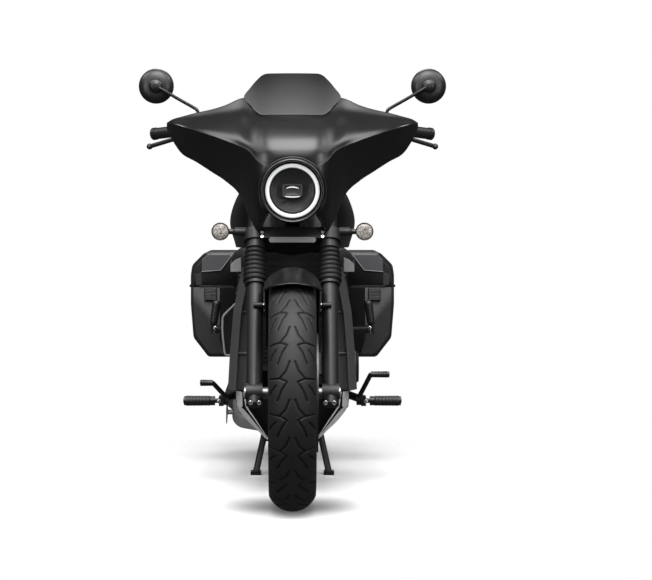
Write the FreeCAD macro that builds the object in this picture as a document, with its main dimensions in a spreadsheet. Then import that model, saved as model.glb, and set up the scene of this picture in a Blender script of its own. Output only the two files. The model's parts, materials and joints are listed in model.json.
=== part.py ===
import FreeCAD, Part

# Touring cruiser motorcycle, in millimetres. X points to the machine's left, Y to its rear, Z up.
# Every piece is modelled with Y zero at the front axle, then moved so that the origin is on the
# ground at mid length. The machine stands on its centre stand, with the rear wheel just clear.

import math
import os
import re

from FreeCAD import Placement, Rotation, Vector

# Driving dimensions: name, value
SIZES = {
    # Whole machine
    "overall_length": 2240,
    "wheelbase": 1520,
    "rake_degrees": 28,
    "trail": 110,
    "fork_spacing": 206,
    "rear_wheel_lift": 10,
    "running_clearance": 0.05,
    "bearing_gap": 1,
    "seat_gap": 0.3,
    "overrun": 5,
    # Wheels and tyres
    "front_tyre_radius": 318,
    "front_tyre_width": 126,
    "front_tyre_shoulder": 42,
    "front_rim_radius": 228.6,
    "rear_tyre_radius": 320,
    "rear_tyre_width": 178,
    "rear_tyre_shoulder": 52,
    "rear_rim_radius": 203.2,
    "rim_flange_height": 14,
    "rim_flange_width": 5,
    "rim_seat_width": 15,
    "rim_well_depth": 15,
    "rim_wall": 7,
    "hub_radius": 38,
    "front_hub_width": 100,
    "rear_hub_width": 130,
    "spoke_root_width": 30,
    "spoke_tip_width": 17,
    "spoke_root_thickness": 44,
    "spoke_tip_thickness": 26,
    "spoke_splay_degrees": 12,
    "front_axle_radius": 10,
    "rear_axle_radius": 12,
    "axle_nut_radius": 17,
    "axle_nut_height": 9,
    "front_axle_head": 4,
    "spacer_radius": 16,
    # Brakes and final drive
    "disc_thickness": 5,
    "front_disc_radius": 160,
    "front_disc_band": 36,
    "front_disc_x": 67,
    "rear_disc_radius": 125,
    "rear_disc_band": 32,
    "rear_disc_x": 98,
    "carrier_thickness": 4,
    "carrier_drum_radius": 46,
    "disc_hole_radius": 5,
    "pad_clearance": 2,
    "caliper_inner_x": 44,
    "caliper_outer_x": 90,
    "caliper_low": 76,
    "caliper_high": 150,
    "caliper_front": 52,
    "caliper_back": 118,
    "rear_caliper_inner_x": 80,
    "rear_caliper_outer_x": 117,
    "rear_caliper_length": 92,
    "rear_caliper_low": 82,
    "rear_caliper_high": 148,
    "chain_x": 116,
    "chain_width": 18,
    "chain_height": 15,
    "front_sprocket_y": 872,
    "front_sprocket_radius": 38,
    "rear_sprocket_radius": 98,
    "sprocket_thickness": 7,
    "chain_gap": 0.5,
    # Fork and steering
    "slider_radius": 22.5,
    "slider_foot": 36,
    "gaiter_length": 95.4,
    "slider_collar_radius": 29,
    "slider_collar_height": 38,
    "axle_lug_radius": 27,
    "tube_radius": 21.5,
    "tube_top": 776,
    "tube_cap_radius": 17,
    "tube_cap_height": 6,
    "clamp_above_fender": 116,
    "lower_clamp_thickness": 34,
    "upper_clamp_height": 738,
    "upper_clamp_thickness": 26,
    "clamp_wall": 11,
    "stem_radius": 15,
    "stem_boss_radius": 30,
    "stem_nut_radius": 20,
    "stem_nut_height": 9,
    "gaiter_radius": 33,
    "gaiter_valley_radius": 28,
    "gaiter_wall": 3,
    "fender_inner_radius": 342,
    "fender_half_width": 74,
    "fender_drop": 44,
    "fender_wall": 3,
    "fender_lead_degrees": 28,
    "fender_trail_degrees": 74,
    "fender_tab_low": 236,
    "fender_tab_width": 44,
    # Bars and controls
    "bar_radius": 12.7,
    "bar_height": 833,
    "riser_half": 46,
    "riser_radius": 17,
    "riser_cap": 20,
    "bar_centre_half": 66,
    "bar_mid_half": 165,
    "bar_mid_back": 12,
    "bar_mid_rise": 26,
    "bar_bend_half": 250,
    "bar_bend_back": 78,
    "bar_bend_rise": 24,
    "bar_end_half": 402,
    "bar_end_back": 184,
    "bar_end_rise": 9,
    "bar_bend_radius": 60,
    "grip_radius": 17,
    "grip_length": 108,
    "bar_end_radius": 18.5,
    "bar_end_length": 11,
    "perch_length": 28,
    "perch_radius": 19,
    "switch_length": 34,
    "switch_radius": 23,
    "lever_radius": 6.5,
    "lever_tip_radius": 9,
    "lever_tip_half": 418,
    "lever_reach": 72,
    "lever_drop": 40,
    "reservoir_radius": 21,
    "reservoir_height": 30,
    "hose_radius": 4,
    "hose_bend": 40,
    "mirror_half_spacing": 398,
    "mirror_height": 1174,
    "mirror_y": 512,
    "mirror_radius": 51,
    "mirror_depth": 32,
    "mirror_rim": 5,
    "mirror_recess": 3,
    "mirror_stem_radius": 5.5,
    "mirror_foot_rise": 34,
    # Headlight, fairing and screen
    "headlight_height": 865,
    "headlight_front_y": 112,
    "headlight_radius": 89,
    "headlight_depth": 104,
    "headlight_back_radius": 56,
    "headlight_wall": 3,
    "bezel_depth": 26,
    "lens_radius": 80,
    "lens_crown": 6,
    "lens_thickness": 3,
    "lens_setback": 9,
    "ring_outer_radius": 75,
    "ring_inner_radius": 64,
    "ring_depth": 8,
    "projector_width": 56,
    "projector_height": 36,
    "projector_depth": 26,
    "lamp_hole_gap": 3,
    "fairing_half_width": 361,
    "fairing_height": 380,
    "fairing_below_lamp": 109,
    "fairing_sweep": 330,
    "fairing_nose_y": 118,
    "fairing_wall": 3.5,
    "fairing_lobe_half": 60,
    "fairing_lobe_height": 66,
    "screen_half_width": 140,
    "screen_height": 122,
    "screen_base_y": 226,
    "screen_lean": 118,
    "screen_bow": 44,
    "screen_wall": 4,
    "post_radius": 6,
    "gauge_radius": 50,
    "gauge_depth": 34,
    "gauge_y": 352,
    "indicator_radius": 25,
    "indicator_depth": 34,
    "indicator_half": 201,
    "indicator_rise": 14.6,
    "indicator_stalk_radius": 9,
    # Frame
    "head_tube_radius": 28,
    "head_tube_gap": 6,
    "frame_tube_radius": 17,
    "downtube_half": 118,
    "downtube_y": 455,
    "downtube_foot": 300,
    "engine_lug": 50,
    "pivot_y": 945,
    "pivot_height": 360,
    "pivot_radius": 15,
    "plate_inner": 86,
    "plate_thickness": 14,
    "plate_width": 80,
    "plate_bottom": 196,
    "plate_top": 505,
    "backbone_half": 82,
    "backbone_height": 692,
    "rail_radius": 12,
    "rail_half": 112,
    "rail_height": 676,
    "rail_end_y": 1600,
    "swingarm_inner": 132,
    "swingarm_width": 26,
    "swingarm_height": 52,
    "swingarm_cross_y": 1045,
    "swingarm_cross_radius": 20,
    "shock_x": 150,
    "shock_top_y": 1285,
    "shock_foot_y": 1425,
    "shock_radius": 23,
    "shock_body_radius": 15,
    "shock_coil_radius": 4.5,
    "shock_eye_radius": 11,
    "shock_pin_radius": 6,
    # Engine
    "case_half": 100,
    "case_front_y": 520,
    "case_rear_y": 905,
    "case_bottom": 200,
    "case_top": 445,
    "cylinder_y": 640,
    "cylinder_half": 106,
    "cylinder_depth": 158,
    "cylinder_height": 112,
    "cylinder_lean_degrees": 18,
    "fin_thickness": 5,
    "fin_pitch": 15,
    "fin_reach": 8,
    "head_height": 50,
    "clutch_y": 690,
    "clutch_height": 440,
    "clutch_radius": 112,
    "clutch_depth": 62,
    "clutch_cap_radius": 64,
    "clutch_cap_depth": 43,
    "alternator_y": 640,
    "alternator_height": 345,
    "alternator_radius": 92,
    "alternator_depth": 62,
    "alternator_cap_radius": 52,
    "alternator_cap_depth": 34,
    "cover_chamfer": 9,
    # Radiator, side shrouds and belly pan
    "radiator_half": 118,
    "radiator_bottom": 352,
    "radiator_top": 690,
    "radiator_y": 392,
    "radiator_thickness": 32,
    "radiator_frame": 14,
    "radiator_fin_pitch": 13,
    "shroud_wall": 4,
    "shroud_front_y": 376,
    "shroud_depth": 186,
    "shroud_flare": 20,
    "shroud_top": 645,
    "shroud_bottom": 296,
    "belly_depth": 310,
    "belly_bottom": 132,
    "belly_half": 166,
    "horn_radius": 26,
    "horn_depth": 26,
    "horn_x": 146,
    "horn_height": 356,
    "horn_y": 479,
    "belly_step_y": 542,
    "belly_step_height": 244,
    "boss_radius": 5,
    # Exhaust
    "header_radius": 20,
    "header_half": 52,
    "header_y": 470,
    "header_bottom": 160,
    "chamber_half": 84,
    "chamber_front_y": 696,
    "chamber_length": 150,
    "chamber_height": 58,
    "outlet_radius": 25,
    "heat_shield_x": 203,
    "heat_shield_low": 158,
    "heat_shield_high": 226,
    "port_radius": 23,
    "port_reach": 14,
    "port_height": 126,
    "muffler_x": 160,
    "muffler_radius": 54,
    "muffler_height": 226,
    "muffler_front_y": 1010,
    "muffler_length": 700,
    "muffler_cone": 90,
    "muffler_tip_radius": 28,
    "muffler_tip_length": 40,
    # Tank and seats
    "tank_front_y": 424,
    "tank_length": 500,
    "tank_base": 702,
    "tank_height": 232,
    "tank_half_width": 182,
    "tank_tunnel_half": 108,
    "tank_tunnel_height": 22,
    "filler_radius": 34,
    "filler_height": 8,
    "seat_front_y": 905,
    "seat_length": 400,
    "seat_base": 620,
    "seat_skirt_end": 1168,
    "seat_half_width": 190,
    "seat_height": 116,
    "pillion_length": 300,
    "pillion_half_width": 122,
    "pillion_height": 84,
    "airbox_half": 70,
    "airbox_front_y": 925,
    "airbox_length": 215,
    "airbox_bottom": 510,
    "side_cover_x": 116,
    "side_cover_depth": 22,
    "side_cover_y": 935,
    "side_cover_length": 150,
    "side_cover_bottom": 515,
    "side_cover_height": 98,
    # Rear end
    "rear_fender_radius": 352,
    "rear_fender_half": 97,
    "rear_fender_drop": 52,
    "rear_fender_lead_degrees": 52,
    "rear_fender_trail_degrees": 62,
    "tail_light_y": 1826,
    "tail_light_z": 560,
    "tail_light_width": 130,
    "tail_light_height": 42,
    "tail_light_depth": 50,
    "rear_signal_half": 158,
    "plate_arm_width": 46,
    "plate_y": 1922,
    "plate_z": 396,
    "plate_width_across": 152,
    "plate_height": 128,
    "plate_board_thickness": 4,
    "plate_hole_spacing": 110,
    "plate_hole_radius": 3.5,
    # Panniers
    "pannier_inner": 181,
    "pannier_width": 145,
    "pannier_bottom": 341,
    "pannier_height": 335,
    "pannier_front_y": 1180,
    "pannier_length": 575,
    "pannier_taper": 40,
    "pannier_wall": 3,
    "lid_split": 566,
    "lid_seal_gap": 1,
    "hinge_radius": 4,
    "hinge_length": 60,
    "latch_x": 261,
    "latch_width": 40,
    "latch_height": 44,
    "latch_depth": 9,
    "pannier_bracket_radius": 8,
    "pannier_bracket_height": 540,
    "pannier_bracket_front_y": 1212,
    "pannier_bracket_rear_y": 1560,
    # Foot controls and stands
    "peg_height": 240,
    "peg_y": 720,
    "peg_inner": 232,
    "peg_outer": 325,
    "peg_radius": 14,
    "hanger_radius": 12,
    "hanger_block_x": 206,
    "hanger_block_width": 14,
    "pedal_pad_radius": 9,
    "pedal_arm_radius": 7,
    "pedal_boss_radius": 12,
    "pedal_y": 602,
    "pedal_height": 302,
    "pedal_inner": 235,
    "pedal_outer": 272,
    "shift_height": 327,
    "shift_inner": 231,
    "shift_outer": 286,
    "pillion_peg_x": 243,
    "pillion_peg_y": 1090,
    "pillion_peg_height": 436,
    "pillion_peg_length": 82,
    "pillion_peg_radius": 14,
    "stand_pivot_y": 950,
    "stand_pivot_height": 212,
    "stand_pin_radius": 8,
    "stand_boss_radius": 15,
    "stand_top_half": 66,
    "stand_foot_half": 112,
    "stand_foot_y": 905,
    "stand_leg_radius": 10,
    "stand_foot_length": 60,
    "stand_foot_width": 32,
    "stand_foot_thickness": 10,
    "stand_cross_radius": 8,
    "side_stand_x": 122,
    "side_stand_y": 945,
    "side_stand_swing_degrees": 21.8,
    "side_stand_height": 218,
    "side_stand_length": 190,
    "side_stand_radius": 9,
}

DOC = FreeCAD.newDocument("TouringCruiser")
SHEET = DOC.addObject("Spreadsheet::Sheet", "Sizes")
for row, (alias, value) in enumerate(SIZES.items(), start=1):
    SHEET.set(f"A{row}", alias.replace("_", " "))
    SHEET.set(f"B{row}", str(value))
    SHEET.setAlias(f"B{row}", alias)
DOC.recompute()


class SheetValues:
    """Reads a driving dimension from the spreadsheet by its alias."""

    def __getattr__(self, alias):
        return float(SHEET.get(alias))


S = SheetValues()
# The lower clamp's distance from the axle: it clears the front fender by a named height
CLAMP_TEXT = "(fender_inner_radius + clamp_above_fender)"
LOWER_CLAMP = S.fender_inner_radius + S.clamp_above_fender
X, Y, Z = Vector(1, 0, 0), Vector(0, 1, 0), Vector(0, 0, 1)
ORIGIN = Vector(0, 0, 0)
FULL_TURN = 360
QUARTER_TURN = 90
NODES = {}


def cell(text):
    """Make an expression of size names follow the sheet's cells."""
    return re.sub(r"[a-z][a-z_0-9]*", lambda name: "Sizes." + name.group(), text)


def primitive(kind, name, start, along, **sizes):
    """A primitive whose sizes follow the sheet, placed with its local Z pointing along."""
    thing = DOC.addObject(kind, name)
    for prop, text in sizes.items():
        thing.setExpression(prop, cell(text))
    thing.Placement = Placement(start, Rotation(Z, along))
    return thing


def rod(name, start, along, radius, length):
    return primitive("Part::Cylinder", name, start, along, Radius=radius, Height=length)


def block(name, corner, length, width, height):
    """A box from its lowest corner: length along X, width along Y, height along Z."""
    return primitive("Part::Box", name, corner, Z, Length=length, Width=width, Height=height)


def join(name, *things):
    thing = DOC.addObject("Part::MultiFuse", name)
    thing.Shapes = list(things)
    return thing


def cut(name, base, tool):
    thing = DOC.addObject("Part::Cut", name)
    thing.Base = base
    thing.Tool = tool
    return thing


def mirrored(name, thing):
    """The same piece on the machine's other side."""
    copy = DOC.addObject("Part::Mirroring", name)
    copy.Source = thing
    copy.Normal = X
    return copy


def both_sides(name, thing):
    return join(name, thing, mirrored(name + "_other", thing))


def form(name, shape):
    """A piece whose shape comes from curves, lofts or sweeps worked out below."""
    thing = DOC.addObject("Part::Feature", name)
    thing.Shape = shape
    return thing


def node(name, thing):
    NODES[name] = thing
    return thing


def polygon(points):
    return Part.makePolygon(list(points) + [points[0]])


def prism(points, direction):
    return Part.Face(polygon(points)).extrude(direction)


def curve(points):
    """One smooth edge through the points."""
    spline = Part.BSplineCurve()
    spline.interpolate(points)
    return spline.toShape()


def arc(start, middle, end):
    return Part.Arc(start, middle, end).toShape()


def line(start, end):
    return Part.LineSegment(start, end).toShape()


def loft(wires, ruled=False):
    return Part.makeLoft(wires, True, ruled)


def bent_path(points, radius):
    """Straight runs joined by tangent arcs of one radius."""
    edges = []
    start = points[0]
    for before, corner, after in zip(points, points[1:], points[2:]):
        back = (before - corner).normalize()
        ahead = (after - corner).normalize()
        half_angle = back.getAngle(ahead) / 2
        tangent = radius / math.tan(half_angle)
        middle_direction = (back + ahead).normalize()
        middle = corner + middle_direction * (radius / math.sin(half_angle) - radius)
        arc_start = corner + back * tangent
        arc_end = corner + ahead * tangent
        edges.append(line(start, arc_start))
        edges.append(arc(arc_start, middle, arc_end))
        start = arc_end
    edges.append(line(start, points[-1]))
    return Part.Wire(edges)


def tube(points, radius, bend):
    """A solid round bar along a bent path."""
    path = bent_path(points, bend)
    circle = Part.makeCircle(radius, points[0], points[1] - points[0])
    return path.makePipeShell([Part.Wire(circle)], True, True)


def turned(points, centre, axis):
    """A solid of revolution from a closed outline that stays on one side of its axis."""
    return Part.Face(polygon(points)).revolve(centre, axis, FULL_TURN)


def flip(point):
    return Vector(-point.x, point.y, point.z)


def opening_line(shape, x, z):
    """The Y of each place where a line at x and z, along Y, enters or leaves a shape."""
    reach = line(Vector(x, -S.overall_length, z), Vector(x, S.overall_length, z))
    return sorted(vertex.Point.y for vertex in reach.common(shape).Vertexes)


# Steering geometry: the fork's own frame has its origin at the front axle, its local Z up the
# fork and its local Y square to the fork towards the rear. The steering axis lies behind the legs.
RAKE = math.radians(S.rake_degrees)
FRONT_AXLE = Vector(0, 0, S.front_tyre_radius)
REAR_AXLE = Vector(0, S.wheelbase, S.rear_tyre_radius + S.rear_wheel_lift)
FORK_UP = Vector(0, math.sin(RAKE), math.cos(RAKE))
FORK_BACK = Vector(0, math.cos(RAKE), -math.sin(RAKE))
FORK_HALF = S.fork_spacing / 2
FORK_OFFSET = S.front_tyre_radius * math.sin(RAKE) - S.trail * math.cos(RAKE)
FORK_FRAME = Placement(FRONT_AXLE, Rotation(X, -S.rake_degrees))


def on_fork(up, back=0, x=0):
    return FRONT_AXLE + FORK_UP * up + FORK_BACK * back + X * x


# Tyres and rims: the tyre's outline is its bead, a straight side and a round crown


def crown(half_width, radius, shoulder_drop, steps):
    """Points on the round crown of a tyre, from one shoulder to the other."""
    ball_radius = (half_width**2 + shoulder_drop**2) / (2 * shoulder_drop)
    edge_angle = math.asin(half_width / ball_radius)
    for index in range(steps + 1):
        angle = edge_angle * (1 - 2 * index / steps)
        drop = ball_radius * (1 - math.cos(angle))
        yield ball_radius * math.sin(angle), radius - drop


BEAD_HALF_SHARE = 0.75
SIDE_BULGE_SHARE = 0.96
SIDE_HEIGHT_SHARE = 0.55
CROWN_FLATS = 10
SPOKE_PAIRS = 5


def wheel_outline(centre, points):
    return [centre + Vector(x, 0, r) for x, r in points]


def tyre_shape(centre, radius, width, shoulder_drop, rim_radius):
    half = width / 2
    bead = half * BEAD_HALF_SHARE - S.seat_gap
    bore = rim_radius + S.seat_gap
    flange_top = rim_radius + S.rim_flange_height + S.seat_gap
    shoulder = radius - shoulder_drop
    side = flange_top + (shoulder - flange_top) * SIDE_HEIGHT_SHARE
    right = [(bead, bore), (bead, flange_top), (half * SIDE_BULGE_SHARE, side)]
    left = [(-x, r) for x, r in reversed(right)]
    outline = right + list(crown(half, radius, shoulder_drop, CROWN_FLATS)) + left
    return turned(wheel_outline(centre, outline), centre, X)


def rim_barrel(centre, width, rim_radius):
    """The turned part of a rim: two flanges, two bead seats and the drop between them."""
    bead = width / 2 * BEAD_HALF_SHARE
    lip = bead + S.rim_flange_width
    seat = bead - S.rim_seat_width
    well = seat - S.rim_well_depth
    top = rim_radius + S.rim_flange_height
    floor = rim_radius - S.rim_well_depth
    outer = [(lip, top), (bead, top), (bead, rim_radius), (seat, rim_radius), (well, floor)]
    inner = [(lip, rim_radius), (seat, rim_radius - S.rim_wall), (well, floor - S.rim_wall)]
    half = outer + [(-x, r) for x, r in reversed(outer)]
    back = [(-x, r) for x, r in inner] + list(reversed(inner))
    return turned(wheel_outline(centre, half + back), centre, X)


def spoke(root, tip, angle, splay):
    """One tapered spoke: it leaves the hub at angle and leans by splay towards the rim."""

    def section(radius, turn, width, thickness):
        out = Vector(0, math.sin(turn), math.cos(turn))
        across = Vector(0, math.cos(turn), -math.sin(turn))
        corners = [(-1, -1), (1, -1), (1, 1), (-1, 1)]
        return polygon([out * radius + across * (a * width / 2) + X * (b * thickness / 2) for a, b in corners])

    inner = section(root, angle, S.spoke_root_width, S.spoke_root_thickness)
    outer = section(tip, angle + splay, S.spoke_tip_width, S.spoke_tip_thickness)
    return loft([inner, outer], ruled=True)


def rim_shape(centre, width, rim_radius, hub_width, axle_radius):
    barrel = rim_barrel(centre, width, rim_radius)
    hub_start = centre - X * (hub_width / 2)
    hub = Part.makeCylinder(S.hub_radius, hub_width, hub_start, X)
    root = S.hub_radius - S.rim_wall
    tip = rim_radius - S.rim_well_depth - S.rim_wall / 2
    spokes = []
    for index in range(SPOKE_PAIRS):
        angle = 2 * math.pi * index / SPOKE_PAIRS
        lean = math.radians(S.spoke_splay_degrees)
        spokes += [spoke(root, tip, angle, lean), spoke(root, tip, angle, -lean)]
    for arm in spokes:
        arm.translate(centre)
    bore = Part.makeCylinder(axle_radius + S.running_clearance, hub_width, hub_start, X)
    return barrel.multiFuse([hub] + spokes).cut(bore).removeSplitter()


FRONT_TYRE = (S.front_tyre_radius, S.front_tyre_width, S.front_tyre_shoulder, S.front_rim_radius)
REAR_TYRE = (S.rear_tyre_radius, S.rear_tyre_width, S.rear_tyre_shoulder, S.rear_rim_radius)
node("front_tyre", form("front_tyre_form", tyre_shape(FRONT_AXLE, *FRONT_TYRE)))
node("rear_tyre", form("rear_tyre_form", tyre_shape(REAR_AXLE, *REAR_TYRE)))
FRONT_RIM = (S.front_tyre_width, S.front_rim_radius, S.front_hub_width, S.front_axle_radius)
REAR_RIM = (S.rear_tyre_width, S.rear_rim_radius, S.rear_hub_width, S.rear_axle_radius)
node("front_rim", form("front_rim_form", rim_shape(FRONT_AXLE, *FRONT_RIM)))
node("rear_rim", form("rear_rim_form", rim_shape(REAR_AXLE, *REAR_RIM)))


# Brake discs: a band with holes, a thin carrier and a drum that stands on the hub's end

CARRIER_SLOTS = 6
BAND_HOLES = 18


def hole_circle(name, centre, count, circle_radius, hole_radius, start_x, depth):
    """A ring of round holes along X, as one cutting tool."""
    holes = []
    for index in range(count):
        angle = 2 * math.pi * index / count
        place = Vector(start_x, math.sin(angle) * circle_radius, math.cos(angle) * circle_radius)
        holes.append(Part.makeCylinder(hole_radius, depth, centre + place, X))
    return form(name, Part.makeCompound(holes))


def brake_disc(name, centre, side, disc_x, disc_radius, band, hub_width):
    """side is 1 for the machine's left and -1 for its right; the texts name sizes."""
    out = X * side
    face = S.disc_thickness / 2
    plane = getattr(S, disc_x)
    start = centre + out * (plane - face)
    outer = rod(name + "_disc", start, out, disc_radius, "disc_thickness")
    drum_start = centre + out * (getattr(S, hub_width) / 2 + S.seat_gap)
    drum_length = f"{disc_x} - {hub_width} / 2 - seat_gap"
    drum = rod(name + "_drum", drum_start, out, "carrier_drum_radius", drum_length)
    solid = join(name + "_solid", outer, drum)
    inside = centre + out * (getattr(S, hub_width) / 2 - S.overrun)
    bore = rod(name + "_bore", inside, out, "spacer_radius + pad_clearance", f"{disc_x} + overrun")
    radius = getattr(S, disc_radius)
    slot_circle = (radius - getattr(S, band) + S.carrier_drum_radius) / 2
    slot_radius = (radius - getattr(S, band) - S.carrier_drum_radius) / 2 - S.carrier_thickness
    low_x = side * plane - S.disc_thickness
    depth = 2 * S.disc_thickness
    slots = hole_circle(name + "_slots", centre, CARRIER_SLOTS, slot_circle, slot_radius, low_x, depth)
    hole_ring = radius - getattr(S, band) / 2
    holes = hole_circle(name + "_holes", centre, BAND_HOLES, hole_ring, S.disc_hole_radius, low_x, depth)
    open_disc = cut(name + "_open", cut(name + "_slotted", solid, slots), holes)
    return cut(name + "_form", open_disc, bore)


FRONT_DISC = ("front_disc_x", "front_disc_radius", "front_disc_band", "front_hub_width")
REAR_DISC = ("rear_disc_x", "rear_disc_radius", "rear_disc_band", "rear_hub_width")
node("front_disc", brake_disc("front_disc", FRONT_AXLE, 1, *FRONT_DISC))
node("rear_disc", brake_disc("rear_disc", REAR_AXLE, -1, *REAR_DISC))

# Front axle with its spacers, which stand still between the hub and the fork's feet
foot_face = FORK_HALF + S.slider_radius + S.seat_gap
front_axle_start = FRONT_AXLE - X * (foot_face + S.front_axle_head)
front_axle_length = "fork_spacing + 2 * slider_radius + 2 * seat_gap + 2 * front_axle_head"
front_axle_bar = rod("front_axle_bar", front_axle_start, X, "front_axle_radius", front_axle_length)
nut_left = rod("front_axle_nut", FRONT_AXLE + X * foot_face, X, "axle_nut_radius", "front_axle_head")
hub_face = S.front_hub_width / 2 + S.bearing_gap
spacer_length = "fork_spacing / 2 - slider_radius - seat_gap - front_hub_width / 2 - bearing_gap"
spacer_left = rod("front_spacer", FRONT_AXLE + X * hub_face, X, "spacer_radius", spacer_length)
axle_ends = both_sides("front_axle_ends", join("front_axle_end", nut_left, spacer_left))
node("front_axle", join("front_axle_form", front_axle_bar, axle_ends))


# Fork legs: slider, collar, chromed tube, cap and the foot that holds the axle

# The slider ends where its gaiter leaves room below the lower clamp
SLIDER_TEXT = CLAMP_TEXT + " - gaiter_length - slider_collar_height + tube_cap_height - 2 * seat_gap"
GAITER_TOP = LOWER_CLAMP - S.seat_gap
GAITER_BASE = GAITER_TOP - S.gaiter_length
SLIDER_TOP = GAITER_BASE - S.seat_gap - S.slider_collar_height + S.tube_cap_height


def fork_leg():
    foot = on_fork(-S.slider_foot, 0, FORK_HALF)
    slider = rod("fork_slider", foot, FORK_UP, "slider_radius", SLIDER_TEXT + " + slider_foot")
    collar_base = on_fork(SLIDER_TOP - S.tube_cap_height, 0, FORK_HALF)
    collar = rod("fork_collar", collar_base, FORK_UP, "slider_collar_radius", "slider_collar_height")
    tube_base = on_fork(SLIDER_TOP, 0, FORK_HALF)
    leg_tube = rod("fork_tube", tube_base, FORK_UP, "tube_radius", "tube_top - (" + SLIDER_TEXT + ")")
    cap = rod("fork_cap", on_fork(S.tube_top, 0, FORK_HALF), FORK_UP, "tube_cap_radius", "tube_cap_height")
    lug_start = FRONT_AXLE + X * (FORK_HALF - S.slider_radius)
    lug = rod("fork_foot", lug_start, X, "axle_lug_radius", "2 * slider_radius")
    return join("fork_leg", slider, collar, leg_tube, cap, lug)


left_tab_places = (S.caliper_low + S.slider_radius / 2, S.caliper_high - S.slider_radius / 2)
legs = both_sides("fork_legs_both", fork_leg())
caliper_lugs = []
for tab_place in left_tab_places:
    tab_start = on_fork(tab_place, 0, FORK_HALF - S.slider_radius * 0.6)
    tab_length = "caliper_front - seat_gap"
    caliper_lugs.append(rod("caliper_lug", tab_start, FORK_BACK, "slider_radius / 3", tab_length))
axle_bore = rod("front_axle_bore", front_axle_start, X, "front_axle_radius + seat_gap", front_axle_length)
node("fork_legs", cut("fork_legs_form", join("fork_legs_solid", legs, *caliper_lugs), axle_bore))


# Fork gaiters: a bellows between the collar and the lower clamp

GAITER_FOLDS = 7


def gaiter_shape():
    pitch = (GAITER_TOP - GAITER_BASE) / GAITER_FOLDS
    outer = [(S.gaiter_valley_radius, 0)]
    for fold in range(GAITER_FOLDS):
        outer.append((S.gaiter_radius, pitch * (fold + 0.35)))
        outer.append((S.gaiter_radius, pitch * (fold + 0.65)))
        outer.append((S.gaiter_valley_radius, pitch * (fold + 1)))
    inner = [(r - S.gaiter_wall, height) for r, height in reversed(outer)]
    outline = [Vector(r, 0, height) for r, height in outer + inner]
    bellows = turned(outline, ORIGIN, Z)
    bellows.Placement = Placement(on_fork(GAITER_BASE, 0, FORK_HALF), Rotation(X, -S.rake_degrees))
    return bellows


node("fork_gaiters", both_sides("fork_gaiters_form", form("gaiter", gaiter_shape())))


# Triple clamps: two yokes on one stem

def yoke(height, thickness):
    """A plate between the legs and the stem, with a round clamp about each of the three."""
    clamp_radius = S.tube_radius + S.clamp_wall
    legs_x = (-FORK_HALF, FORK_HALF)
    rounds = [Part.makeCylinder(clamp_radius, thickness, Vector(x, 0, height), Z) for x in legs_x]
    stem_place = Vector(0, FORK_OFFSET, height)
    rounds.append(Part.makeCylinder(S.stem_boss_radius, thickness, stem_place, Z))
    waist = S.stem_boss_radius
    outline = [
        Vector(-FORK_HALF, -clamp_radius * 0.8, height),
        Vector(FORK_HALF, -clamp_radius * 0.8, height),
        Vector(FORK_HALF, clamp_radius * 0.8, height),
        Vector(waist, FORK_OFFSET + waist * 0.7, height),
        Vector(-waist, FORK_OFFSET + waist * 0.7, height),
        Vector(-FORK_HALF, clamp_radius * 0.8, height),
    ]
    plate = prism(outline, Z * thickness)
    return plate.multiFuse(rounds)


def triple_clamps():
    lower = yoke(LOWER_CLAMP, S.lower_clamp_thickness)
    upper = yoke(S.upper_clamp_height, S.upper_clamp_thickness)
    top = S.upper_clamp_height + S.upper_clamp_thickness
    stem_base = Vector(0, FORK_OFFSET, LOWER_CLAMP)
    stem = Part.makeCylinder(S.stem_radius, top - LOWER_CLAMP, stem_base, Z)
    nut = Part.makeCylinder(S.stem_nut_radius, S.stem_nut_height, Vector(0, FORK_OFFSET, top), Z)
    whole = lower.multiFuse([upper, stem, nut])
    for x in (-FORK_HALF, FORK_HALF):
        base = Vector(x, 0, LOWER_CLAMP - S.overrun)
        length = top - LOWER_CLAMP + 2 * S.overrun
        whole = whole.cut(Part.makeCylinder(S.tube_radius + S.seat_gap, length, base, Z))
    whole = whole.removeSplitter()
    whole.Placement = FORK_FRAME
    return whole


YOKES = triple_clamps()


# Front fender: a crowned arch about the tyre, on a tab to each fork leg

def arch(axle, radius, half_width, drop, wall, lead_degrees, trail_degrees):
    """A crowned strip turned about the axle, from lead degrees ahead of the top to trail behind."""
    outer = radius + wall
    edge = radius - drop
    section = Part.Wire(
        [
            arc(Vector(-half_width, 0, edge), Vector(0, 0, radius), Vector(half_width, 0, edge)),
            line(Vector(half_width, 0, edge), Vector(half_width + wall, 0, edge)),
            arc(Vector(half_width + wall, 0, edge), Vector(0, 0, outer), Vector(-half_width - wall, 0, edge)),
            line(Vector(-half_width - wall, 0, edge), Vector(-half_width, 0, edge)),
        ]
    )
    strip = Part.Face(section)
    strip.rotate(ORIGIN, X, lead_degrees)
    shell = strip.revolve(ORIGIN, X, -(lead_degrees + trail_degrees))
    shell.translate(axle)
    return shell


fender_sizes = (S.fender_inner_radius, S.fender_half_width, S.fender_drop, S.fender_wall)
fender_arch = form(
    "front_fender_arch",
    arch(FRONT_AXLE, *fender_sizes, S.fender_lead_degrees, S.fender_trail_degrees),
)


def fender_tab():
    inner = S.fender_half_width
    outer = FORK_HALF - S.slider_radius - S.seat_gap
    top = S.fender_inner_radius - S.fender_drop + S.fender_wall
    half = S.fender_tab_width / 2
    outline = [
        Vector(inner, -half * 0.6, S.fender_tab_low),
        Vector(inner, half * 0.6, S.fender_tab_low),
        Vector(inner, half * 1.5, top),
        Vector(inner, -half * 1.5, top),
    ]
    tab = prism(outline, X * (outer - inner))
    tab.Placement = FORK_FRAME
    return tab


fender_tabs = both_sides("front_fender_tabs", form("front_fender_tab", fender_tab()))
node("front_fender", join("front_fender_form", fender_arch, fender_tabs))


# Front brake caliper, behind the left leg, with room for the disc inside it

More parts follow.
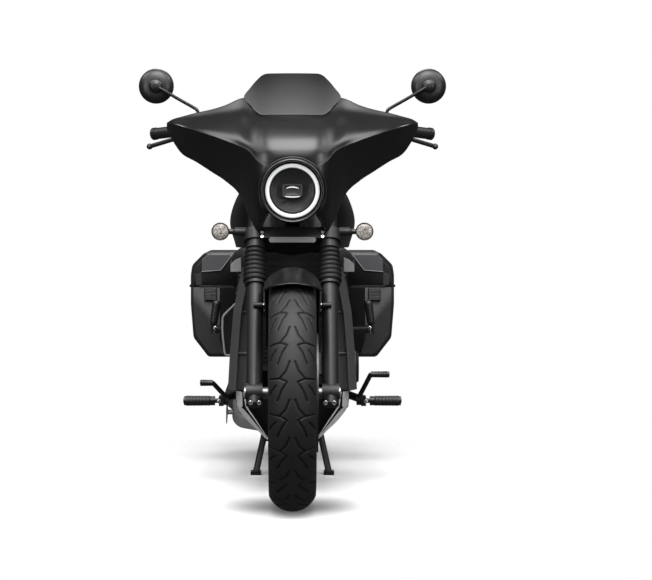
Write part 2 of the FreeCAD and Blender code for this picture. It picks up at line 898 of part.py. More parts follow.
def front_caliper():
    width = S.caliper_outer_x - S.caliper_inner_x
    depth = S.caliper_back - S.caliper_front
    height = S.caliper_high - S.caliper_low
    body = Part.makeBox(width, depth, height, Vector(S.caliper_inner_x, S.caliper_front, S.caliper_low))
    body = body.makeChamfer(S.carrier_thickness, body.Edges)
    body.Placement = FORK_FRAME
    slot = 2 * S.pad_clearance + S.disc_thickness
    slot_start = FRONT_AXLE + X * (S.front_disc_x - slot / 2)
    return body.cut(Part.makeCylinder(S.front_disc_radius + S.pad_clearance, slot, slot_start, X))


node("front_caliper", form("front_caliper_form", front_caliper()))


# Handlebar: one bent tube through two risers, with grips, switch boxes, levers and mirrors

BAR_CENTRE = on_fork(S.bar_height, FORK_OFFSET)


def bar_point(half, back, rise):
    return BAR_CENTRE + Vector(half, back, rise)


BAR_MID = bar_point(S.bar_mid_half, S.bar_mid_back, S.bar_mid_rise)
BAR_BEND = bar_point(S.bar_bend_half, S.bar_bend_back, S.bar_bend_rise)
BAR_END = bar_point(S.bar_end_half, S.bar_end_back, S.bar_end_rise)
BAR_SHOULDER = bar_point(S.bar_centre_half, 0, 0)
GRIP_ALONG = (BAR_END - BAR_BEND).normalize()
GRIP_START = BAR_END - GRIP_ALONG * S.grip_length
SWITCH_START = GRIP_START - GRIP_ALONG * S.switch_length
PERCH_START = SWITCH_START - GRIP_ALONG * S.perch_length

left_bar = [BAR_SHOULDER, BAR_MID, BAR_BEND, BAR_END]
bar_points = [flip(point) for point in reversed(left_bar)] + left_bar
bar_tube = form("bar_tube", tube(bar_points, S.bar_radius, S.bar_bend_radius))

riser_base = on_fork(S.upper_clamp_height + S.upper_clamp_thickness + S.seat_gap, FORK_OFFSET, S.riser_half)
riser_length = "bar_height + riser_cap - upper_clamp_height - upper_clamp_thickness - seat_gap"
risers = both_sides("riser_pair", rod("riser", riser_base, FORK_UP, "riser_radius", riser_length))
node("handlebar", join("handlebar_form", bar_tube, risers))

grip_sleeve = rod("grip_sleeve", GRIP_START, GRIP_ALONG, "grip_radius", "grip_length")
bar_end = rod("bar_end", BAR_END, GRIP_ALONG, "bar_end_radius", "bar_end_length")
grip_bore = rod("grip_bore", GRIP_START, GRIP_ALONG, "bar_radius + seat_gap", "grip_length + seat_gap")
grip = cut("grip", join("grip_solid", grip_sleeve, bar_end), grip_bore)
node("grips", both_sides("grips_form", grip))


def lever_shape():
    """A blade that leaves its perch ahead of the bar and curves back to a ball at its tip."""
    ahead = -Y * S.lever_reach
    pivot = PERCH_START + GRIP_ALONG * (S.perch_length / 2) + ahead * 0.55 - Z * (S.lever_drop * 0.1)
    middle = GRIP_START + ahead - Z * (S.lever_drop * 0.5)
    tip = Vector(S.lever_tip_half, BAR_END.y - S.lever_reach, BAR_END.z - S.lever_drop)
    blade = tube([pivot, middle, tip], S.lever_radius, S.bar_bend_radius)
    return blade.fuse(Part.makeSphere(S.lever_tip_radius, tip))


def perch_shape():
    """The clamp that carries a lever, with the arm that reaches forward to the lever's pivot."""
    body = Part.makeCylinder(S.perch_radius, S.perch_length, PERCH_START, GRIP_ALONG)
    middle = PERCH_START + GRIP_ALONG * (S.perch_length / 2)
    arm = Part.makeCylinder(S.lever_radius * 1.6, S.lever_reach * 0.55, middle, -Y)
    return body.fuse(arm)


switch_box = Part.makeCylinder(S.switch_radius, S.switch_length - S.seat_gap, SWITCH_START, GRIP_ALONG)
control_solid = form("control_solid", perch_shape().multiFuse([switch_box, lever_shape()]))
control_bore = rod(
    "control_bore",
    BAR_BEND,
    GRIP_ALONG,
    "bar_radius + seat_gap",
    "perch_length + switch_length + 6 * overrun",
)
reservoir_base = PERCH_START + GRIP_ALONG * (S.perch_length / 2) - Y * (S.lever_reach * 0.6)
reservoir = flip(reservoir_base) + Z * S.perch_radius * 0.5
reservoir_pot = rod("reservoir", reservoir, Z, "reservoir_radius", "reservoir_height")
bend_bore = rod("bend_bore", BAR_BEND, BAR_MID - BAR_BEND, "bar_radius + 2 * seat_gap", "grip_length")
left_control = cut("left_control", control_solid, join("control_bores", control_bore, bend_bore))
right_control = join("right_control", mirrored("right_control_base", left_control), reservoir_pot)
node("hand_controls", join("hand_controls_form", left_control, right_control))

MIRROR_CENTRE = Vector(S.mirror_half_spacing, S.mirror_y, S.mirror_height)


def mirror_shape():
    """A round bowl whose glass lies a little inside its rear rim."""
    rear = S.mirror_depth
    bowl = [
        (0, 0),
        (S.mirror_radius * 0.62, S.mirror_depth * 0.12),
        (S.mirror_radius * 0.92, S.mirror_depth * 0.42),
        (S.mirror_radius, S.mirror_depth * 0.75),
        (S.mirror_radius, rear),
        (S.mirror_radius - S.mirror_rim, rear),
        (S.mirror_radius - S.mirror_rim, rear - S.mirror_recess),
        (0, rear - S.mirror_recess),
    ]
    outline = [Vector(r, depth, 0) for r, depth in bowl]
    body = turned(outline, ORIGIN, Y)
    body.translate(MIRROR_CENTRE)
    return body


MIRROR_FOOT = PERCH_START + GRIP_ALONG * (S.perch_length / 2) + Z * (S.perch_radius + 3 * S.seat_gap)
MIRROR_KNEE = MIRROR_FOOT + Z * S.mirror_foot_rise
MIRROR_JOIN = MIRROR_CENTRE + Vector(-S.mirror_radius * 0.75, S.mirror_depth * 0.4, -S.mirror_radius * 0.45)
mirror_line = [MIRROR_FOOT, MIRROR_KNEE, MIRROR_JOIN]
mirror_stem = form("mirror_stem", tube(mirror_line, S.mirror_stem_radius, S.mirror_rim * 3))
mirror = join("mirror", form("mirror_bowl", mirror_shape()), mirror_stem)
node("mirrors", both_sides("mirrors_form", mirror))


# Headlight: a bucket open to the front, the lamp unit inside it and a crowned lens

LAMP = Vector(0, S.headlight_front_y, S.headlight_height)


def turned_lamp(points):
    """A turned piece of the headlight from (radius, depth behind the bezel's front) pairs."""
    body = turned([Vector(r, depth, 0) for r, depth in points], ORIGIN, Y)
    body.translate(LAMP)
    return body


wall = S.headlight_wall
LAMP_SEAT = S.lens_setback + S.lens_crown
bucket_points = [
    (S.headlight_radius - wall, 0),
    (S.headlight_radius, wall),
    (S.headlight_radius, S.bezel_depth),
    (S.headlight_radius - wall, S.bezel_depth + wall),
    (S.headlight_back_radius, S.headlight_depth),
    (0, S.headlight_depth),
    (0, S.headlight_depth - wall),
    (S.headlight_back_radius - wall, S.headlight_depth - wall),
    (S.lens_radius - wall, S.bezel_depth + wall),
    (S.lens_radius + S.seat_gap, S.bezel_depth),
    (S.lens_radius + S.seat_gap, S.lens_setback),
]
lamp_bucket = form("headlight_bucket_turned", turned_lamp(bucket_points))
lens_back = LAMP_SEAT + S.lens_thickness


def lens_shape():
    """A glass with a slight crown, its face and back both shallow arcs turned about Y."""
    edge = S.lens_radius
    front = arc(Vector(-edge, LAMP_SEAT, 0), Vector(0, S.lens_setback, 0), Vector(edge, LAMP_SEAT, 0))
    half_face = Part.Wire(
        [
            arc(
                Vector(0, S.lens_setback, 0),
                front.valueAt(front.FirstParameter + (front.LastParameter - front.FirstParameter) * 0.75),
                Vector(edge, LAMP_SEAT, 0),
            ),
            line(Vector(edge, LAMP_SEAT, 0), Vector(edge, lens_back, 0)),
            line(Vector(edge, lens_back, 0), Vector(0, lens_back - S.lens_crown, 0)),
            line(Vector(0, lens_back - S.lens_crown, 0), Vector(0, S.lens_setback, 0)),
        ]
    )
    glass_body = Part.Face(half_face).revolve(ORIGIN, Y, FULL_TURN)
    glass_body.translate(LAMP)
    return glass_body


node("headlight_lens", form("headlight_lens_form", lens_shape()))
ring_start = LAMP + Y * (lens_back + S.seat_gap)
ring_outer = rod("lamp_ring_outer", ring_start, Y, "ring_outer_radius", "ring_depth")
ring_inner = rod("lamp_ring_inner", ring_start, Y, "ring_inner_radius", "ring_depth")
lamp_ring = cut("lamp_ring", ring_outer, ring_inner)
core_face = lens_back + S.seat_gap + S.ring_depth
core_radius = S.ring_outer_radius - wall
projector_corner = LAMP + Vector(-S.projector_width / 2, core_face - S.ring_depth, -S.projector_height / 2)
projector = block("projector", projector_corner, "projector_width", "projector_depth", "projector_height")
core_depth = S.projector_depth - S.ring_depth
core_back_radius = S.headlight_back_radius
core_points = [(0, core_face), (core_radius, core_face), (core_radius, core_face + wall)]
core_points += [(core_back_radius, core_face + core_depth * 2), (0, core_face + core_depth * 2)]
core_dish = form("core_dish", turned_lamp(core_points))
node("headlight_core", join("headlight_core_form", core_dish, projector, lamp_ring))


# Fairing: a thin skin lofted across the machine. Each station holds its share of the half width,
# then the outline of the skin there as (height share, depth share) from the top edge to the
# crease, and from the crease to the bottom edge.

FAIRING_SHARES = [
    (0.000, [(0.979, 0.552), (0.866, 0.388), (0.734, 0.164), (0.603, 0.027), (0.463, 0.000)],
     [(0.463, 0.000), (0.300, 0.006), (0.142, 0.061), (0.003, 0.142)]),
    (0.166, [(0.984, 0.570), (0.871, 0.406), (0.737, 0.182), (0.605, 0.042), (0.471, 0.012)],
     [(0.471, 0.012), (0.305, 0.027), (0.145, 0.076), (0.003, 0.158)]),
    (0.263, [(0.987, 0.606), (0.874, 0.455), (0.739, 0.224), (0.608, 0.082), (0.500, 0.052)],
     [(0.500, 0.052), (0.339, 0.073), (0.163, 0.112), (0.003, 0.197)]),
    (0.332, [(0.989, 0.642), (0.879, 0.515), (0.747, 0.291), (0.642, 0.145), (0.574, 0.106)],
     [(0.574, 0.106), (0.392, 0.158), (0.242, 0.218), (0.089, 0.294)]),
    (0.416, [(0.979, 0.667), (0.884, 0.567), (0.774, 0.370), (0.682, 0.236), (0.616, 0.194)],
     [(0.616, 0.194), (0.471, 0.264), (0.358, 0.333), (0.266, 0.400)]),
    (0.526, [(0.934, 0.703), (0.866, 0.618), (0.787, 0.476), (0.716, 0.364), (0.661, 0.309)],
     [(0.661, 0.309), (0.550, 0.385), (0.445, 0.461), (0.363, 0.536)]),
    (0.637, [(0.903, 0.739), (0.853, 0.673), (0.795, 0.567), (0.742, 0.476), (0.700, 0.424)],
     [(0.700, 0.424), (0.603, 0.497), (0.511, 0.576), (0.432, 0.642)]),
    (0.762, [(0.879, 0.788), (0.842, 0.739), (0.805, 0.667), (0.766, 0.597), (0.739, 0.552)],
     [(0.739, 0.552), (0.655, 0.618), (0.576, 0.688), (0.508, 0.748)]),
    (0.873, [(0.853, 0.839), (0.832, 0.806), (0.808, 0.758), (0.784, 0.709), (0.774, 0.679)],
     [(0.774, 0.679), (0.700, 0.739), (0.637, 0.800), (0.568, 0.855)]),
    (0.950, [(0.834, 0.879), (0.824, 0.861), (0.811, 0.836), (0.800, 0.812), (0.795, 0.794)],
     [(0.795, 0.794), (0.747, 0.830), (0.705, 0.861), (0.666, 0.891)]),
    (1.000, [(0.808, 0.915), (0.805, 0.909), (0.802, 0.903), (0.798, 0.894), (0.795, 0.885)],
     [(0.795, 0.885), (0.784, 0.894), (0.774, 0.906), (0.763, 0.915)]),
]

# The panel behind it, seen from the saddle, as (height share, depth share) at each station
INNER_PANEL_SHARES = [
    (0.000, [(0.955, 0.585), (0.826, 0.660), (0.642, 0.606), (0.379, 0.436)]),
    (0.166, [(0.958, 0.603), (0.826, 0.667), (0.642, 0.606), (0.379, 0.436)]),
    (0.263, [(0.961, 0.639), (0.826, 0.682), (0.642, 0.606), (0.339, 0.418)]),
    (0.332, [(0.963, 0.672), (0.832, 0.703), (0.642, 0.627), (0.313, 0.406)]),
    (0.416, [(0.953, 0.700), (0.839, 0.748), (0.642, 0.688), (0.326, 0.442)]),
    (0.526, [(0.911, 0.736), (0.821, 0.800), (0.642, 0.748), (0.400, 0.555)]),
    (0.637, [(0.879, 0.773), (0.811, 0.839), (0.655, 0.794), (0.463, 0.664)]),
    (0.762, [(0.858, 0.818), (0.800, 0.870), (0.668, 0.848), (0.532, 0.770)]),
    (0.873, [(0.834, 0.867), (0.789, 0.900), (0.689, 0.891), (0.592, 0.873)]),
    (0.945, [(0.818, 0.897), (0.789, 0.918), (0.734, 0.915), (0.679, 0.909)]),
]


FAIRING_BASE = S.headlight_height - S.fairing_below_lamp
SCREEN_BASE_SHARE = 0.85
GAUGE_HEIGHT_SHARE = 0.8105


def fairing_level(height_share):
    """The height of a place on the fairing, which sits around the headlight."""
    return FAIRING_BASE + height_share * S.fairing_height


def fairing_point(x_share, height_share, depth_share, deeper=0):
    x = x_share * S.fairing_half_width
    y = S.fairing_nose_y + depth_share * S.fairing_sweep + deeper
    return Vector(x, y, fairing_level(height_share))


def skin_section(x_share, outlines, wall_depth):
    """A closed thin outline at one station: smooth outer edges, then the same edges further back."""
    outer = [[fairing_point(x_share, *pair) for pair in outline] for outline in outlines]
    inner = [[fairing_point(x_share, *pair, wall_depth) for pair in outline] for outline in outlines]
    edges = [curve(points) for points in outer]
    edges.append(line(outer[-1][-1], inner[-1][-1]))
    edges += [curve(list(reversed(points))) for points in reversed(inner)]
    edges.append(line(inner[0][0], outer[0][0]))
    return Part.Wire(edges)


def across(stations):
    """The stations from the right tip to the left tip, each with a signed share of the half width."""
    right = [(-share, *rest) for share, *rest in reversed(stations) if share]
    return right + list(stations)


def fairing_skin():
    sections = [skin_section(share, outlines, S.fairing_wall) for share, *outlines in across(FAIRING_SHARES)]
    skin = loft(sections, ruled=True)
    reach = S.fairing_sweep
    hole_radius = S.headlight_radius + S.lamp_hole_gap
    hole = Part.makeCylinder(hole_radius, reach, LAMP - Y * (reach / 2), Y)
    lobe = S.fairing_lobe_half
    base = FAIRING_BASE
    low = base - S.overrun
    notch_points = [(-hole_radius, low), (hole_radius, low), (lobe, base + S.fairing_lobe_height)]
    notch_points.append((-lobe, base + S.fairing_lobe_height))
    notch = prism([Vector(x, LAMP.y - reach / 2, z) for x, z in notch_points], Y * reach)
    return skin.cut(hole).cut(notch)


FAIRING_SKIN = fairing_skin()
inner_stations = across(INNER_PANEL_SHARES)
inner_sections = [skin_section(share, outlines, S.fairing_wall) for share, *outlines in inner_stations]
INNER_SKIN = loft(inner_sections, ruled=True)

PANEL_POST_SHARES = [(0.45, 0.72), (0.80, 0.76)]


def post_to(skin, x, z, end, radius):
    """A round post that starts just behind a skin's rear face and ends at a given point."""
    start = Vector(x, opening_line(skin, x, z)[0], z)
    post = Part.makeCylinder(radius, (end - start).Length, start, end - start)
    behind = skin.copy()
    behind.translate(Y * S.seat_gap)
    pieces = post.cut(skin).cut(behind).Solids
    return max(pieces, key=lambda piece: piece.CenterOfMass.y)


def post_from(skin, x, z, end_y, radius):
    """The same post, straight back along Y."""
    return post_to(skin, x, z, Vector(x, end_y, z), radius)


def panel_posts():
    posts = []
    for x_share, height_share in PANEL_POST_SHARES:
        x = x_share * S.fairing_half_width
        z = fairing_level(height_share)
        end_y = opening_line(INNER_SKIN, x, z)[0] + S.fairing_wall / 2
        posts.append(post_from(FAIRING_SKIN, x, z, end_y, S.post_radius))
    return posts + [post.mirror(ORIGIN, X) for post in posts]


GAUGE = Vector(0, S.gauge_y, fairing_level(GAUGE_HEIGHT_SHARE))
gauge_hole_start = GAUGE - Y * (S.fairing_sweep / 2)
gauge_hole = Part.makeCylinder(S.gauge_radius + S.seat_gap, S.fairing_sweep, gauge_hole_start, Y)
INNER_FAIRING = INNER_SKIN.multiFuse(panel_posts()).cut(gauge_hole)
gauge_points = [
    (0, -S.gauge_depth),
    (S.gauge_radius * 0.8, -S.gauge_depth),
    (S.gauge_radius, -S.gauge_depth * 0.6),
    (S.gauge_radius, 0),
    (S.gauge_radius * 0.86, 0),
    (S.gauge_radius * 0.82, -S.gauge_depth * 0.12),
    (0, -S.gauge_depth * 0.12),
]
gauge_body = turned([Vector(r, depth, 0) for r, depth in gauge_points], ORIGIN, Y)
gauge_body.translate(GAUGE)
node("gauge", form("gauge_form", gauge_body))
node("inner_fairing", form("inner_fairing_form", INNER_FAIRING))


# Windscreen: a bowed sheet whose outline is given at each share of its half width as
# (lowest height share, highest height share)

SCREEN_SHARES = [(0.00, 0.00, 1.00), (0.35, 0.00, 0.998), (0.58, 0.00, 0.99), (0.66, 0.03, 0.93)]
SCREEN_SHARES += [(0.76, 0.13, 0.80), (0.87, 0.26, 0.64), (0.98, 0.41, 0.46)]


def screen_point(x_share, height_share, deeper):
    y = S.screen_base_y + S.screen_lean * height_share + S.screen_bow * x_share**2 + deeper
    z = fairing_level(SCREEN_BASE_SHARE) + S.screen_height * height_share
    return Vector(x_share * S.screen_half_width, y, z)


def screen_section(x_share, low, high):
    heights = [low + (high - low) * step / 2 for step in range(3)]
    front = [screen_point(x_share, height, 0) for height in heights]
    back = [screen_point(x_share, height, S.screen_wall) for height in reversed(heights)]
    return polygon([front[0], front[2], back[0], back[2]])


SCREEN = loft([screen_section(*station) for station in across(SCREEN_SHARES)])
node("windscreen", form("windscreen_form", SCREEN))

SCREEN_POST_SHARES = [(0.25, 0.12), (0.60, 0.20)]


def screen_posts():
    """The rubber feet on the fairing that the windscreen is screwed to."""
    posts = []
    for x_share, height_share in SCREEN_POST_SHARES:
        place = screen_point(x_share, height_share, S.screen_wall / 2)
        end_y = opening_line(FAIRING_SKIN, place.x, place.z)[0] + S.fairing_wall / 2
        posts.append(post_from(SCREEN, place.x, place.z, end_y, S.post_radius))
    return posts + [post.mirror(ORIGIN, X) for post in posts]


node("fairing", form("fairing_form", FAIRING_SKIN.multiFuse(screen_posts())))


# Front turn signals, on stalks from the lower clamp

def indicator_shape(centre, facing):
    """A round lamp whose face points along facing, with a tapered back."""
    bowl = [
        (0, 0),
        (S.indicator_radius * 0.9, 0),
        (S.indicator_radius, S.indicator_depth * 0.2),
        (S.indicator_radius, S.indicator_depth * 0.5),
        (S.indicator_radius * 0.6, S.indicator_depth),
        (0, S.indicator_depth),
    ]
    lamp = turned([Vector(r, -depth * facing, 0) for r, depth in bowl], ORIGIN, Y)
    lamp.translate(centre)
    return lamp


clamp_middle = LOWER_CLAMP + S.lower_clamp_thickness / 2
clamp_side = FORK_HALF + S.tube_radius + S.clamp_wall
STALK = on_fork(clamp_middle, 0, clamp_side + S.seat_gap)
INDICATOR = Vector(S.indicator_half, STALK.y - S.indicator_depth / 2, STALK.z + S.indicator_rise)
stalk_end = Vector(INDICATOR.x, STALK.y, INDICATOR.z)
stalk_knee = STALK + X * (S.indicator_stalk_radius * 2)
stalk = tube([STALK, stalk_knee, stalk_end], S.indicator_stalk_radius, S.indicator_stalk_radius * 2)
front_lamp = form("front_indicator", indicator_shape(INDICATOR, -1).fuse(stalk))
node("front_indicators", both_sides("front_indicators_form", front_lamp))

# The fairing hangs on two short stays on the upper clamp's front
STAY_HEIGHT_SHARE = 0.618
stay_half = S.stem_boss_radius * 2.6
stay_end = on_fork(S.upper_clamp_height + S.upper_clamp_thickness / 2, -S.clamp_wall * 2, stay_half)
stay = post_to(INNER_SKIN, stay_half, fairing_level(STAY_HEIGHT_SHARE), stay_end, S.post_radius)
node("triple_clamps", form("triple_clamps_form", YOKES.multiFuse([stay, stay.mirror(ORIGIN, X)])))

# Headlight bracket: two arms from the bucket's back to the lower clamp
ARM_FOOT = LOWER_CLAMP + S.lower_clamp_thickness + S.seat_gap
bracket_arm = tube(
    [
        LAMP + Vector(S.headlight_back_radius * 0.8, S.headlight_depth - wall, 0),
        LAMP + Vector(S.headlight_back_radius * 0.8, S.headlight_depth + S.bezel_depth, -S.post_radius),
        on_fork(ARM_FOOT + S.bezel_depth, 0, S.headlight_back_radius),
        on_fork(ARM_FOOT, 0, S.headlight_back_radius),
    ],
    S.post_radius,
    S.post_radius * 2,
)
lamp_arms = both_sides("headlight_arms", form("headlight_arm", bracket_arm))
node("headlight_bucket", join("headlight_bucket_form", lamp_bucket, lamp_arms))


# Main frame: head tube, backbone, downtubes, pivot plates, seat rails and their struts

AXIS_BASE = on_fork(LOWER_CLAMP + S.lower_clamp_thickness + S.head_tube_gap, FORK_OFFSET)
HEAD_LENGTH = "upper_clamp_height - " + CLAMP_TEXT + " - lower_clamp_thickness - 2 * head_tube_gap"
head_outer = rod("head_outer", AXIS_BASE, FORK_UP, "head_tube_radius", HEAD_LENGTH)
head_bore = rod("head_bore", AXIS_BASE, FORK_UP, "stem_radius + running_clearance", HEAD_LENGTH)


def on_axis(share, back=0, x=0):
    """A point on the head tube: share 0 is its foot and 1 its top."""
    foot = LOWER_CLAMP + S.lower_clamp_thickness + S.head_tube_gap
    top = S.upper_clamp_height - S.head_tube_gap
    return on_fork(foot + (top - foot) * share, FORK_OFFSET + back, x)


PLATE_MIDDLE_X = S.plate_inner + S.plate_thickness / 2
PLATE_FRONT_Y = S.case_rear_y + S.seat_gap


def frame_tubes():
    radius = S.frame_tube_radius
    gusset_half = S.head_tube_radius / 2
    backbone = tube(
        [
            on_axis(0.25, S.head_tube_radius / 2, gusset_half),
            Vector(S.backbone_half, S.tank_front_y + S.plate_width * 0.7, S.backbone_height),
            Vector(S.backbone_half, S.case_rear_y - S.plate_width, S.backbone_height),
            Vector(PLATE_MIDDLE_X, S.pivot_y, S.plate_top - S.overrun),
        ],
        radius,
        S.plate_width,
    )
    downtube = tube(
        [
            on_axis(0.12, S.head_tube_radius / 3, gusset_half),
            Vector(S.downtube_half * 0.68, S.downtube_y - radius, S.radiator_top + S.engine_lug),
            Vector(S.downtube_half, S.downtube_y, S.shroud_top),
            Vector(S.downtube_half, S.downtube_y, S.downtube_foot),
        ],
        radius,
        S.plate_width / 2,
    )
    return backbone, downtube


def subframe_tubes():
    """A seat rail and the strut below it."""
    rail = tube(
        [
            Vector(S.backbone_half, S.case_rear_y - S.plate_width, S.rail_height),
            Vector(S.rail_half, S.pivot_y, S.rail_height),
            Vector(S.rail_half, S.rail_end_y, S.rail_height),
        ],
        S.rail_radius,
        S.plate_width,
    )
    strut = tube(
        [
            Vector(PLATE_MIDDLE_X, S.pivot_y + S.frame_tube_radius, S.plate_top - S.plate_width / 2),
            Vector(PLATE_MIDDLE_X, S.pivot_y + S.plate_width, S.plate_top),
            Vector(S.rail_half, S.shock_top_y - S.plate_width, S.rail_height),
        ],
        S.rail_radius - S.seat_gap,
        S.plate_width / 2,
    )
    return rail, strut


def engine_lug():
    """The plate on the foot of a downtube that the engine is bolted to."""
    lug_x = S.case_half + S.seat_gap
    corner = Vector(lug_x, S.downtube_y, S.downtube_foot - S.engine_lug / 2)
    reach = S.case_front_y + S.engine_lug * 0.4 - S.downtube_y
    return Part.makeBox(S.downtube_half - lug_x, reach, S.engine_lug, corner)


def pannier_bracket(y):
    """A bent bar from a seat rail down and out to a pannier's inner face."""
    out = (S.rail_half + S.pannier_inner) / 2 + S.overrun
    return tube(
        [
            Vector(S.rail_half, y, S.rail_height),
            Vector(out, y, S.rail_height - S.engine_lug),
            Vector(out, y, S.pannier_bracket_height),
            Vector(S.pannier_inner - S.seat_gap, y, S.pannier_bracket_height),
        ],
        S.pannier_bracket_radius,
        S.pannier_bracket_radius * 1.5,
    )


def fender_hanger():
    """A plate below the seat rail that the edge of the rear fender is screwed to."""
    edge_x = S.rear_fender_half + S.fender_wall + S.seat_gap
    low = REAR_AXLE.z + S.rear_fender_radius - S.plate_width
    corner = Vector(edge_x, S.wheelbase - S.engine_lug / 2, low)
    top = S.rail_height - corner.z
    return Part.makeBox(S.overrun, S.engine_lug, top, corner)


SIDE_PIVOT = Vector(S.side_stand_x, S.side_stand_y, S.side_stand_height)
SIDE_AXIS = Vector(
    math.cos(math.radians(S.side_stand_swing_degrees)), 0, math.sin(math.radians(S.side_stand_swing_degrees))
)


def pillion_bracket():
    """The arm that carries a passenger peg, with a short upright end below the folded peg."""
    root = Vector(S.pillion_peg_x, S.pillion_peg_y, S.pillion_peg_height)
    arm = tube(
        [
            Vector(PLATE_MIDDLE_X, S.pivot_y + S.frame_tube_radius, S.plate_top - S.engine_lug),
            Vector(S.swingarm_inner + S.swingarm_width, S.pivot_y + S.plate_width, S.pillion_peg_height),
            root,
        ],
        S.rail_radius - S.bearing_gap,
        S.engine_lug,
    )
    post = Part.makeCylinder(S.pillion_peg_radius, 2 * S.rail_radius, root - Z * S.rail_radius, Z)
    return arm.fuse(post)


plate_corner = Vector(S.plate_inner, PLATE_FRONT_Y, S.plate_bottom)
plate_run = "pivot_y + plate_width / 2 - case_rear_y - seat_gap"
pivot_plate = block("pivot_plate", plate_corner, "plate_thickness", plate_run, "plate_top - plate_bottom")
side_pin_start = SIDE_PIVOT - SIDE_AXIS * (S.side_stand_radius * 2.6)
side_pin_length = "side_stand_radius * 4.2"
side_pin = rod("side_pin", side_pin_start, SIDE_AXIS, "stand_pin_radius", side_pin_length)
BACKBONE, DOWNTUBE = frame_tubes()
PILLION_BRACKET = pillion_bracket()
frame_pieces = form("frame_pieces", BACKBONE.multiFuse([DOWNTUBE, PILLION_BRACKET, engine_lug()]))
frame_side = join("frame_side", frame_pieces, pivot_plate)
pin_start = Vector(-PLATE_MIDDLE_X - S.overrun, S.stand_pivot_y, S.stand_pivot_height)
pin_length = "2 * plate_inner + plate_thickness + 2 * overrun"
stand_pin = rod("stand_pin", pin_start, X, "stand_pin_radius", pin_length)
pivot_bore_start = Vector(-S.plate_inner * 2, S.pivot_y, S.pivot_height)
pivot_bore = rod("pivot_bore", pivot_bore_start, X, "pivot_radius + seat_gap", "4 * plate_inner")
frame_both = both_sides("frame_sides", frame_side)
frame_solid = join("frame_solid", head_outer, frame_both, stand_pin, side_pin)
tank_post_start = Vector(S.backbone_half, S.tank_front_y + S.tank_length / 2, S.backbone_height)
tank_post_length = "tank_base + tank_tunnel_height - seat_gap - backbone_height"
tank_post = rod("tank_post", tank_post_start, Z, "post_radius * 2", tank_post_length)
pins = both_sides("frame_pins", tank_post)
frame_all = join("frame_all", frame_solid, pins)
frame_bored = cut("frame_bored", cut("frame_head", frame_all, head_bore), pivot_bore)
node("main_frame", frame_bored)


# Seat subframe: the rails, struts and brackets behind the pivot plates, welded to them and the backbone

def welded(tube_shape, *others):
    """What is left of a tube where it ends on the pieces it is welded to."""
    for other in others:
        tube_shape = tube_shape.cut(other)
    return max(tube_shape.Solids, key=lambda piece: piece.Volume)


def subframe_side():
    plate_length = S.pivot_y + S.plate_width / 2 - PLATE_FRONT_Y
    plate = Part.makeBox(S.plate_thickness, plate_length, S.plate_top - S.plate_bottom, plate_corner)
    rail, strut = subframe_tubes()
    brackets = [pannier_bracket(S.pannier_bracket_front_y), pannier_bracket(S.pannier_bracket_rear_y)]
    brackets += [fender_hanger(), welded(strut, plate, PILLION_BRACKET, BACKBONE)]
    return welded(rail, BACKBONE).multiFuse(brackets)


cross_start = Vector(-S.rail_half, S.seat_skirt_end, S.rail_height)
rail_cross = rod("rail_cross", cross_start, X, "rail_radius", "2 * rail_half")
shock_pin_start = Vector(S.rail_half, S.shock_top_y, S.rail_height)
shock_pin_length = "shock_x - rail_half + shock_body_radius"
shock_pin = rod("shock_pin", shock_pin_start, X, "shock_pin_radius", shock_pin_length)
subframe_half = join("subframe_half", form("subframe_side", subframe_side()), shock_pin)
node("seat_subframe", join("seat_subframe_form", both_sides("subframe_sides", subframe_half), rail_cross))


# Engine: a crankcase block, leaning finned cylinders and a head, with a round cover on each side

STACK_PLACE = Placement(Vector(0, S.cylinder_y, S.case_top), Rotation(X, S.cylinder_lean_degrees))


def engine_shape():
    front, rear = S.case_front_y, S.case_rear_y
    low, high = S.case_bottom, S.case_top
    corner = S.engine_lug
    outline = [
        (front, low + corner * 1.3),
        (front + corner, low),
        (rear - corner, low),
        (rear, low + corner),
        (rear, high - corner),
        (rear - corner * 1.3, high),
        (front + corner, high),
        (front, high - corner),
    ]
    case = prism([Vector(-S.case_half, y, z) for y, z in outline], X * (2 * S.case_half))
    half = S.cylinder_half
    depth = S.cylinder_depth
    sunk = S.engine_lug
    barrel_height = S.cylinder_height + sunk
    barrel = Part.makeBox(2 * half, depth, barrel_height, Vector(-half, -depth / 2, -sunk))
    pieces = [barrel]
    fin_count = int(S.cylinder_height / S.fin_pitch)
    for index in range(1, fin_count + 1):
        corner_point = Vector(-half - S.fin_reach, -depth / 2 - S.fin_reach, index * S.fin_pitch - S.fin_thickness)
        pieces.append(Part.makeBox(2 * (half + S.fin_reach), depth + 2 * S.fin_reach, S.fin_thickness, corner_point))
    head_outline = [
        Vector(-half, -depth / 2, S.cylinder_height),
        Vector(-half, depth / 2, S.cylinder_height),
        Vector(-half, depth / 2, S.cylinder_height + S.head_height * 0.5),
        Vector(-half, depth * 0.3, S.cylinder_height + S.head_height),
        Vector(-half, -depth * 0.3, S.cylinder_height + S.head_height),
        Vector(-half, -depth / 2, S.cylinder_height + S.head_height * 0.5),
    ]
    pieces.append(prism(head_outline, X * (2 * half)))
    for x in (-S.header_half, S.header_half):
        start = Vector(x, -depth / 2 + S.overrun, S.port_height)
        pieces.append(Part.makeCylinder(S.port_radius, S.port_reach + S.overrun, start, -Y))
    stack = pieces[0].multiFuse(pieces[1:])
    stack.Placement = STACK_PLACE
    sprocket_radius = S.front_sprocket_radius - S.chain_height / 2 - S.chain_gap
    sprocket_reach = S.chain_x + S.sprocket_thickness / 2 - S.case_half + S.overrun
    sprocket_start = Vector(S.case_half - S.overrun, S.front_sprocket_y, S.pivot_height)
    sprocket = Part.makeCylinder(sprocket_radius, sprocket_reach, sprocket_start, X)
    return case.multiFuse([stack, sprocket]).removeSplitter()


ENGINE = engine_shape()
node("engine_block", form("engine_block_form", ENGINE))


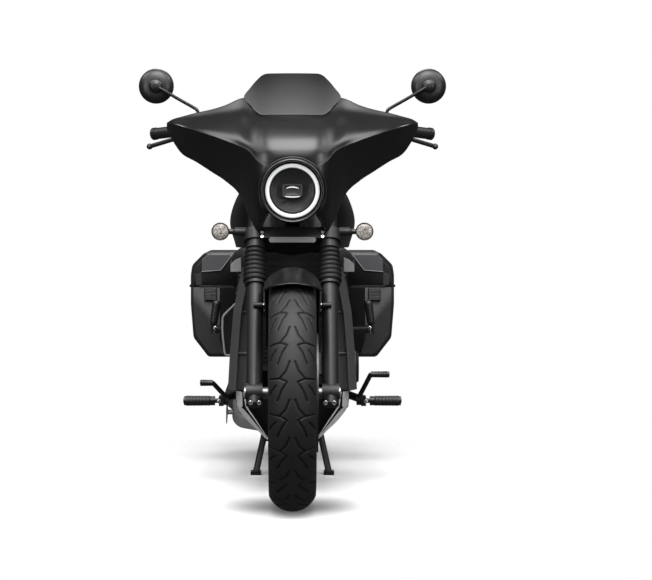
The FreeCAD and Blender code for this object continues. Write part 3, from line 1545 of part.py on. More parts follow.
def round_cover(side, y, z, radius, depth, cap_radius, cap_depth):
    """A stepped, chamfered cover turned about X, standing out from the crankcase."""
    chamfer = S.cover_chamfer
    points = [
        (0, 0),
        (0, radius),
        (depth - chamfer, radius * 0.96),
        (depth, radius * 0.88),
        (depth, cap_radius),
        (depth + cap_depth - chamfer, cap_radius * 0.94),
        (depth + cap_depth, cap_radius * 0.78),
        (depth + cap_depth, 0),
    ]
    outline = [Vector(out * side, 0, r) for out, r in points]
    cover = turned(outline, ORIGIN, X)
    cover.translate(Vector(side * (S.case_half + S.seat_gap), y, z))
    return cover


clutch_sizes = (S.clutch_y, S.clutch_height, S.clutch_radius, S.clutch_depth, S.clutch_cap_radius, S.clutch_cap_depth)
alternator_sizes = (S.alternator_y, S.alternator_height, S.alternator_radius, S.alternator_depth)
alternator_cap = (S.alternator_cap_radius, S.alternator_cap_depth)
clutch_cover = round_cover(-1, *clutch_sizes)
alternator_cover = round_cover(1, *alternator_sizes, *alternator_cap)
covers = [form("clutch_cover", clutch_cover.cut(ENGINE)), form("alternator_cover", alternator_cover.cut(ENGINE))]
node("engine_covers", join("engine_covers_form", *covers))


# Swingarm, rear axle, rear sprocket and the chain

def swingarm_shape():
    low, high = S.swingarm_height / 2, S.swingarm_height / 2
    front = S.pivot_y - S.swingarm_height / 2
    rear = REAR_AXLE.y + S.swingarm_height * 0.7
    outline = [
        Vector(S.swingarm_inner, front, S.pivot_height - low * 0.6),
        Vector(S.swingarm_inner, front + low, S.pivot_height - low),
        Vector(S.swingarm_inner, REAR_AXLE.y, REAR_AXLE.z - low),
        Vector(S.swingarm_inner, rear, REAR_AXLE.z - low * 0.6),
        Vector(S.swingarm_inner, rear, REAR_AXLE.z + high * 0.6),
        Vector(S.swingarm_inner, REAR_AXLE.y, REAR_AXLE.z + high),
        Vector(S.swingarm_inner, front + high, S.pivot_height + high),
        Vector(S.swingarm_inner, front, S.pivot_height + high * 0.6),
    ]
    arm = prism(outline, X * S.swingarm_width)
    return arm


arm_left = form("swingarm_arm", swingarm_shape())
cross_x = S.swingarm_inner + S.overrun
cross_at = Vector(-cross_x, S.swingarm_cross_y, S.pivot_height - S.overrun)
arm_cross = rod("swingarm_cross", cross_at, X, "swingarm_cross_radius", "2 * swingarm_inner + 2 * overrun")
shaft_at = Vector(-S.swingarm_inner - S.swingarm_width, S.pivot_y, S.pivot_height)
pivot_shaft = rod("pivot_shaft", shaft_at, X, "pivot_radius", "2 * swingarm_inner + 2 * swingarm_width")
FOOT_HEIGHT = S.pivot_height + S.swingarm_height / 2 + S.shock_eye_radius
shock_foot_pin = rod(
    "shock_foot_pin",
    Vector(S.swingarm_inner, S.shock_foot_y, FOOT_HEIGHT),
    X,
    "shock_pin_radius",
    "shock_x - swingarm_inner + shock_body_radius",
)
shock_ear = block(
    "shock_ear",
    Vector(S.swingarm_inner, S.shock_foot_y - S.shock_eye_radius, REAR_AXLE.z),
    "shock_pin_radius",
    "2 * shock_eye_radius",
    "pivot_height + swingarm_height / 2 + shock_eye_radius * 1.5 - rear_tyre_radius - rear_wheel_lift",
)
arm_side = join("swingarm_side", arm_left, shock_foot_pin, shock_ear)
arm_solid = join("swingarm_solid", both_sides("swingarm_sides", arm_side), arm_cross, pivot_shaft)
rear_bore_start = REAR_AXLE - X * (S.swingarm_inner + S.swingarm_width + S.overrun)
rear_bore_length = "2 * swingarm_inner + 2 * swingarm_width + 2 * overrun"
rear_bore = rod("rear_axle_bore", rear_bore_start, X, "rear_axle_radius + seat_gap", rear_bore_length)
node("swingarm", cut("swingarm_form", arm_solid, rear_bore))

rear_axle_start = REAR_AXLE - X * (S.swingarm_inner + S.swingarm_width + S.axle_nut_height * 1.5)
rear_axle_length = "2 * swingarm_inner + 2 * swingarm_width + 3 * axle_nut_height"
rear_axle_bar = rod("rear_axle_bar", rear_axle_start, X, "rear_axle_radius", rear_axle_length)
arm_face = REAR_AXLE + X * (S.swingarm_inner + S.swingarm_width + S.seat_gap)
rear_nut = rod("rear_axle_nut", arm_face, X, "axle_nut_radius", "axle_nut_height")
spacer_start = REAR_AXLE + X * (S.rear_hub_width / 2 + S.bearing_gap)
rear_spacer_length = "swingarm_inner - seat_gap - rear_hub_width / 2 - bearing_gap"
rear_spacer = rod("rear_spacer", spacer_start, X, "spacer_radius", rear_spacer_length)
rear_ends = both_sides("rear_axle_ends", join("rear_axle_end", rear_nut, rear_spacer))
node("rear_axle", join("rear_axle_form", rear_axle_bar, rear_ends))

FRONT_SPROCKET = Vector(S.chain_x, S.front_sprocket_y, S.pivot_height)
REAR_SPROCKET = REAR_AXLE + X * S.chain_x


def belt_outline(front_radius, rear_radius):
    """The closed loop of two arcs and two tangents round the two sprockets."""
    run = REAR_SPROCKET - FRONT_SPROCKET
    distance = run.Length
    tilt = math.atan2(run.z, run.y)
    lean = math.asin((rear_radius - front_radius) / distance)

    def at(centre, radius, angle):
        return centre + Vector(0, math.cos(angle) * radius, math.sin(angle) * radius)

    top = tilt + math.pi / 2 + lean
    bottom = tilt - math.pi / 2 - lean
    front_top = at(FRONT_SPROCKET, front_radius, top)
    front_bottom = at(FRONT_SPROCKET, front_radius, bottom)
    rear_top = at(REAR_SPROCKET, rear_radius, top)
    rear_bottom = at(REAR_SPROCKET, rear_radius, bottom)
    edges = [
        line(front_top, rear_top),
        arc(rear_top, at(REAR_SPROCKET, rear_radius, tilt), rear_bottom),
        line(rear_bottom, front_bottom),
        arc(front_bottom, at(FRONT_SPROCKET, front_radius, tilt + math.pi), front_top),
    ]
    return Part.Wire(edges)


def chain_shape():
    half = S.chain_height / 2
    outer = Part.Face(belt_outline(S.front_sprocket_radius + half, S.rear_sprocket_radius + half))
    inner = Part.Face(belt_outline(S.front_sprocket_radius - half, S.rear_sprocket_radius - half))
    band = outer.cut(inner).extrude(X * S.chain_width)
    band.translate(X * (-S.chain_width / 2))
    return band


node("drive_chain", form("drive_chain_form", chain_shape()))
rear_toothed = "rear_sprocket_radius - chain_height / 2 - chain_gap"
rear_start = REAR_SPROCKET - X * (S.sprocket_thickness / 2)
rear_plate = rod("rear_sprocket_plate", rear_start, X, rear_toothed, "sprocket_thickness")
rear_drum_start = REAR_AXLE + X * (S.rear_hub_width / 2 + S.seat_gap)
rear_drum = rod("rear_sprocket_drum", rear_drum_start, X, "carrier_drum_radius", "chain_x - rear_hub_width / 2")
rear_hole_start = REAR_AXLE + X * (S.rear_hub_width / 2 - S.overrun)
rear_hole = rod("rear_sprocket_hole", rear_hole_start, X, "spacer_radius + pad_clearance", "chain_x + overrun")
sprocket_hole_ring = (S.rear_sprocket_radius - S.chain_height + S.carrier_drum_radius) / 2
sprocket_holes = hole_circle(
    "sprocket_holes",
    REAR_AXLE,
    SPOKE_PAIRS,
    sprocket_hole_ring,
    S.sprocket_thickness * 2,
    S.chain_x - S.sprocket_thickness,
    S.sprocket_thickness * 2,
)
sprocket_plate = cut("rear_sprocket_open", join("rear_sprocket_solid", rear_plate, rear_drum), sprocket_holes)
node("rear_sprocket", cut("rear_sprocket_form", sprocket_plate, rear_hole))


# Rear brake caliper, on the right arm

def rear_caliper():
    width = S.rear_caliper_outer_x - S.rear_caliper_inner_x
    height = S.rear_caliper_high - S.rear_caliper_low
    corner = Vector(-S.rear_caliper_outer_x, -S.rear_caliper_length / 2, S.rear_caliper_low)
    body = Part.makeBox(width, S.rear_caliper_length, height, corner)
    body = body.makeChamfer(S.carrier_thickness, body.Edges)
    arm_face = S.swingarm_inner - S.seat_gap
    plate_low = S.swingarm_height / 2 - 2 * S.carrier_thickness
    bracket_corner = Vector(-arm_face, -S.rear_caliper_length / 4, plate_low)
    bracket = Part.makeBox(
        arm_face - S.rear_caliper_outer_x + S.overrun,
        S.rear_caliper_length / 2,
        S.rear_caliper_high - plate_low - S.overrun,
        bracket_corner,
    )
    body = body.fuse(bracket)
    body.translate(REAR_AXLE)
    slot = 2 * S.pad_clearance + S.disc_thickness
    slot_start = REAR_AXLE - X * (S.rear_disc_x + slot / 2)
    return body.cut(Part.makeCylinder(S.rear_disc_radius + S.pad_clearance, slot, slot_start, X))


node("rear_caliper", form("rear_caliper_form", rear_caliper()))


# Shock absorbers: body, rod, a stack of coils and an eye at each end

SHOCK_TOP = Vector(S.shock_x, S.shock_top_y, S.rail_height)
SHOCK_FOOT = Vector(S.shock_x, S.shock_foot_y, FOOT_HEIGHT)
SHOCK_COILS = 9


def shock_shape():
    run = SHOCK_TOP - SHOCK_FOOT
    length = run.Length
    coil_start = S.shock_radius * 1.4
    pitch = (length - 2 * coil_start) / SHOCK_COILS
    core = S.shock_body_radius
    neck = S.shock_eye_radius * 0.85
    outer = [(neck, 0), (neck, coil_start - S.shock_coil_radius)]
    outer += [(S.shock_radius, coil_start - S.shock_coil_radius), (S.shock_radius, coil_start)]
    for index in range(SHOCK_COILS):
        low = coil_start + pitch * index
        outer += [(core, low + pitch * 0.12), (S.shock_radius, low + pitch * 0.36)]
        outer += [(S.shock_radius, low + pitch * 0.64), (core, low + pitch * 0.88)]
    top = length - coil_start
    outer += [(S.shock_radius, top), (S.shock_radius, top + S.shock_coil_radius)]
    outer += [(core, top + S.shock_coil_radius), (neck, length), (0, length), (0, 0)]
    spring = turned([Vector(r, 0, height) for r, height in outer], ORIGIN, Z)
    spring.Placement = Placement(SHOCK_FOOT, Rotation(Z, run))
    eyes = []
    for end in (SHOCK_TOP, SHOCK_FOOT):
        eye_start = end - X * S.shock_eye_radius
        eyes.append(Part.makeCylinder(S.shock_eye_radius, 2 * S.shock_eye_radius, eye_start, X))
    whole = spring.multiFuse(eyes)
    for end in (SHOCK_TOP, SHOCK_FOOT):
        start = end - X * S.shock_radius
        whole = whole.cut(Part.makeCylinder(S.shock_pin_radius + S.seat_gap, 2 * S.shock_radius, start, X))
    return whole


node("shock_absorbers", both_sides("shock_absorbers_form", form("shock", shock_shape())))


# Fuel tank: sections from nose to tail, each a flat base and a round crown, with a tunnel below

# Each station: length share, base half width, widest half width, its height, top height
TANK_SHARES = [
    (0.00, 0.30, 0.36, 0.52, 0.70),
    (0.04, 0.50, 0.60, 0.50, 0.84),
    (0.14, 0.74, 0.84, 0.44, 0.95),
    (0.32, 0.90, 0.99, 0.38, 1.00),
    (0.50, 0.90, 1.00, 0.34, 0.97),
    (0.70, 0.76, 0.86, 0.30, 0.84),
    (0.88, 0.60, 0.66, 0.26, 0.60),
    (1.00, 0.50, 0.54, 0.22, 0.36),
]


def crowned_section(y, base, half_width, height, shares):
    """A flat base line and a smooth crown over it, at one station."""
    low_half, wide_half, wide_height, top_height = shares
    low = Vector(half_width * low_half, y, base)
    wide = Vector(half_width * wide_half, y, base + height * wide_height)
    rise = top_height - wide_height
    upper = Vector(half_width * wide_half * 0.80, y, base + height * (wide_height + rise * 0.62))
    crest = Vector(half_width * wide_half * 0.42, y, base + height * (wide_height + rise * 0.93))
    top = Vector(0, y, base + height * top_height)
    side = [low, wide, upper, crest]
    points = side + [top] + [flip(point) for point in reversed(side)]
    return Part.Wire([curve(points), line(points[-1], points[0])])


def lofted_body(front_y, length, base, half_width, height, stations):
    sections = []
    for length_share, *shares in stations:
        sections.append(crowned_section(front_y + length * length_share, base, half_width, height, shares))
    return loft(sections)


def tank_shape():
    body = lofted_body(
        S.tank_front_y, S.tank_length, S.tank_base, S.tank_half_width, S.tank_height, TANK_SHARES
    )
    front = S.tank_front_y - S.overrun
    rear = S.tank_front_y + S.tank_length + S.overrun
    roof = S.tank_base + S.tank_tunnel_height
    tunnel_points = [(front, S.tank_base - S.overrun), (rear, S.tank_base - S.overrun), (rear, roof)]
    tunnel_points += [(S.tank_front_y + S.plate_width, roof), (front, roof + S.tank_tunnel_height * 1.8)]
    tunnel = prism(
        [Vector(-S.tank_tunnel_half, y, z) for y, z in tunnel_points], X * (2 * S.tank_tunnel_half)
    )
    filler_place = Vector(0, S.tank_front_y + S.tank_length * 0.34, S.tank_base + S.tank_height * 0.9)
    filler_rise = S.tank_height * 0.1 + S.filler_height
    filler = Part.makeCylinder(S.filler_radius, filler_rise, filler_place, Z)
    return body.cut(tunnel).fuse(filler)


node("fuel_tank", form("fuel_tank_form", tank_shape()))


# Seats: the rider's seat hangs over the rails at its sides, the passenger's lies on top of them

SEAT_SHARES = [
    (0.00, 0.52, 0.56, 0.50, 0.86),
    (0.06, 0.72, 0.78, 0.46, 0.86),
    (0.28, 0.94, 1.00, 0.42, 0.80),
    (0.60, 0.96, 1.00, 0.44, 0.82),
    (0.85, 0.80, 0.84, 0.56, 1.00),
    (1.00, 0.62, 0.66, 0.66, 1.24),
]
PILLION_SHARES = [
    (0.00, 0.90, 0.96, 0.45, 0.96),
    (0.08, 0.94, 1.00, 0.48, 1.00),
    (0.60, 0.86, 0.92, 0.46, 0.94),
    (0.92, 0.66, 0.70, 0.44, 0.86),
    (1.00, 0.50, 0.54, 0.40, 0.66),
]
RAIL_TOP = S.rail_height + S.rail_radius
SEAT_TUNNEL_HALF = S.rail_half + S.rail_radius + S.seat_gap * 2


def seat_shape():
    body = lofted_body(
        S.seat_front_y, S.seat_length, S.seat_base, S.seat_half_width, S.seat_height, SEAT_SHARES
    )
    tunnel_corner = Vector(-SEAT_TUNNEL_HALF, S.seat_front_y - S.overrun, S.seat_base - S.overrun)
    tunnel_height = RAIL_TOP + S.seat_gap - S.seat_base + S.overrun
    tunnel = Part.makeBox(2 * SEAT_TUNNEL_HALF, S.seat_length + 2 * S.overrun, tunnel_height, tunnel_corner)
    clear_corner = Vector(-S.overall_length / 2, S.seat_skirt_end, S.seat_base - S.overrun)
    clear = Part.makeBox(S.overall_length, S.seat_length, tunnel_height, clear_corner)
    tank = NODES["fuel_tank"].Shape.copy()
    tank.translate(Y * S.seat_gap)
    return body.cut(tunnel).cut(clear).cut(tank)


node("rider_seat", form("rider_seat_form", seat_shape()))
pillion_front = S.seat_front_y + S.seat_length + S.seat_gap
pillion_size = (RAIL_TOP + S.seat_gap, S.pillion_half_width, S.pillion_height)
pillion = lofted_body(pillion_front, S.pillion_length, *pillion_size, PILLION_SHARES)
node("passenger_seat", form("passenger_seat_form", pillion))

# Airbox with a cover on each side, between the seat and the swingarm
airbox_corner = Vector(-S.airbox_half, S.airbox_front_y, S.airbox_bottom)
airbox_height = "rail_height + rail_radius - airbox_bottom"
airbox = block("airbox_block", airbox_corner, "2 * airbox_half", "airbox_length", airbox_height)


def side_cover():
    """A shallow raised panel with bevelled edges, on its inner side a stud to the airbox."""
    low, high = S.side_cover_bottom, S.side_cover_bottom + S.side_cover_height
    front, rear = S.side_cover_y, S.side_cover_y + S.side_cover_length
    corner = S.side_cover_height * 0.3
    base = [(front, low + corner), (front + corner, low), (rear - corner * 1.6, low)]
    base += [(rear, high - corner), (rear - corner, high), (front, high)]
    middle_y, middle_z = (front + rear) / 2, (low + high) / 2
    sections = []
    for x, share in ((0, 1.0), (S.side_cover_depth * 0.7, 1.0), (S.side_cover_depth, 0.86)):
        points = [(middle_y + (y - middle_y) * share, middle_z + (z - middle_z) * share) for y, z in base]
        sections.append(polygon([Vector(S.side_cover_x + x, y, z) for y, z in points]))
    stud_start = Vector(S.airbox_half - S.overrun, front + S.side_cover_length * 0.55, high - corner)
    stud_reach = S.side_cover_x - S.airbox_half + 2 * S.overrun
    stud = Part.makeCylinder(S.post_radius, stud_reach, stud_start, X)
    return loft(sections, ruled=True).fuse(stud)


side_covers = both_sides("side_covers_form", form("side_cover", side_cover()))
node("airbox", join("airbox_form", airbox, side_covers))


# Rear fender, tail light and the bare plate board on its arm

REAR_ARCH = (S.rear_fender_radius, S.rear_fender_half, S.rear_fender_drop, S.fender_wall)
rear_shell = arch(REAR_AXLE, *REAR_ARCH, S.rear_fender_lead_degrees, S.rear_fender_trail_degrees)


def plate_board():
    """The bare board that a number plate is bolted to, on an arm from the fender's tail."""
    board_face = S.plate_y - S.plate_board_thickness
    half = S.plate_arm_width / 2
    radius = S.rear_fender_radius - S.bearing_gap
    points = []
    for degrees in (S.rear_fender_trail_degrees - 7, S.rear_fender_trail_degrees - 1):
        angle = math.radians(degrees)
        points.append((S.wheelbase + radius * math.sin(angle), REAR_AXLE.z + radius * math.cos(angle)))
    middle = S.plate_z + S.plate_height / 2
    points += [(board_face + S.bearing_gap, middle - half / 2), (board_face + S.bearing_gap, middle + half / 2)]
    arm = prism([Vector(-half, y, z) for y, z in points], X * S.plate_arm_width)
    corner = Vector(-S.plate_width_across / 2, board_face, S.plate_z)
    board = Part.makeBox(S.plate_width_across, S.plate_board_thickness, S.plate_height, corner)
    board = board.fuse(arm)
    for side in (-1, 1):
        hole_x = side * S.plate_hole_spacing / 2
        start = Vector(hole_x, board_face - S.overrun, S.plate_z + S.plate_height * 0.8)
        board = board.cut(Part.makeCylinder(S.plate_hole_radius, S.plate_board_thickness + 2 * S.overrun, start, Y))
    return board


node("rear_fender", form("rear_fender_form", rear_shell.fuse(plate_board())))


# Exhaust: two headers, a chamber under the engine, and a muffler on the right

def header_pipe(side):
    port_face = -S.cylinder_depth / 2 - S.port_reach - S.seat_gap
    port = STACK_PLACE.multVec(Vector(side * S.header_half, port_face, S.port_height))
    away = STACK_PLACE.Rotation.multVec(-Y)
    knee = port + away * ((port.y - S.header_y) / -away.y)
    return tube(
        [
            port,
            knee,
            Vector(side * S.header_half, S.header_y, S.downtube_foot),
            Vector(side * (S.header_radius + S.overrun), S.header_y, S.header_bottom),
            Vector(side * (S.header_radius + S.overrun), S.chamber_front_y + S.overrun, S.header_bottom),
        ],
        S.header_radius,
        S.header_radius * 1.5,
    )


def chamber_shape():
    sections = []
    middle = S.header_bottom
    for length_share, width_share, height_share in ((0.0, 0.62, 0.80), (0.22, 1.0, 1.0), (1.0, 1.0, 1.0)):
        half = S.chamber_half * width_share
        rise = S.chamber_height / 2 * height_share
        y = S.chamber_front_y + S.chamber_length * length_share
        bevel = rise * 0.5
        corners = [(-half + bevel, -rise), (half - bevel, -rise), (half, -rise + bevel), (half, rise - bevel)]
        corners += [(-x, -z) for x, z in corners]
        sections.append(polygon([Vector(x, y, middle + z) for x, z in corners]))
    return loft(sections, ruled=True)


MUFFLER_FRONT = Vector(-S.muffler_x, S.muffler_front_y, S.muffler_height)
OUTLET_KNEE_Y = S.chamber_front_y + S.chamber_length + S.outlet_radius * 1.4
outlet = tube(
    [
        Vector(-S.chamber_half * 0.6, S.chamber_front_y + S.chamber_length * 0.62, S.header_bottom),
        Vector(-S.muffler_x, OUTLET_KNEE_Y, S.header_bottom + S.outlet_radius * 0.4),
        MUFFLER_FRONT - Y * (S.outlet_radius * 1.5),
        MUFFLER_FRONT + Y * S.overrun,
    ],
    S.outlet_radius,
    S.outlet_radius * 1.6,
)


def heat_shield():
    """A bevelled guard plate beside the outlet, with feet that stand on the pipe."""
    low, high = S.heat_shield_low, S.heat_shield_high
    front = OUTLET_KNEE_Y - S.outlet_radius
    rear = S.muffler_front_y - S.outlet_radius
    corner = S.outlet_radius * 0.7
    outline = [(front, low + corner), (front + corner, low), (rear, low + corner * 1.6)]
    outline += [(rear, high), (front + corner * 2, high), (front, high - corner)]
    outer_x = -S.heat_shield_x
    plate = prism([Vector(outer_x, y, z) for y, z in outline], X * S.fender_wall)
    feet = []
    for share in (0.35, 0.8):
        y = front + (rear - front) * share
        foot_start = Vector(outer_x, y, low + (high - low) * 0.45)
        foot_reach = S.heat_shield_x - S.muffler_x
        feet.append(Part.makeCylinder(S.boss_radius, foot_reach, foot_start, X))
    return plate.multiFuse(feet)


headers = header_pipe(1).fuse(header_pipe(-1))
node("exhaust_pipes", form("exhaust_pipes_form", headers.multiFuse([chamber_shape(), outlet, heat_shield()])))


def muffler_shape():
    length = S.muffler_length
    inlet = S.outlet_radius + S.seat_gap
    points = [
        (inlet, 0),
        (inlet + S.fender_wall, 0),
        (S.muffler_radius, S.muffler_cone),
        (S.muffler_radius, length - S.muffler_cone / 2),
        (S.muffler_tip_radius + S.fender_wall * 2, length),
        (S.muffler_tip_radius, length + S.muffler_tip_length),
        (S.muffler_tip_radius - S.fender_wall, length + S.muffler_tip_length),
        (S.muffler_tip_radius - S.fender_wall, length - S.muffler_cone),
        (0, length - S.muffler_cone),
        (0, S.overrun * 2),
        (inlet, S.overrun * 2),
    ]
    body = turned([Vector(r, along, 0) for r, along in points], ORIGIN, Y)
    body.translate(MUFFLER_FRONT)
    return body


node("muffler", form("muffler_form", muffler_shape()))


# Radiator with its frame and fins, side shrouds and the belly pan

def radiator_shape():
    low, high = S.radiator_bottom, S.radiator_top
    half, depth = S.radiator_half, S.radiator_thickness
    frame_width = S.radiator_frame
    body = Part.makeBox(2 * half, depth, high - low, Vector(-half, S.radiator_y, low))
    recess_depth = depth / 4
    inner_half = half - frame_width
    recess_corner = Vector(-inner_half, S.radiator_y - S.overrun, low + frame_width)
    opening = Part.makeBox(
        2 * inner_half, recess_depth + S.overrun, high - low - 2 * frame_width, recess_corner
    )
    body = body.cut(opening)
    fins = []
    count = int((high - low - 2 * frame_width) / S.radiator_fin_pitch)
    for index in range(1, count):
        corner = Vector(-inner_half, S.radiator_y + S.seat_gap, low + frame_width + index * S.radiator_fin_pitch)
        fins.append(Part.makeBox(2 * inner_half, recess_depth, S.bearing_gap, corner))
    bosses = []
    tube_front = S.downtube_y - S.frame_tube_radius - S.seat_gap
    for z in (low + S.engine_lug, S.shroud_top - S.engine_lug):
        for x in (-1, 1):
            start = Vector(x * (half - 2 * S.boss_radius), S.radiator_y + depth, z)
            bosses.append(Part.makeCylinder(2 * S.boss_radius, tube_front - start.y, start, Y))
    return body.multiFuse(fins + bosses)


node("radiator", form("radiator_form", radiator_shape()))

# Side shrouds: half width of the front edge at each height share, from top to bottom
SHROUD_SHARES = [(1.0, 0.76), (0.64, 0.905), (0.30, 0.965), (0.0, 1.0)]
# Belly pan: half width of its front edge at each height share, from top to bottom
BELLY_SHARES = [(1.0, 1.0), (0.70, 0.97), (0.30, 0.62), (0.10, 0.42), (0.0, 0.32)]
BELLY_FRONT_SHARE = 0.12


def shroud_plan(half_width, z):
    """A thin strip in plan: front edge, flare and rear edge, then back along its inner side."""
    y0, depth, flare, wall_width = S.shroud_front_y, S.shroud_depth, S.shroud_flare, S.shroud_wall
    outer = [(half_width, y0), (half_width + flare, y0 + depth * 0.3), (half_width + flare, y0 + depth)]
    inner = [(x - wall_width, y) for x, y in reversed(outer)]
    return polygon([Vector(x, y, z) for x, y in outer + inner])


def shroud_web():
    """The inner panel of a shroud, from its outer wall to the radiator's side."""
    y = S.shroud_front_y + S.radiator_frame * 2
    flare = S.shroud_flare * (y - S.shroud_front_y) / (S.shroud_depth * 0.3)
    inner = S.radiator_half + S.seat_gap
    sections = []
    for height_share, width_share in SHROUD_SHARES:
        z = S.shroud_bottom + (S.shroud_top - S.shroud_bottom) * height_share
        outer = S.belly_half * width_share + flare - S.shroud_wall / 2
        plan = [(inner, y), (outer, y), (outer, y + S.shroud_wall), (inner, y + S.shroud_wall)]
        sections.append(polygon([Vector(x, along, z) for x, along in plan]))
    return loft(sections, ruled=True)


def shroud_shape():
    span = S.shroud_top - S.shroud_bottom
    sections = []
    for height_share, width_share in SHROUD_SHARES:
        sections.append(shroud_plan(S.belly_half * width_share, S.shroud_bottom + span * height_share))
    bosses = []
    boss_y = S.shroud_front_y + S.radiator_frame * 2
    out_share = (boss_y - S.shroud_front_y) / (S.shroud_depth * 0.3)
    for height_share, width_share in SHROUD_SHARES[1:3]:
        wall_x = S.belly_half * width_share + S.shroud_flare * out_share - S.shroud_wall / 2
        start = Vector(S.radiator_half + S.seat_gap, boss_y, S.shroud_bottom + span * height_share)
        bosses.append(Part.makeCylinder(S.boss_radius, wall_x - start.x, start, X))
    return loft(sections, ruled=True).multiFuse([shroud_web()] + bosses)


node("radiator_shrouds", both_sides("radiator_shrouds_form", form("radiator_shroud", shroud_shape())))


def belly_outline(y, inset):
    """The open-topped bowl of the belly pan at one station, as one closed thin outline."""
    span = S.shroud_bottom - S.seat_gap - S.belly_bottom
    side = []
    for height_share, width_share in BELLY_SHARES:
        side.append((S.belly_half * width_share * inset, S.belly_bottom + span * height_share))
    outer = side + [(-x, z) for x, z in reversed(side)]
    wall_width = S.shroud_wall
    inner_side = [(x - wall_width, z + (0 if z == side[0][1] else wall_width)) for x, z in side]
    inner = inner_side + [(-x, z) for x, z in reversed(inner_side)]
    return polygon([Vector(x, y, z) for x, z in outer + list(reversed(inner))])


def belly_front():
    """The closed front of the bowl, set back a little behind its flared edge."""
    y = S.shroud_front_y + S.belly_depth * BELLY_FRONT_SHARE
    inset = 0.86 + (1.0 - 0.86) * BELLY_FRONT_SHARE / 0.16
    span = S.shroud_bottom - S.seat_gap - S.belly_bottom
    half_wall = S.shroud_wall / 2
    side = []
    for height_share, width_share in BELLY_SHARES:
        sink = -half_wall if height_share == 1.0 else half_wall
        side.append((S.belly_half * width_share * inset - half_wall, S.belly_bottom + span * height_share + sink))
    outline = side + [(-x, z) for x, z in reversed(side)]
    return prism([Vector(x, y, z) for x, z in outline], Y * S.shroud_wall)


def belly_shape():
    stations = [(0.0, 0.86), (0.16, 1.0), (1.0, 1.0)]
    sections = [belly_outline(S.shroud_front_y + S.belly_depth * share, inset) for share, inset in stations]
    step_corner = Vector(-S.overall_length / 2, S.belly_step_y, S.belly_step_height)
    step = Part.makeBox(S.overall_length, S.belly_depth, S.belly_depth, step_corner)
    bosses = []
    for side in (-1, 1):
        boss_z = S.case_bottom + S.radiator_half / 2
        start = Vector(side * (S.case_half + S.seat_gap), S.case_front_y + 3 * S.boss_radius, boss_z)
        reach = S.belly_half - S.case_half - S.shroud_wall
        bosses.append(Part.makeCylinder(S.boss_radius, reach, start, X * side))
    return loft(sections, ruled=True).cut(step).multiFuse([belly_front()] + bosses)


node("belly_pan", form("belly_pan_form", belly_shape()))


# Horn, on the left downtube
def horn_shape():
    points = [
        (0, 0),
        (S.horn_radius * 0.8, 0),
        (S.horn_radius, S.horn_depth * 0.2),
        (S.horn_radius, S.horn_depth * 0.45),
        (S.horn_radius * 0.5, S.horn_depth),
        (0, S.horn_depth),
    ]
    horn = turned([Vector(r, depth, 0) for r, depth in points], ORIGIN, Y)
    horn.translate(Vector(S.horn_x, S.horn_y, S.horn_height))
    foot_y = S.downtube_y + S.frame_tube_radius + S.seat_gap
    foot_corner = Vector(S.downtube_half - S.boss_radius, foot_y, S.horn_height - S.boss_radius)
    foot_width = S.horn_x - S.downtube_half
    return horn.fuse(Part.makeBox(foot_width, S.horn_y - foot_y + S.boss_radius, 2 * S.boss_radius, foot_corner))


node("horn", form("horn_form", horn_shape()))


# Panniers: a faceted shell with a lid above the split, hinged along its outer edge

# Outline of a pannier seen from the front, as (width share, height share)
PANNIER_SHARES = [
    (0.00, 0.00),
    (0.61, 0.00),
    (0.94, 0.185),
    (1.00, 0.507),
    (1.00, 0.788),
    (0.966, 0.881),
    (0.69, 1.00),
    (0.00, 1.00),
]


def pannier_outline(y, inset, drop):
    """The pannier's outline at one station, moved in by inset and squeezed by drop."""
    middle_z = S.pannier_bottom + S.pannier_height / 2
    wire_points = []
    for width_share, height_share in PANNIER_SHARES:
        x = S.pannier_inner + S.pannier_width * width_share * drop
        z = S.pannier_bottom + S.pannier_height * height_share
        wire_points.append(Vector(x, y, middle_z + (z - middle_z) * drop))
    wire = polygon(wire_points)
    if inset:
        wire = wire.makeOffset2D(-inset, 2)
    return wire


def pannier_block(inset):
    stations = [(0.0, 0.93), (1.0, 1.0), (2.0, 1.0), (3.0, 0.93)]
    front, length = S.pannier_front_y + inset, S.pannier_length - 2 * inset
    places = [front, front + S.pannier_taper, front + length - S.pannier_taper, front + length]
    sections = [pannier_outline(y, inset, drop) for y, (_, drop) in zip(places, stations)]
    return loft(sections, ruled=True)


def big_box(low, high):
    reach = S.overall_length
    corner = Vector(-reach, -reach, low)
    return Part.makeBox(2 * reach, 3 * reach, high - low, corner)


PANNIER_SHELL = pannier_block(0).cut(pannier_block(S.pannier_wall))
half_seal = S.lid_seal_gap / 2
body_shell = PANNIER_SHELL.common(big_box(0, S.lid_split - half_seal))
lid_shell = PANNIER_SHELL.common(big_box(S.lid_split + half_seal, S.lid_split + S.pannier_height))

HINGE_X = S.pannier_inner + S.pannier_width + S.hinge_radius + S.seat_gap
HINGE_SHARES = (0.22, 0.5, 0.78)


def hinge_barrels(offset):
    barrels = []
    for share in HINGE_SHARES:
        y = S.pannier_front_y + S.pannier_length * share + offset
        start = Vector(HINGE_X, y, S.lid_split)
        barrels.append((start, Part.makeCylinder(S.hinge_radius, S.hinge_length / 2 - S.seat_gap, start, Y)))
    return barrels


def hinge_leaves(offset, direction):
    """Leaf and barrel of a hinge: direction -1 fastens below the split and 1 above it."""
    pieces = []
    for start, barrel in hinge_barrels(offset):
        leaf_low = S.lid_split if direction > 0 else S.lid_split - S.hinge_radius * 3
        corner = Vector(HINGE_X - S.hinge_radius - S.seat_gap - S.bearing_gap, start.y, leaf_low)
        leaf_width = S.hinge_radius
        leaf = Part.makeBox(leaf_width, S.hinge_length / 2 - S.seat_gap, S.hinge_radius * 3, corner)
        pieces.append(barrel.fuse(leaf))
    return pieces


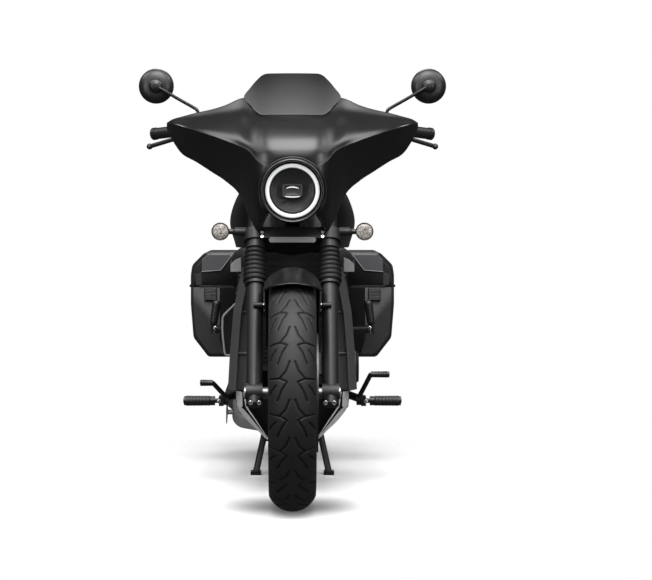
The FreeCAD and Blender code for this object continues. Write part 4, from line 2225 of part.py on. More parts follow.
body_side = body_shell.multiFuse(hinge_leaves(0, -1))
lid_side = lid_shell.multiFuse(hinge_leaves(S.hinge_length / 2, 1))
bracket_start = S.rail_half + S.rail_radius * 0.7
latch_front = S.pannier_front_y - S.latch_depth
latch_low = S.lid_split - S.latch_height + S.lid_seal_gap
latch_corner = Vector(S.latch_x - S.latch_width / 2, latch_front, latch_low)
latch = Part.makeBox(S.latch_width, S.latch_depth * 1.5, S.latch_height - S.lid_seal_gap * 2, latch_corner)
pannier_side = body_side.fuse(latch)
node("pannier_left", form("pannier_left_form", pannier_side))
node("pannier_right", form("pannier_right_form", pannier_side.mirror(ORIGIN, X)))
node("pannier_lid_left", form("pannier_lid_left_form", lid_side))
node("pannier_lid_right", form("pannier_lid_right_form", lid_side.mirror(ORIGIN, X)))


# Foot pegs, their hangers and the foot levers

def hanger_shape():
    block_low = S.peg_height - S.peg_radius
    corner = Vector(S.hanger_block_x, S.peg_y - S.peg_radius * 2, block_low)
    plate = Part.makeBox(S.hanger_block_width, S.peg_radius * 5, 2 * S.peg_radius, corner)
    bar = tube(
        [
            Vector(PLATE_MIDDLE_X + S.overrun, S.pivot_y, S.peg_height + S.hanger_radius * 2),
            Vector(S.hanger_block_x * 0.75, S.pivot_y - S.plate_width * 0.8, S.peg_height + S.hanger_radius),
            Vector(S.hanger_block_x + S.hanger_block_width / 2, S.peg_y + S.peg_radius * 2, S.peg_height),
        ],
        S.hanger_radius,
        S.engine_lug,
    )
    return plate.fuse(bar)


DOC.recompute()
PLATE_SOLID = pivot_plate.Shape.copy()
PLATE_SOLID.translate(X * S.seat_gap)
hanger = form("peg_hanger", hanger_shape().cut(PLATE_SOLID))
peg_start = Vector(S.peg_inner, S.peg_y, S.peg_height)
peg_body = rod("peg_rubber", peg_start, X, "peg_radius", "peg_outer - peg_inner")
peg_root = Vector(S.hanger_block_x + S.hanger_block_width / 2, S.peg_y, S.peg_height)
peg_neck = rod("peg_neck", peg_root, X, "peg_radius / 2", "peg_inner - hanger_block_x")
node("rider_pegs", both_sides("rider_pegs_form", join("rider_peg", peg_body, peg_neck, hanger)))


def foot_lever(side, pad_inner, pad_outer, pad_height):
    """A boss on the hanger plate, an arm and a pad across its end."""
    boss_x = S.hanger_block_x - S.seat_gap
    boss_y = S.peg_y - S.peg_radius
    boss_start = Vector(boss_x - 2 * S.pedal_arm_radius, boss_y, S.peg_height)
    boss = Part.makeCylinder(S.pedal_boss_radius, 2 * S.pedal_arm_radius, boss_start, X)
    middle = Vector(boss_x - S.pedal_arm_radius, boss_y, S.peg_height)
    knee = middle + Vector(0, S.pedal_y + S.engine_lug - boss_y, S.hanger_radius * 1.5)
    end = Vector(pad_inner, S.pedal_y, pad_height)
    arm = tube([middle, knee, end], S.pedal_arm_radius, S.engine_lug / 2)
    pad = Part.makeCylinder(S.pedal_pad_radius, pad_outer - pad_inner, end, X)
    lever = boss.multiFuse([arm, pad])
    return lever if side > 0 else lever.mirror(ORIGIN, X)


brake_pedal = foot_lever(-1, S.pedal_inner, S.pedal_outer, S.pedal_height)
shift_lever = foot_lever(1, S.shift_inner, S.shift_outer, S.shift_height)
node("brake_pedal", form("brake_pedal_form", brake_pedal))
node("shift_lever", form("shift_lever_form", shift_lever))

# Passenger pegs, folded up on the ends of their brackets
peg_foot = Vector(S.pillion_peg_x, S.pillion_peg_y, S.pillion_peg_height + S.rail_radius + S.seat_gap)
pillion_peg = rod("pillion_peg", peg_foot, Z, "pillion_peg_radius", "pillion_peg_length")
node("passenger_pegs", both_sides("passenger_pegs_form", pillion_peg))


# Front brake hose, from the caliper to the lower clamp
HOSE_BACK = S.gaiter_radius + 2 * S.hose_radius
HOSE_FOOT_BACK = (S.caliper_front + S.caliper_back) / 2
HOSE_FOOT_X = S.caliper_outer_x - S.clamp_wall
HOSE_TOP = LOWER_CLAMP + S.lower_clamp_thickness / 2
hose = tube(
    [
        on_fork(S.caliper_high + S.seat_gap, HOSE_FOOT_BACK, HOSE_FOOT_X),
        on_fork(S.caliper_high + S.hose_bend, HOSE_FOOT_BACK, HOSE_FOOT_X),
        on_fork(SLIDER_TOP - S.hose_bend, HOSE_BACK, FORK_HALF),
        on_fork(HOSE_TOP, HOSE_BACK, FORK_HALF),
        on_fork(HOSE_TOP, S.tube_radius + S.clamp_wall + S.seat_gap, FORK_HALF),
    ],
    S.hose_radius,
    S.hose_radius * 1.2,
)
node("front_brake_hose", form("front_brake_hose_form", hose))


# Stands: the centre stand is down; the side stand is folded back

STAND_PIVOT = Vector(0, S.stand_pivot_y, S.stand_pivot_height)


def centre_stand_side():
    top = STAND_PIVOT + X * S.stand_top_half
    foot_top = Vector(S.stand_foot_half, S.stand_foot_y, S.stand_foot_thickness / 2)
    leg = Part.makeCylinder(S.stand_leg_radius, (foot_top - top).Length, top, foot_top - top)
    boss_start = top - X * S.stand_leg_radius
    boss = Part.makeCylinder(S.stand_boss_radius, 2 * S.stand_leg_radius, boss_start, X)
    foot_corner = Vector(
        S.stand_foot_half - S.stand_foot_width / 2, S.stand_foot_y - S.stand_foot_length * 0.6, 0
    )
    foot = Part.makeBox(S.stand_foot_width, S.stand_foot_length, S.stand_foot_thickness, foot_corner)
    below = big_box(-S.plate_width, 0)
    return leg.multiFuse([boss, foot]).cut(below)


stand_side = form("stand_side", centre_stand_side())
cross_share = 0.5
cross_half = S.stand_top_half + (S.stand_foot_half - S.stand_top_half) * cross_share
cross_y = S.stand_pivot_y + (S.stand_foot_y - S.stand_pivot_y) * cross_share
stand_cross_at = Vector(-cross_half, cross_y, S.stand_pivot_height * (1 - cross_share))
stand_cross = rod(
    "stand_cross", stand_cross_at, X, "stand_cross_radius", "stand_top_half + stand_foot_half"
)
stand_bore_at = STAND_PIVOT - X * S.plate_inner
stand_bore = rod("stand_bore", stand_bore_at, X, "stand_pin_radius + running_clearance", "2 * plate_inner")
stand_solid = join("centre_stand_solid", both_sides("stand_sides", stand_side), stand_cross)
node("centre_stand", cut("centre_stand_form", stand_solid, stand_bore))

side_leg_start = SIDE_PIVOT + Y * (S.stand_boss_radius * 0.7)
side_leg = rod("side_stand_leg", side_leg_start, Y, "side_stand_radius", "side_stand_length")
side_foot_at = SIDE_PIVOT + Y * S.side_stand_length
side_foot = rod("side_stand_foot", side_foot_at, Y, "side_stand_radius * 1.6", "stand_foot_thickness")
side_boss_start = SIDE_PIVOT - SIDE_AXIS * (S.side_stand_radius * 1.2)
side_boss = rod("side_boss", side_boss_start, SIDE_AXIS, "stand_boss_radius", "2.4 * side_stand_radius")
side_bore_start = SIDE_PIVOT - SIDE_AXIS * S.engine_lug
side_bore_radius = "stand_pin_radius + running_clearance"
side_bore = rod("side_bore", side_bore_start, SIDE_AXIS, side_bore_radius, "2 * engine_lug")
side_solid = join("side_stand_solid", side_leg, side_foot, side_boss)
node("side_stand", cut("side_stand_form", side_solid, side_bore))


# Tail lights and rear turn signals, and the bare plate board, on the rear fender's end
def rear_lights():
    """A wide lamp on the fender's crown with a round signal on a stalk at each side."""
    half = S.tail_light_width / 2
    front = S.tail_light_y - S.tail_light_depth
    low = S.tail_light_z
    lamp_corner = Vector(-half, front, low)
    lamp = Part.makeBox(S.tail_light_width, S.tail_light_depth, S.tail_light_height, lamp_corner)
    lamp = lamp.makeFillet(S.indicator_stalk_radius, lamp.Edges)
    half = S.rear_signal_half
    bar_at = Vector(-half, S.tail_light_y - S.tail_light_depth / 2, low + S.tail_light_height / 2)
    bar = Part.makeCylinder(S.indicator_stalk_radius, 2 * half, bar_at, X)
    signals = []
    for x in (-half, half):
        signals.append(indicator_shape(Vector(x, S.tail_light_y, bar_at.z), 1))
    return lamp.multiFuse([bar] + signals)


shell_behind = rear_shell.copy()
shell_behind.translate(Y * S.seat_gap)
light_pieces = rear_lights().cut(rear_shell).cut(shell_behind).Solids
node("rear_lights", form("rear_lights_form", max(light_pieces, key=lambda piece: piece.Volume)))


# Every sub-part gets its name and moves to the shared origin, is checked and is then written out

TO_ORIGIN = Vector(0, S.front_tyre_radius - S.overall_length / 2, 0)
DOC.recompute()
for name, thing in NODES.items():
    thing.Label = name
    place = thing.Placement
    thing.Placement = Placement(place.Base + TO_ORIGIN, place.Rotation)
DOC.recompute()

for thing in DOC.Objects:
    if "Invalid" in thing.State or "Error" in thing.State:
        raise RuntimeError(f"{thing.Label} did not build: {thing.State}")

os.makedirs("parts", exist_ok=True)
for name, thing in NODES.items():
    shape = thing.Shape
    if shape.isNull() or not shape.isValid() or not shape.Solids:
        raise RuntimeError(f"{name} has no valid solid")
    shape.exportStep(f"parts/{name}.step")
    print(f"{name}: {len(shape.Solids)} solids, {shape.Volume / 1000:.0f} cm3")
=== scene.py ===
# %% [markdown]
# # A touring motorcycle on its centre stand
# The frame of this picture is the solid model of the machine: every part already has its real
# size and place. This notebook dresses it. Parts whose shape is right keep their solid and get a
# finish, and parts that are smooth, soft or patterned on the real machine get a surface of their
# own, worked out from a few numbers. All sizes are in millimetres measured from the floor below
# the front axle, and one function brings them into the shared frame, which is in metres.

import json
import math

import bmesh
import bpy
import numpy as np
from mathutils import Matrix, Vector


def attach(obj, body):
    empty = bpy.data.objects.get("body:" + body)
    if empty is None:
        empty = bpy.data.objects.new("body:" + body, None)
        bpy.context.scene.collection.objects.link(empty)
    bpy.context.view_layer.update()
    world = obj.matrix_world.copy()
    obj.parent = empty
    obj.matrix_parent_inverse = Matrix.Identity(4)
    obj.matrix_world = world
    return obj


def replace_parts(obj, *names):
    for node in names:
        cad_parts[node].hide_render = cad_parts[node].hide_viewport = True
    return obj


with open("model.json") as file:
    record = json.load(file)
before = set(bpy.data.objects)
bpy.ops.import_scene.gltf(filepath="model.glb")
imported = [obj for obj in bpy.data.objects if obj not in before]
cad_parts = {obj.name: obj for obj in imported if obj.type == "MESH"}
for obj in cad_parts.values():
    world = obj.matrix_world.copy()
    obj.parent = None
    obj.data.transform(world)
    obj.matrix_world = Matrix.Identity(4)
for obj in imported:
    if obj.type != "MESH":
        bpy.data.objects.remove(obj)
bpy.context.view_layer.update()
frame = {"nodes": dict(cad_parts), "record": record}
nodes = frame["nodes"]
AXLE_SHIFT = np.array([0.0, -802.0, 0.0])
FORWARD, BACK, UP = (0.0, -1.0, 0.0), (0.0, 1.0, 0.0), (0.0, 0.0, 1.0)
SIDES = ((1, "left"), (-1, "right"))


def shared(points):
    """Millimetres from below the front axle to metres in the frame: (point + shift) / 1000."""
    return (np.asarray(points, float) + AXLE_SHIFT) / 1000


# %% [markdown]
# ## Meshes from grids
# Almost everything round or flowing on a motorcycle is a grid of points: so many rows along the
# part, so many columns around it. A sheet is an open grid, a tube closes its columns into rings,
# and a ring closes both ways. One could sculpt each part by hand, but a grid that comes from a
# formula can be made finer or coarser later without losing its shape.

# %% Grid meshes
def grid_faces(rows, columns, ring_rows, ring_columns):
    """Corners of each four-sided cell: (i, j), (i+1, j), (i+1, j+1), (i, j+1), counted row by row."""
    i, j = np.meshgrid(
        np.arange(rows if ring_rows else rows - 1),
        np.arange(columns if ring_columns else columns - 1),
        indexing="ij",
    )
    i_next, j_next = (i + 1) % rows, (j + 1) % columns
    corners = [i * columns + j, i_next * columns + j, i_next * columns + j_next, i * columns + j_next]
    return np.stack(corners, -1).reshape(-1, 4)


def new_piece(name, points, faces, body, slot, sharp_degrees=40):
    """A mesh object from millimetre points and a list of faces, shaded smooth but for sharp edges."""
    mesh = bpy.data.meshes.new(name)
    mesh.from_pydata(shared(points).tolist(), [], faces)
    edit = bmesh.new()
    edit.from_mesh(mesh)
    bmesh.ops.remove_doubles(edit, verts=edit.verts, dist=1e-6)
    bmesh.ops.recalc_face_normals(edit, faces=edit.faces)
    edit.to_mesh(mesh)
    edit.free()
    mesh.shade_smooth()
    mesh.set_sharp_from_angle(angle=math.radians(sharp_degrees))
    piece = bpy.data.objects.new(name, mesh)
    bpy.context.scene.collection.objects.link(piece)
    piece.data.materials.append(finish_of[slot])
    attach(piece, body)
    return piece


def tube_piece(name, rings, body, slot, ring_rows=False, **options):
    """Rings of points joined into a tube; its two ends are filled, or joined when it is a loop."""
    rings = np.asarray(rings, float)
    rows, columns = rings.shape[:2]
    faces = grid_faces(rows, columns, ring_rows, True).tolist()
    if not ring_rows:
        faces.append(list(range(columns)))
        faces.append(list(range((rows - 1) * columns, rows * columns)))
    return new_piece(name, rings.reshape(-1, 3), faces, body, slot, **options)


def sheet_piece(name, front, back, body, slot, **options):
    """Two grids, face and back, joined round their edge: a panel with a real thickness."""
    front, back = np.asarray(front, float), np.asarray(back, float)
    rows, columns = front.shape[:2]
    cells = grid_faces(rows, columns, False, False)
    count = rows * columns
    numbers = np.arange(count).reshape(rows, columns)
    edge = np.concatenate([numbers[0], numbers[1:, -1], numbers[-1, -2::-1], numbers[-2:0:-1, 0]])
    after = np.roll(edge, -1)
    rim = np.stack([edge, after, after + count, edge + count], -1)
    faces = np.concatenate([cells, cells[:, ::-1] + count, rim]).tolist()
    points = np.concatenate([front.reshape(-1, 3), back.reshape(-1, 3)])
    return new_piece(name, points, faces, body, slot, **options)


print("a sheet of 3 x 4 points has", len(grid_faces(3, 4, False, False)), "cells")

# %% [markdown]
# ## Lines, lathe shapes and tubes
# A mirror's stem, a bellows or a lamp's bowl is easy once its line is known: a few points give a
# smooth line, and a circle is carried along it, or the line itself is turned round an axis. A
# curve object or a screw modifier would do the same, but arrays can be bent and joined freely.

# %% Lines, lathe shapes and tubes
def flowing(points, count):
    """A curve through the points: each span mixes its four nearest points by a smooth cubic."""
    points = np.asarray(points, float)
    ends = (2 * points[:1] - points[1:2], points, 2 * points[-1:] - points[-2:-1])
    padded = np.concatenate(ends)
    place = np.linspace(0, len(points) - 1, count)
    span = np.minimum(place.astype(int), len(points) - 2)
    f = (place - span).reshape(-1, *[1] * (points.ndim - 1))
    a, b, c, d = (padded[span + step] for step in range(4))
    bend = (c - a) * f + (2 * a - 5 * b + 4 * c - d) * f**2 + (3 * b - a - 3 * c + d) * f**3
    return b + bend / 2


def unit(vector):
    """The same direction with length 1: vector / length, for each row."""
    vector = np.asarray(vector, float)
    return vector / np.linalg.norm(vector, axis=-1, keepdims=True)


def turned_rings(profile, centre, axis, steps=96):
    """Rings about an axis: centre + along * axis + radius * (cos t * side + sin t * up)."""
    axis = unit(axis)
    side = unit(np.cross(axis, UP if abs(axis[2]) < 0.9 else (1.0, 0.0, 0.0)))
    up = np.cross(axis, side)
    t = np.linspace(0, 2 * math.pi, steps, endpoint=False)
    around = np.cos(t)[:, None] * side + np.sin(t)[:, None] * up
    profile = np.asarray(profile, float)
    radius, along = profile[:, 0, None, None], profile[:, 1, None, None]
    return np.asarray(centre, float) + along * axis + radius * around


def turned_piece(name, profile, centre, axis, body, slot, steps=96, closed=False, **options):
    """A lathe shape from (radius, along) pairs; closed joins the last pair to the first."""
    rings = turned_rings(profile, centre, axis, steps)
    return tube_piece(name, rings, body, slot, ring_rows=closed, **options)


def swept_rings(path, radius, steps=20, up=BACK):
    """Circles across a path: path + radius * (cos t * side + sin t * normal) at each of its points."""
    path = np.asarray(path, float)
    along = unit(np.gradient(path, axis=0))
    side = unit(np.cross(along, np.asarray(up, float)))
    normal = np.cross(side, along)
    t = np.linspace(0, 2 * math.pi, steps, endpoint=False)[None, :, None]
    across = np.cos(t) * side[:, None] + np.sin(t) * normal[:, None]
    return path[:, None] + np.broadcast_to(radius, len(path))[:, None, None] * across


print("five points on a curve through 0, 1 and 4:", flowing([(0,), (1,), (4,)], 5).ravel().round(2))

# %% [markdown]
# ## Walls and rounded edges
# Pressed sheet has a wall, and a mould or a press leaves no razor edge. Both are added by
# modifiers, which leave the mesh below them simple and can be changed by one number.

# %% Walls and rounded edges
def bevelled(piece, width, segments=2, degrees=30):
    """Rounds the hard edges of a piece by width millimetres, as a mould or a press leaves them."""
    edge = piece.modifiers.new("Rounded edges", "BEVEL")
    edge.width = width / 1000
    edge.segments = segments
    edge.limit_method = "ANGLE"
    edge.angle_limit = math.radians(degrees)
    edge.harden_normals = True
    return piece


def facing(piece, direction):
    """Turns an open sheet's faces so that their mean normal points along direction."""
    normals = np.zeros(len(piece.data.polygons) * 3, np.float32)
    piece.data.polygons.foreach_get("normal", normals)
    if normals.reshape(-1, 3).mean(0) @ np.asarray(direction) < 0:
        piece.data.flip_normals()
    return piece


def walled(piece, wall):
    """Gives an open sheet its wall, grown inwards from its outer face."""
    shell = piece.modifiers.new("Wall", "SOLIDIFY")
    shell.thickness = wall / 1000
    shell.offset = -1
    return piece


print("walls and edges are modifiers")

# %% [markdown]
# ## Finishes
# Nearly all of this machine is black, so its parts differ by how they shine: deep gloss paint on
# the tank and fairing, a satin powder coat on the frame, grained plastic on the panniers, matt
# rubber and brushed steel. A single black would look like a toy. Each finish therefore mixes two
# close colours by a fine noise, lets a slow noise change the roughness from place to place as
# dust and handling do, and raises a grain at its own scale. Image textures would need files, and
# noise on the object's own coordinates does the same for any piece.

# %% How a finish is built
finish_of = {}


def set_inputs(node, **values):
    """Sets a node's inputs by name, with an underscore for each space in the name."""
    for name, value in values.items():
        node.inputs[name.replace("_", " ")].default_value = value


def shader_node(tree, kind, **values):
    """A new node of a finish with some of its inputs set."""
    made = tree.nodes.new("ShaderNode" + kind)
    set_inputs(made, **values)
    return made


def ramp_node(tree, colours, places=(0.0, 1.0)):
    """A ramp from one colour to another between two places."""
    made = shader_node(tree, "ValToRGB")
    for stop, colour, place in zip(made.color_ramp.elements, colours, places):
        stop.position = place
        stop.color = (*colour, 1)
    return made


def wire(tree, *routes):
    """Joins nodes: each route names the giving node and output, then the taking node and input."""
    for giver, output, taker, socket in routes:
        tree.links.new(giver.outputs[output], taker.inputs[socket])


def shader_of(slot):
    """The node tree of a finish and its main shader."""
    tree = finish_of[slot].node_tree
    return tree, tree.nodes["Principled BSDF"]


def finish(slot, colour, rough, metal=0.0, specular=0.5, grain=400, bump=0.1, mottle=0.15):
    """Paint, plastic, rubber or metal: noise mixes the colour and the roughness and lifts the grain."""
    finish_of[slot] = bpy.data.materials.new(slot)
    finish_of[slot].use_nodes = True
    tree, shader = shader_of(slot)
    dark, pale = [c * (1 - mottle) for c in colour], [min(1, c * (1 + mottle)) for c in colour]
    place = shader_node(tree, "TexCoord")
    fine = shader_node(tree, "TexNoise", Scale=grain, Detail=4)
    slow = shader_node(tree, "TexNoise", Scale=9, Detail=5)
    shades = ramp_node(tree, (dark, pale), (0.35, 0.65))
    sheen = shader_node(tree, "MapRange", To_Min=rough * 0.8, To_Max=min(1.0, rough * 1.2))
    relief = shader_node(tree, "Bump", Strength=bump, Distance=0.0004)
    wire(
        tree,
        (place, "Object", fine, "Vector"),
        (place, "Object", slow, "Vector"),
        (fine, "Fac", shades, "Fac"),
        (slow, "Fac", sheen, "Value"),
        (fine, "Fac", relief, "Height"),
        (shades, "Color", shader, "Base Color"),
        (sheen, "Result", shader, "Roughness"),
        (relief, "Normal", shader, "Normal"),
    )
    set_inputs(shader, Metallic=metal, Specular_IOR_Level=specular)


def clear_finish(slot, colour, rough, see_through):
    """Glass or clear plastic: part of the light passes, and a faint noise clouds it."""
    finish(slot, colour, rough, grain=60, bump=0.02, mottle=0.08)
    set_inputs(shader_of(slot)[1], Transmission_Weight=see_through, IOR=1.45)


print("noise, ramp and bump are ready")

# %% [markdown]
# The finishes themselves are one line each: colour, roughness, and what differs from the usual
# grain and gloss. Black paint on a real machine is never pure black, and steel is darker than it
# seems, because what one sees in it is its surroundings.

# %% Paint, plastic, rubber and metal
finish("frame_black", (0.005, 0.005, 0.0055), 0.34, grain=500, bump=0.12)
finish("body_black", (0.003, 0.003, 0.0032), 0.3, grain=900, bump=0.01)
finish("plastic_black", (0.006, 0.006, 0.0065), 0.38, grain=1300, bump=0.35)
finish("panel_grey", (0.05, 0.05, 0.053), 0.42, grain=1300, bump=0.35)
# Painted shade: the deepest, dullest black darkens the belly pan and a plate on each pannier's front, as
# if they stood in shadow.
finish("painted_shade_black", (0.002, 0.002, 0.0022), 0.6, specular=0.15, grain=1300, bump=0.2)
# A pale grey, partly painted highlight: it draws the bright edge lines on the pannier panels and the
# scoop's rim, and the grey of the clamp's lip and the shroud caps.
finish("cap_grey", (0.2, 0.2, 0.205), 0.45, grain=1300, bump=0.25)
# The belly edges' pale grey is partly their own grey and partly painted highlight, where they catch the
# light.
finish("belly_grey_and_highlight", (0.36, 0.36, 0.365), 0.5, grain=1300, bump=0.2)
finish("header_grey", (0.2, 0.196, 0.193), 0.4, metal=0.35, grain=300, bump=0.2)
finish("case_black", (0.013, 0.013, 0.0135), 0.58, specular=0.4, grain=1300, bump=0.35)
finish("gaiter_black", (0.003, 0.003, 0.0032), 0.5, specular=0.25, grain=1000, bump=0.3)
finish("engine_black", (0.006, 0.006, 0.0065), 0.45, grain=700, bump=0.5)
finish("alloy_black", (0.004, 0.004, 0.0045), 0.3, grain=600, bump=0.15)
finish("fork_black", (0.005, 0.005, 0.0055), 0.46, specular=0.4, grain=600, bump=0.1)
finish("exhaust_black", (0.02, 0.02, 0.021), 0.36, grain=700, bump=0.4)
finish("radiator_core", (0.02, 0.02, 0.021), 0.5, metal=0.5, grain=600, bump=0.3)
finish("disc_steel", (0.12, 0.12, 0.123), 0.5, metal=1.0, grain=500, bump=0.15)
finish("axle_steel", (0.24, 0.24, 0.245), 0.34, metal=1.0, grain=400, bump=0.1)
finish("chain_steel", (0.12, 0.117, 0.113), 0.42, metal=0.9, grain=500, bump=0.4)
finish("lamp_chrome", (0.75, 0.75, 0.76), 0.12, metal=1.0, grain=400, bump=0.02)
finish("tyre", (0.006, 0.006, 0.0062), 0.6, specular=0.4, grain=900, bump=0.5)
finish("grip_rubber", (0.006, 0.006, 0.0063), 0.42, grain=1000, bump=0.4)
finish("seat_cover", (0.008, 0.0078, 0.0078), 0.5, specular=0.45, grain=420, bump=0.7)
finish("caliper_black", (0.008, 0.008, 0.0083), 0.36, grain=700, bump=0.3)
finish("mirror_glass", (0.8, 0.82, 0.84), 0.04, metal=1.0, grain=50, bump=0.0)
finish("bolt_steel", (0.6, 0.6, 0.61), 0.3, metal=1.0, grain=600, bump=0.15)
finish("bulb_amber", (0.75, 0.36, 0.1), 0.2, grain=80, bump=0.02)
print("finishes", len(finish_of))

# %% [markdown]
# The smoked screen's colour is painted paler at its foot and darker towards its top, a painted
# reflection of the light it mirrors, so its colour follows the height above the floor. The turn
# signals' lenses are cut into small prisms, which a cell pattern stands for, and the headlight's
# ring shines by itself.

# %% Glass and light
PAINTED_LIGHT_FOOT, PAINTED_LIGHT_TOP = 1.08, 1.19
PRISMS_PER_METRE = 190
clear_finish("screen_smoke", (0.006, 0.006, 0.007), 0.3, 0.05)
tree, shader = shader_of("screen_smoke")
set_inputs(shader, Specular_IOR_Level=0.18)
place = shader_node(tree, "TexCoord")
split = shader_node(tree, "SeparateXYZ")
rise = shader_node(tree, "MapRange", From_Min=PAINTED_LIGHT_FOOT, From_Max=PAINTED_LIGHT_TOP)
# painted reflection: the screen's colour is paler towards its foot and darker towards its top
painted_light = ramp_node(tree, ((0.045, 0.045, 0.046), (0.006, 0.006, 0.0065)))
wire(
    tree,
    (place, "Object", split, "Vector"),
    (split, "Z", rise, "Value"),
    (rise, "Result", painted_light, "Fac"),
    (painted_light, "Color", shader, "Base Color"),
)
clear_finish("lens_clear", (0.02, 0.02, 0.021), 0.03, 0.0)
set_inputs(shader_of("lens_clear")[1], Alpha=0.12)
clear_finish("lens_red", (0.4, 0.01, 0.01), 0.15, 0.45)
clear_finish("gauge_glass", (0.02, 0.022, 0.025), 0.06, 0.2)
clear_finish("lens_amber", (0.5, 0.47, 0.44), 0.12, 0.0)
tree, shader = shader_of("lens_amber")
set_inputs(shader, Alpha=0.7)
place = shader_node(tree, "TexCoord")
prisms = shader_node(tree, "TexVoronoi", Scale=PRISMS_PER_METRE)
cut = ramp_node(tree, ((0.66, 0.61, 0.57), (0.07, 0.06, 0.055)), (0.0, 0.95))
wire(
    tree,
    (place, "Object", prisms, "Vector"),
    (prisms, "Distance", cut, "Fac"),
    (cut, "Color", shader, "Base Color"),
)
finish("lamp_light", (0.95, 0.97, 1.0), 0.3, grain=200, bump=0.05, mottle=0.03)
set_inputs(shader_of("lamp_light")[1], Emission_Color=(1, 1, 1, 1), Emission_Strength=0.42)
print("finishes with glass and light", len(finish_of))

# %% [markdown]
# Each solid of the frame names its finish in the record that came with it, so one pass gives
# every node the matching material. The header pipes get a grey of their own, and the belly pan
# gets painted shade: a deeper, duller black, as if it stood in shadow.

# %% Finishes on the solids
for part in frame["record"]["subparts"]:
    shown = nodes[part["node"]]
    shown.data.materials.clear()
    shown.data.materials.append(finish_of[part["material_slot"]])
nodes["exhaust_pipes"].data.materials[0] = finish_of["header_grey"]
# painted shade: the belly pan is darkened as if it stood in shadow
nodes["belly_pan"].data.materials[0] = finish_of["painted_shade_black"]

# %% [markdown]
# ## Tyres with their tread
# A touring tyre has a round crown with shallow lightning-shaped grooves on each side of a plain
# centre band. The groove lines are short straight strokes repeated round the wheel, so the
# surface is a ring of cross-sections whose points sink wherever they lie near a stroke. A
# displacement texture could do the same, but sinking the points keeps the grooves in the mesh,
# where they catch the light from every side.

# %% The profile of a tyre
CROWN_POINTS, WALL_POINTS = 60, 9
BEAD_SHARE, BULGE_SHARE = 0.75, 0.985
BEAD_HEIGHT, RIM_GAP, BEAD_GAP = 15, 0.5, 1.0


def tyre_profile(half, radius, drop, rim_radius):
    """Half widths and radii from bead to bead: a round crown between two gently bulging sides."""
    ball = (half**2 + drop**2) / (2 * drop)
    edge = math.asin(half / ball)
    crown_angle = np.linspace(edge, -edge, CROWN_POINTS)
    crown = np.stack([ball * np.sin(crown_angle), radius - ball * (1 - np.cos(crown_angle))], -1)
    shoulder = radius - drop
    bead = (half * BEAD_SHARE - RIM_GAP, rim_radius + BEAD_HEIGHT)
    bulge = (half * BULGE_SHARE, (shoulder + bead[1]) / 2)
    side = flowing([(half, shoulder), bulge, bead], WALL_POINTS)[1:]
    left = np.concatenate([side, [(bead[0], rim_radius + BEAD_GAP)]])
    return np.concatenate([left[::-1], crown, left * (-1, 1)])


print("points across a tyre", len(tyre_profile(63, 318, 42, 228.6)))

# %% [markdown]
# The tread lines are drawn on the front tyre as places across it and along one repeat, and are
# stretched to the width and the pitch of each tyre.

# %% Tread
GROOVE_DEPTH, GROOVE_HALF, GROOVE_POWER = 4.0, 2.6, 0.6
DRAWN_WIDTH, DRAWN_PITCH = 126, 100
REPEATS, RINGS_A_REPEAT = 20, 52
TREAD_LINES = [
    [(7, -6), (17, 20), (33, 38)],
    [(58, 38), (33, 39), (14, 48)],
    [(14, 48), (28, 70), (39, 98)],
    [(43, 57), (53, 70), (58, 84)],
]


def stroke_nearness(x, along, strokes):
    """1 on a groove's middle line, falling to 0 at its width: from the least distance to a stroke."""
    nearest = np.full(x.shape, np.inf)
    for (x0, a0), (x1, a1) in strokes:
        dx, da = x1 - x0, a1 - a0
        share = np.clip(((x - x0) * dx + (along - a0) * da) / (dx**2 + da**2), 0, 1)
        nearest = np.minimum(nearest, np.hypot(x - x0 - share * dx, along - a0 - share * da))
    return np.clip(1 - nearest / GROOVE_HALF, 0, 1)


def tyre_piece(name, axle, radius, width, drop, rim_radius, body):
    """Rings of the tyre's profile; a point on a groove is moved towards the axle by its depth."""
    outline = tyre_profile(width / 2, radius, drop, rim_radius)
    rows = REPEATS * RINGS_A_REPEAT
    t = np.linspace(0, 2 * math.pi, rows, endpoint=False)[:, None]
    across = np.broadcast_to(outline[:, 0], (rows, len(outline)))
    pitch = 2 * math.pi * radius / REPEATS
    along = np.broadcast_to(t * radius % pitch, across.shape)
    lines = [np.array(line) * (width / DRAWN_WIDTH, pitch / DRAWN_PITCH) for line in TREAD_LINES]
    strokes = [pair for line in lines for pair in zip(line, line[1:])]
    near = np.zeros_like(across)
    for shift in (-pitch, 0, pitch):
        near = np.maximum(near, stroke_nearness(np.abs(across), along + shift, strokes))
    on_crown = outline[:, 1] > radius - drop - 1
    depth = GROOVE_DEPTH * near**GROOVE_POWER * on_crown
    reach = outline[:, 1] - depth
    rings = np.stack([across, axle[0] - np.sin(t) * reach, axle[1] + np.cos(t) * reach], -1)
    faces = grid_faces(*rings.shape[:2], True, True).tolist()
    piece = new_piece(name, rings.reshape(-1, 3), faces, body, "tyre", sharp_degrees=60)
    groove = piece.data.attributes.new("groove", "FLOAT", "POINT")
    groove.data.foreach_set("value", (depth / GROOVE_DEPTH).ravel().astype(np.float32))
    print(name, "triangles", 2 * len(piece.data.polygons), "grooves a turn", REPEATS)
    return piece


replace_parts(tyre_piece("front_tyre_tread", (0, 318), 318, 126, 42, 228.6, "front_wheel"), "front_tyre")
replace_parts(tyre_piece("rear_tyre_tread", (1520, 330), 320, 178, 52, 203.2, "rear_wheel"), "rear_tyre")

# %% [markdown]
# The grooves carry painted shade: the depth is kept on the points as a number, and the rubber's
# gloss falls to nothing where that number is 1, so the grooves show darker.

# %% Dull grooves
tree, shader = shader_of("tyre")
sunk = shader_node(tree, "Attribute")
sunk.attribute_name = "groove"
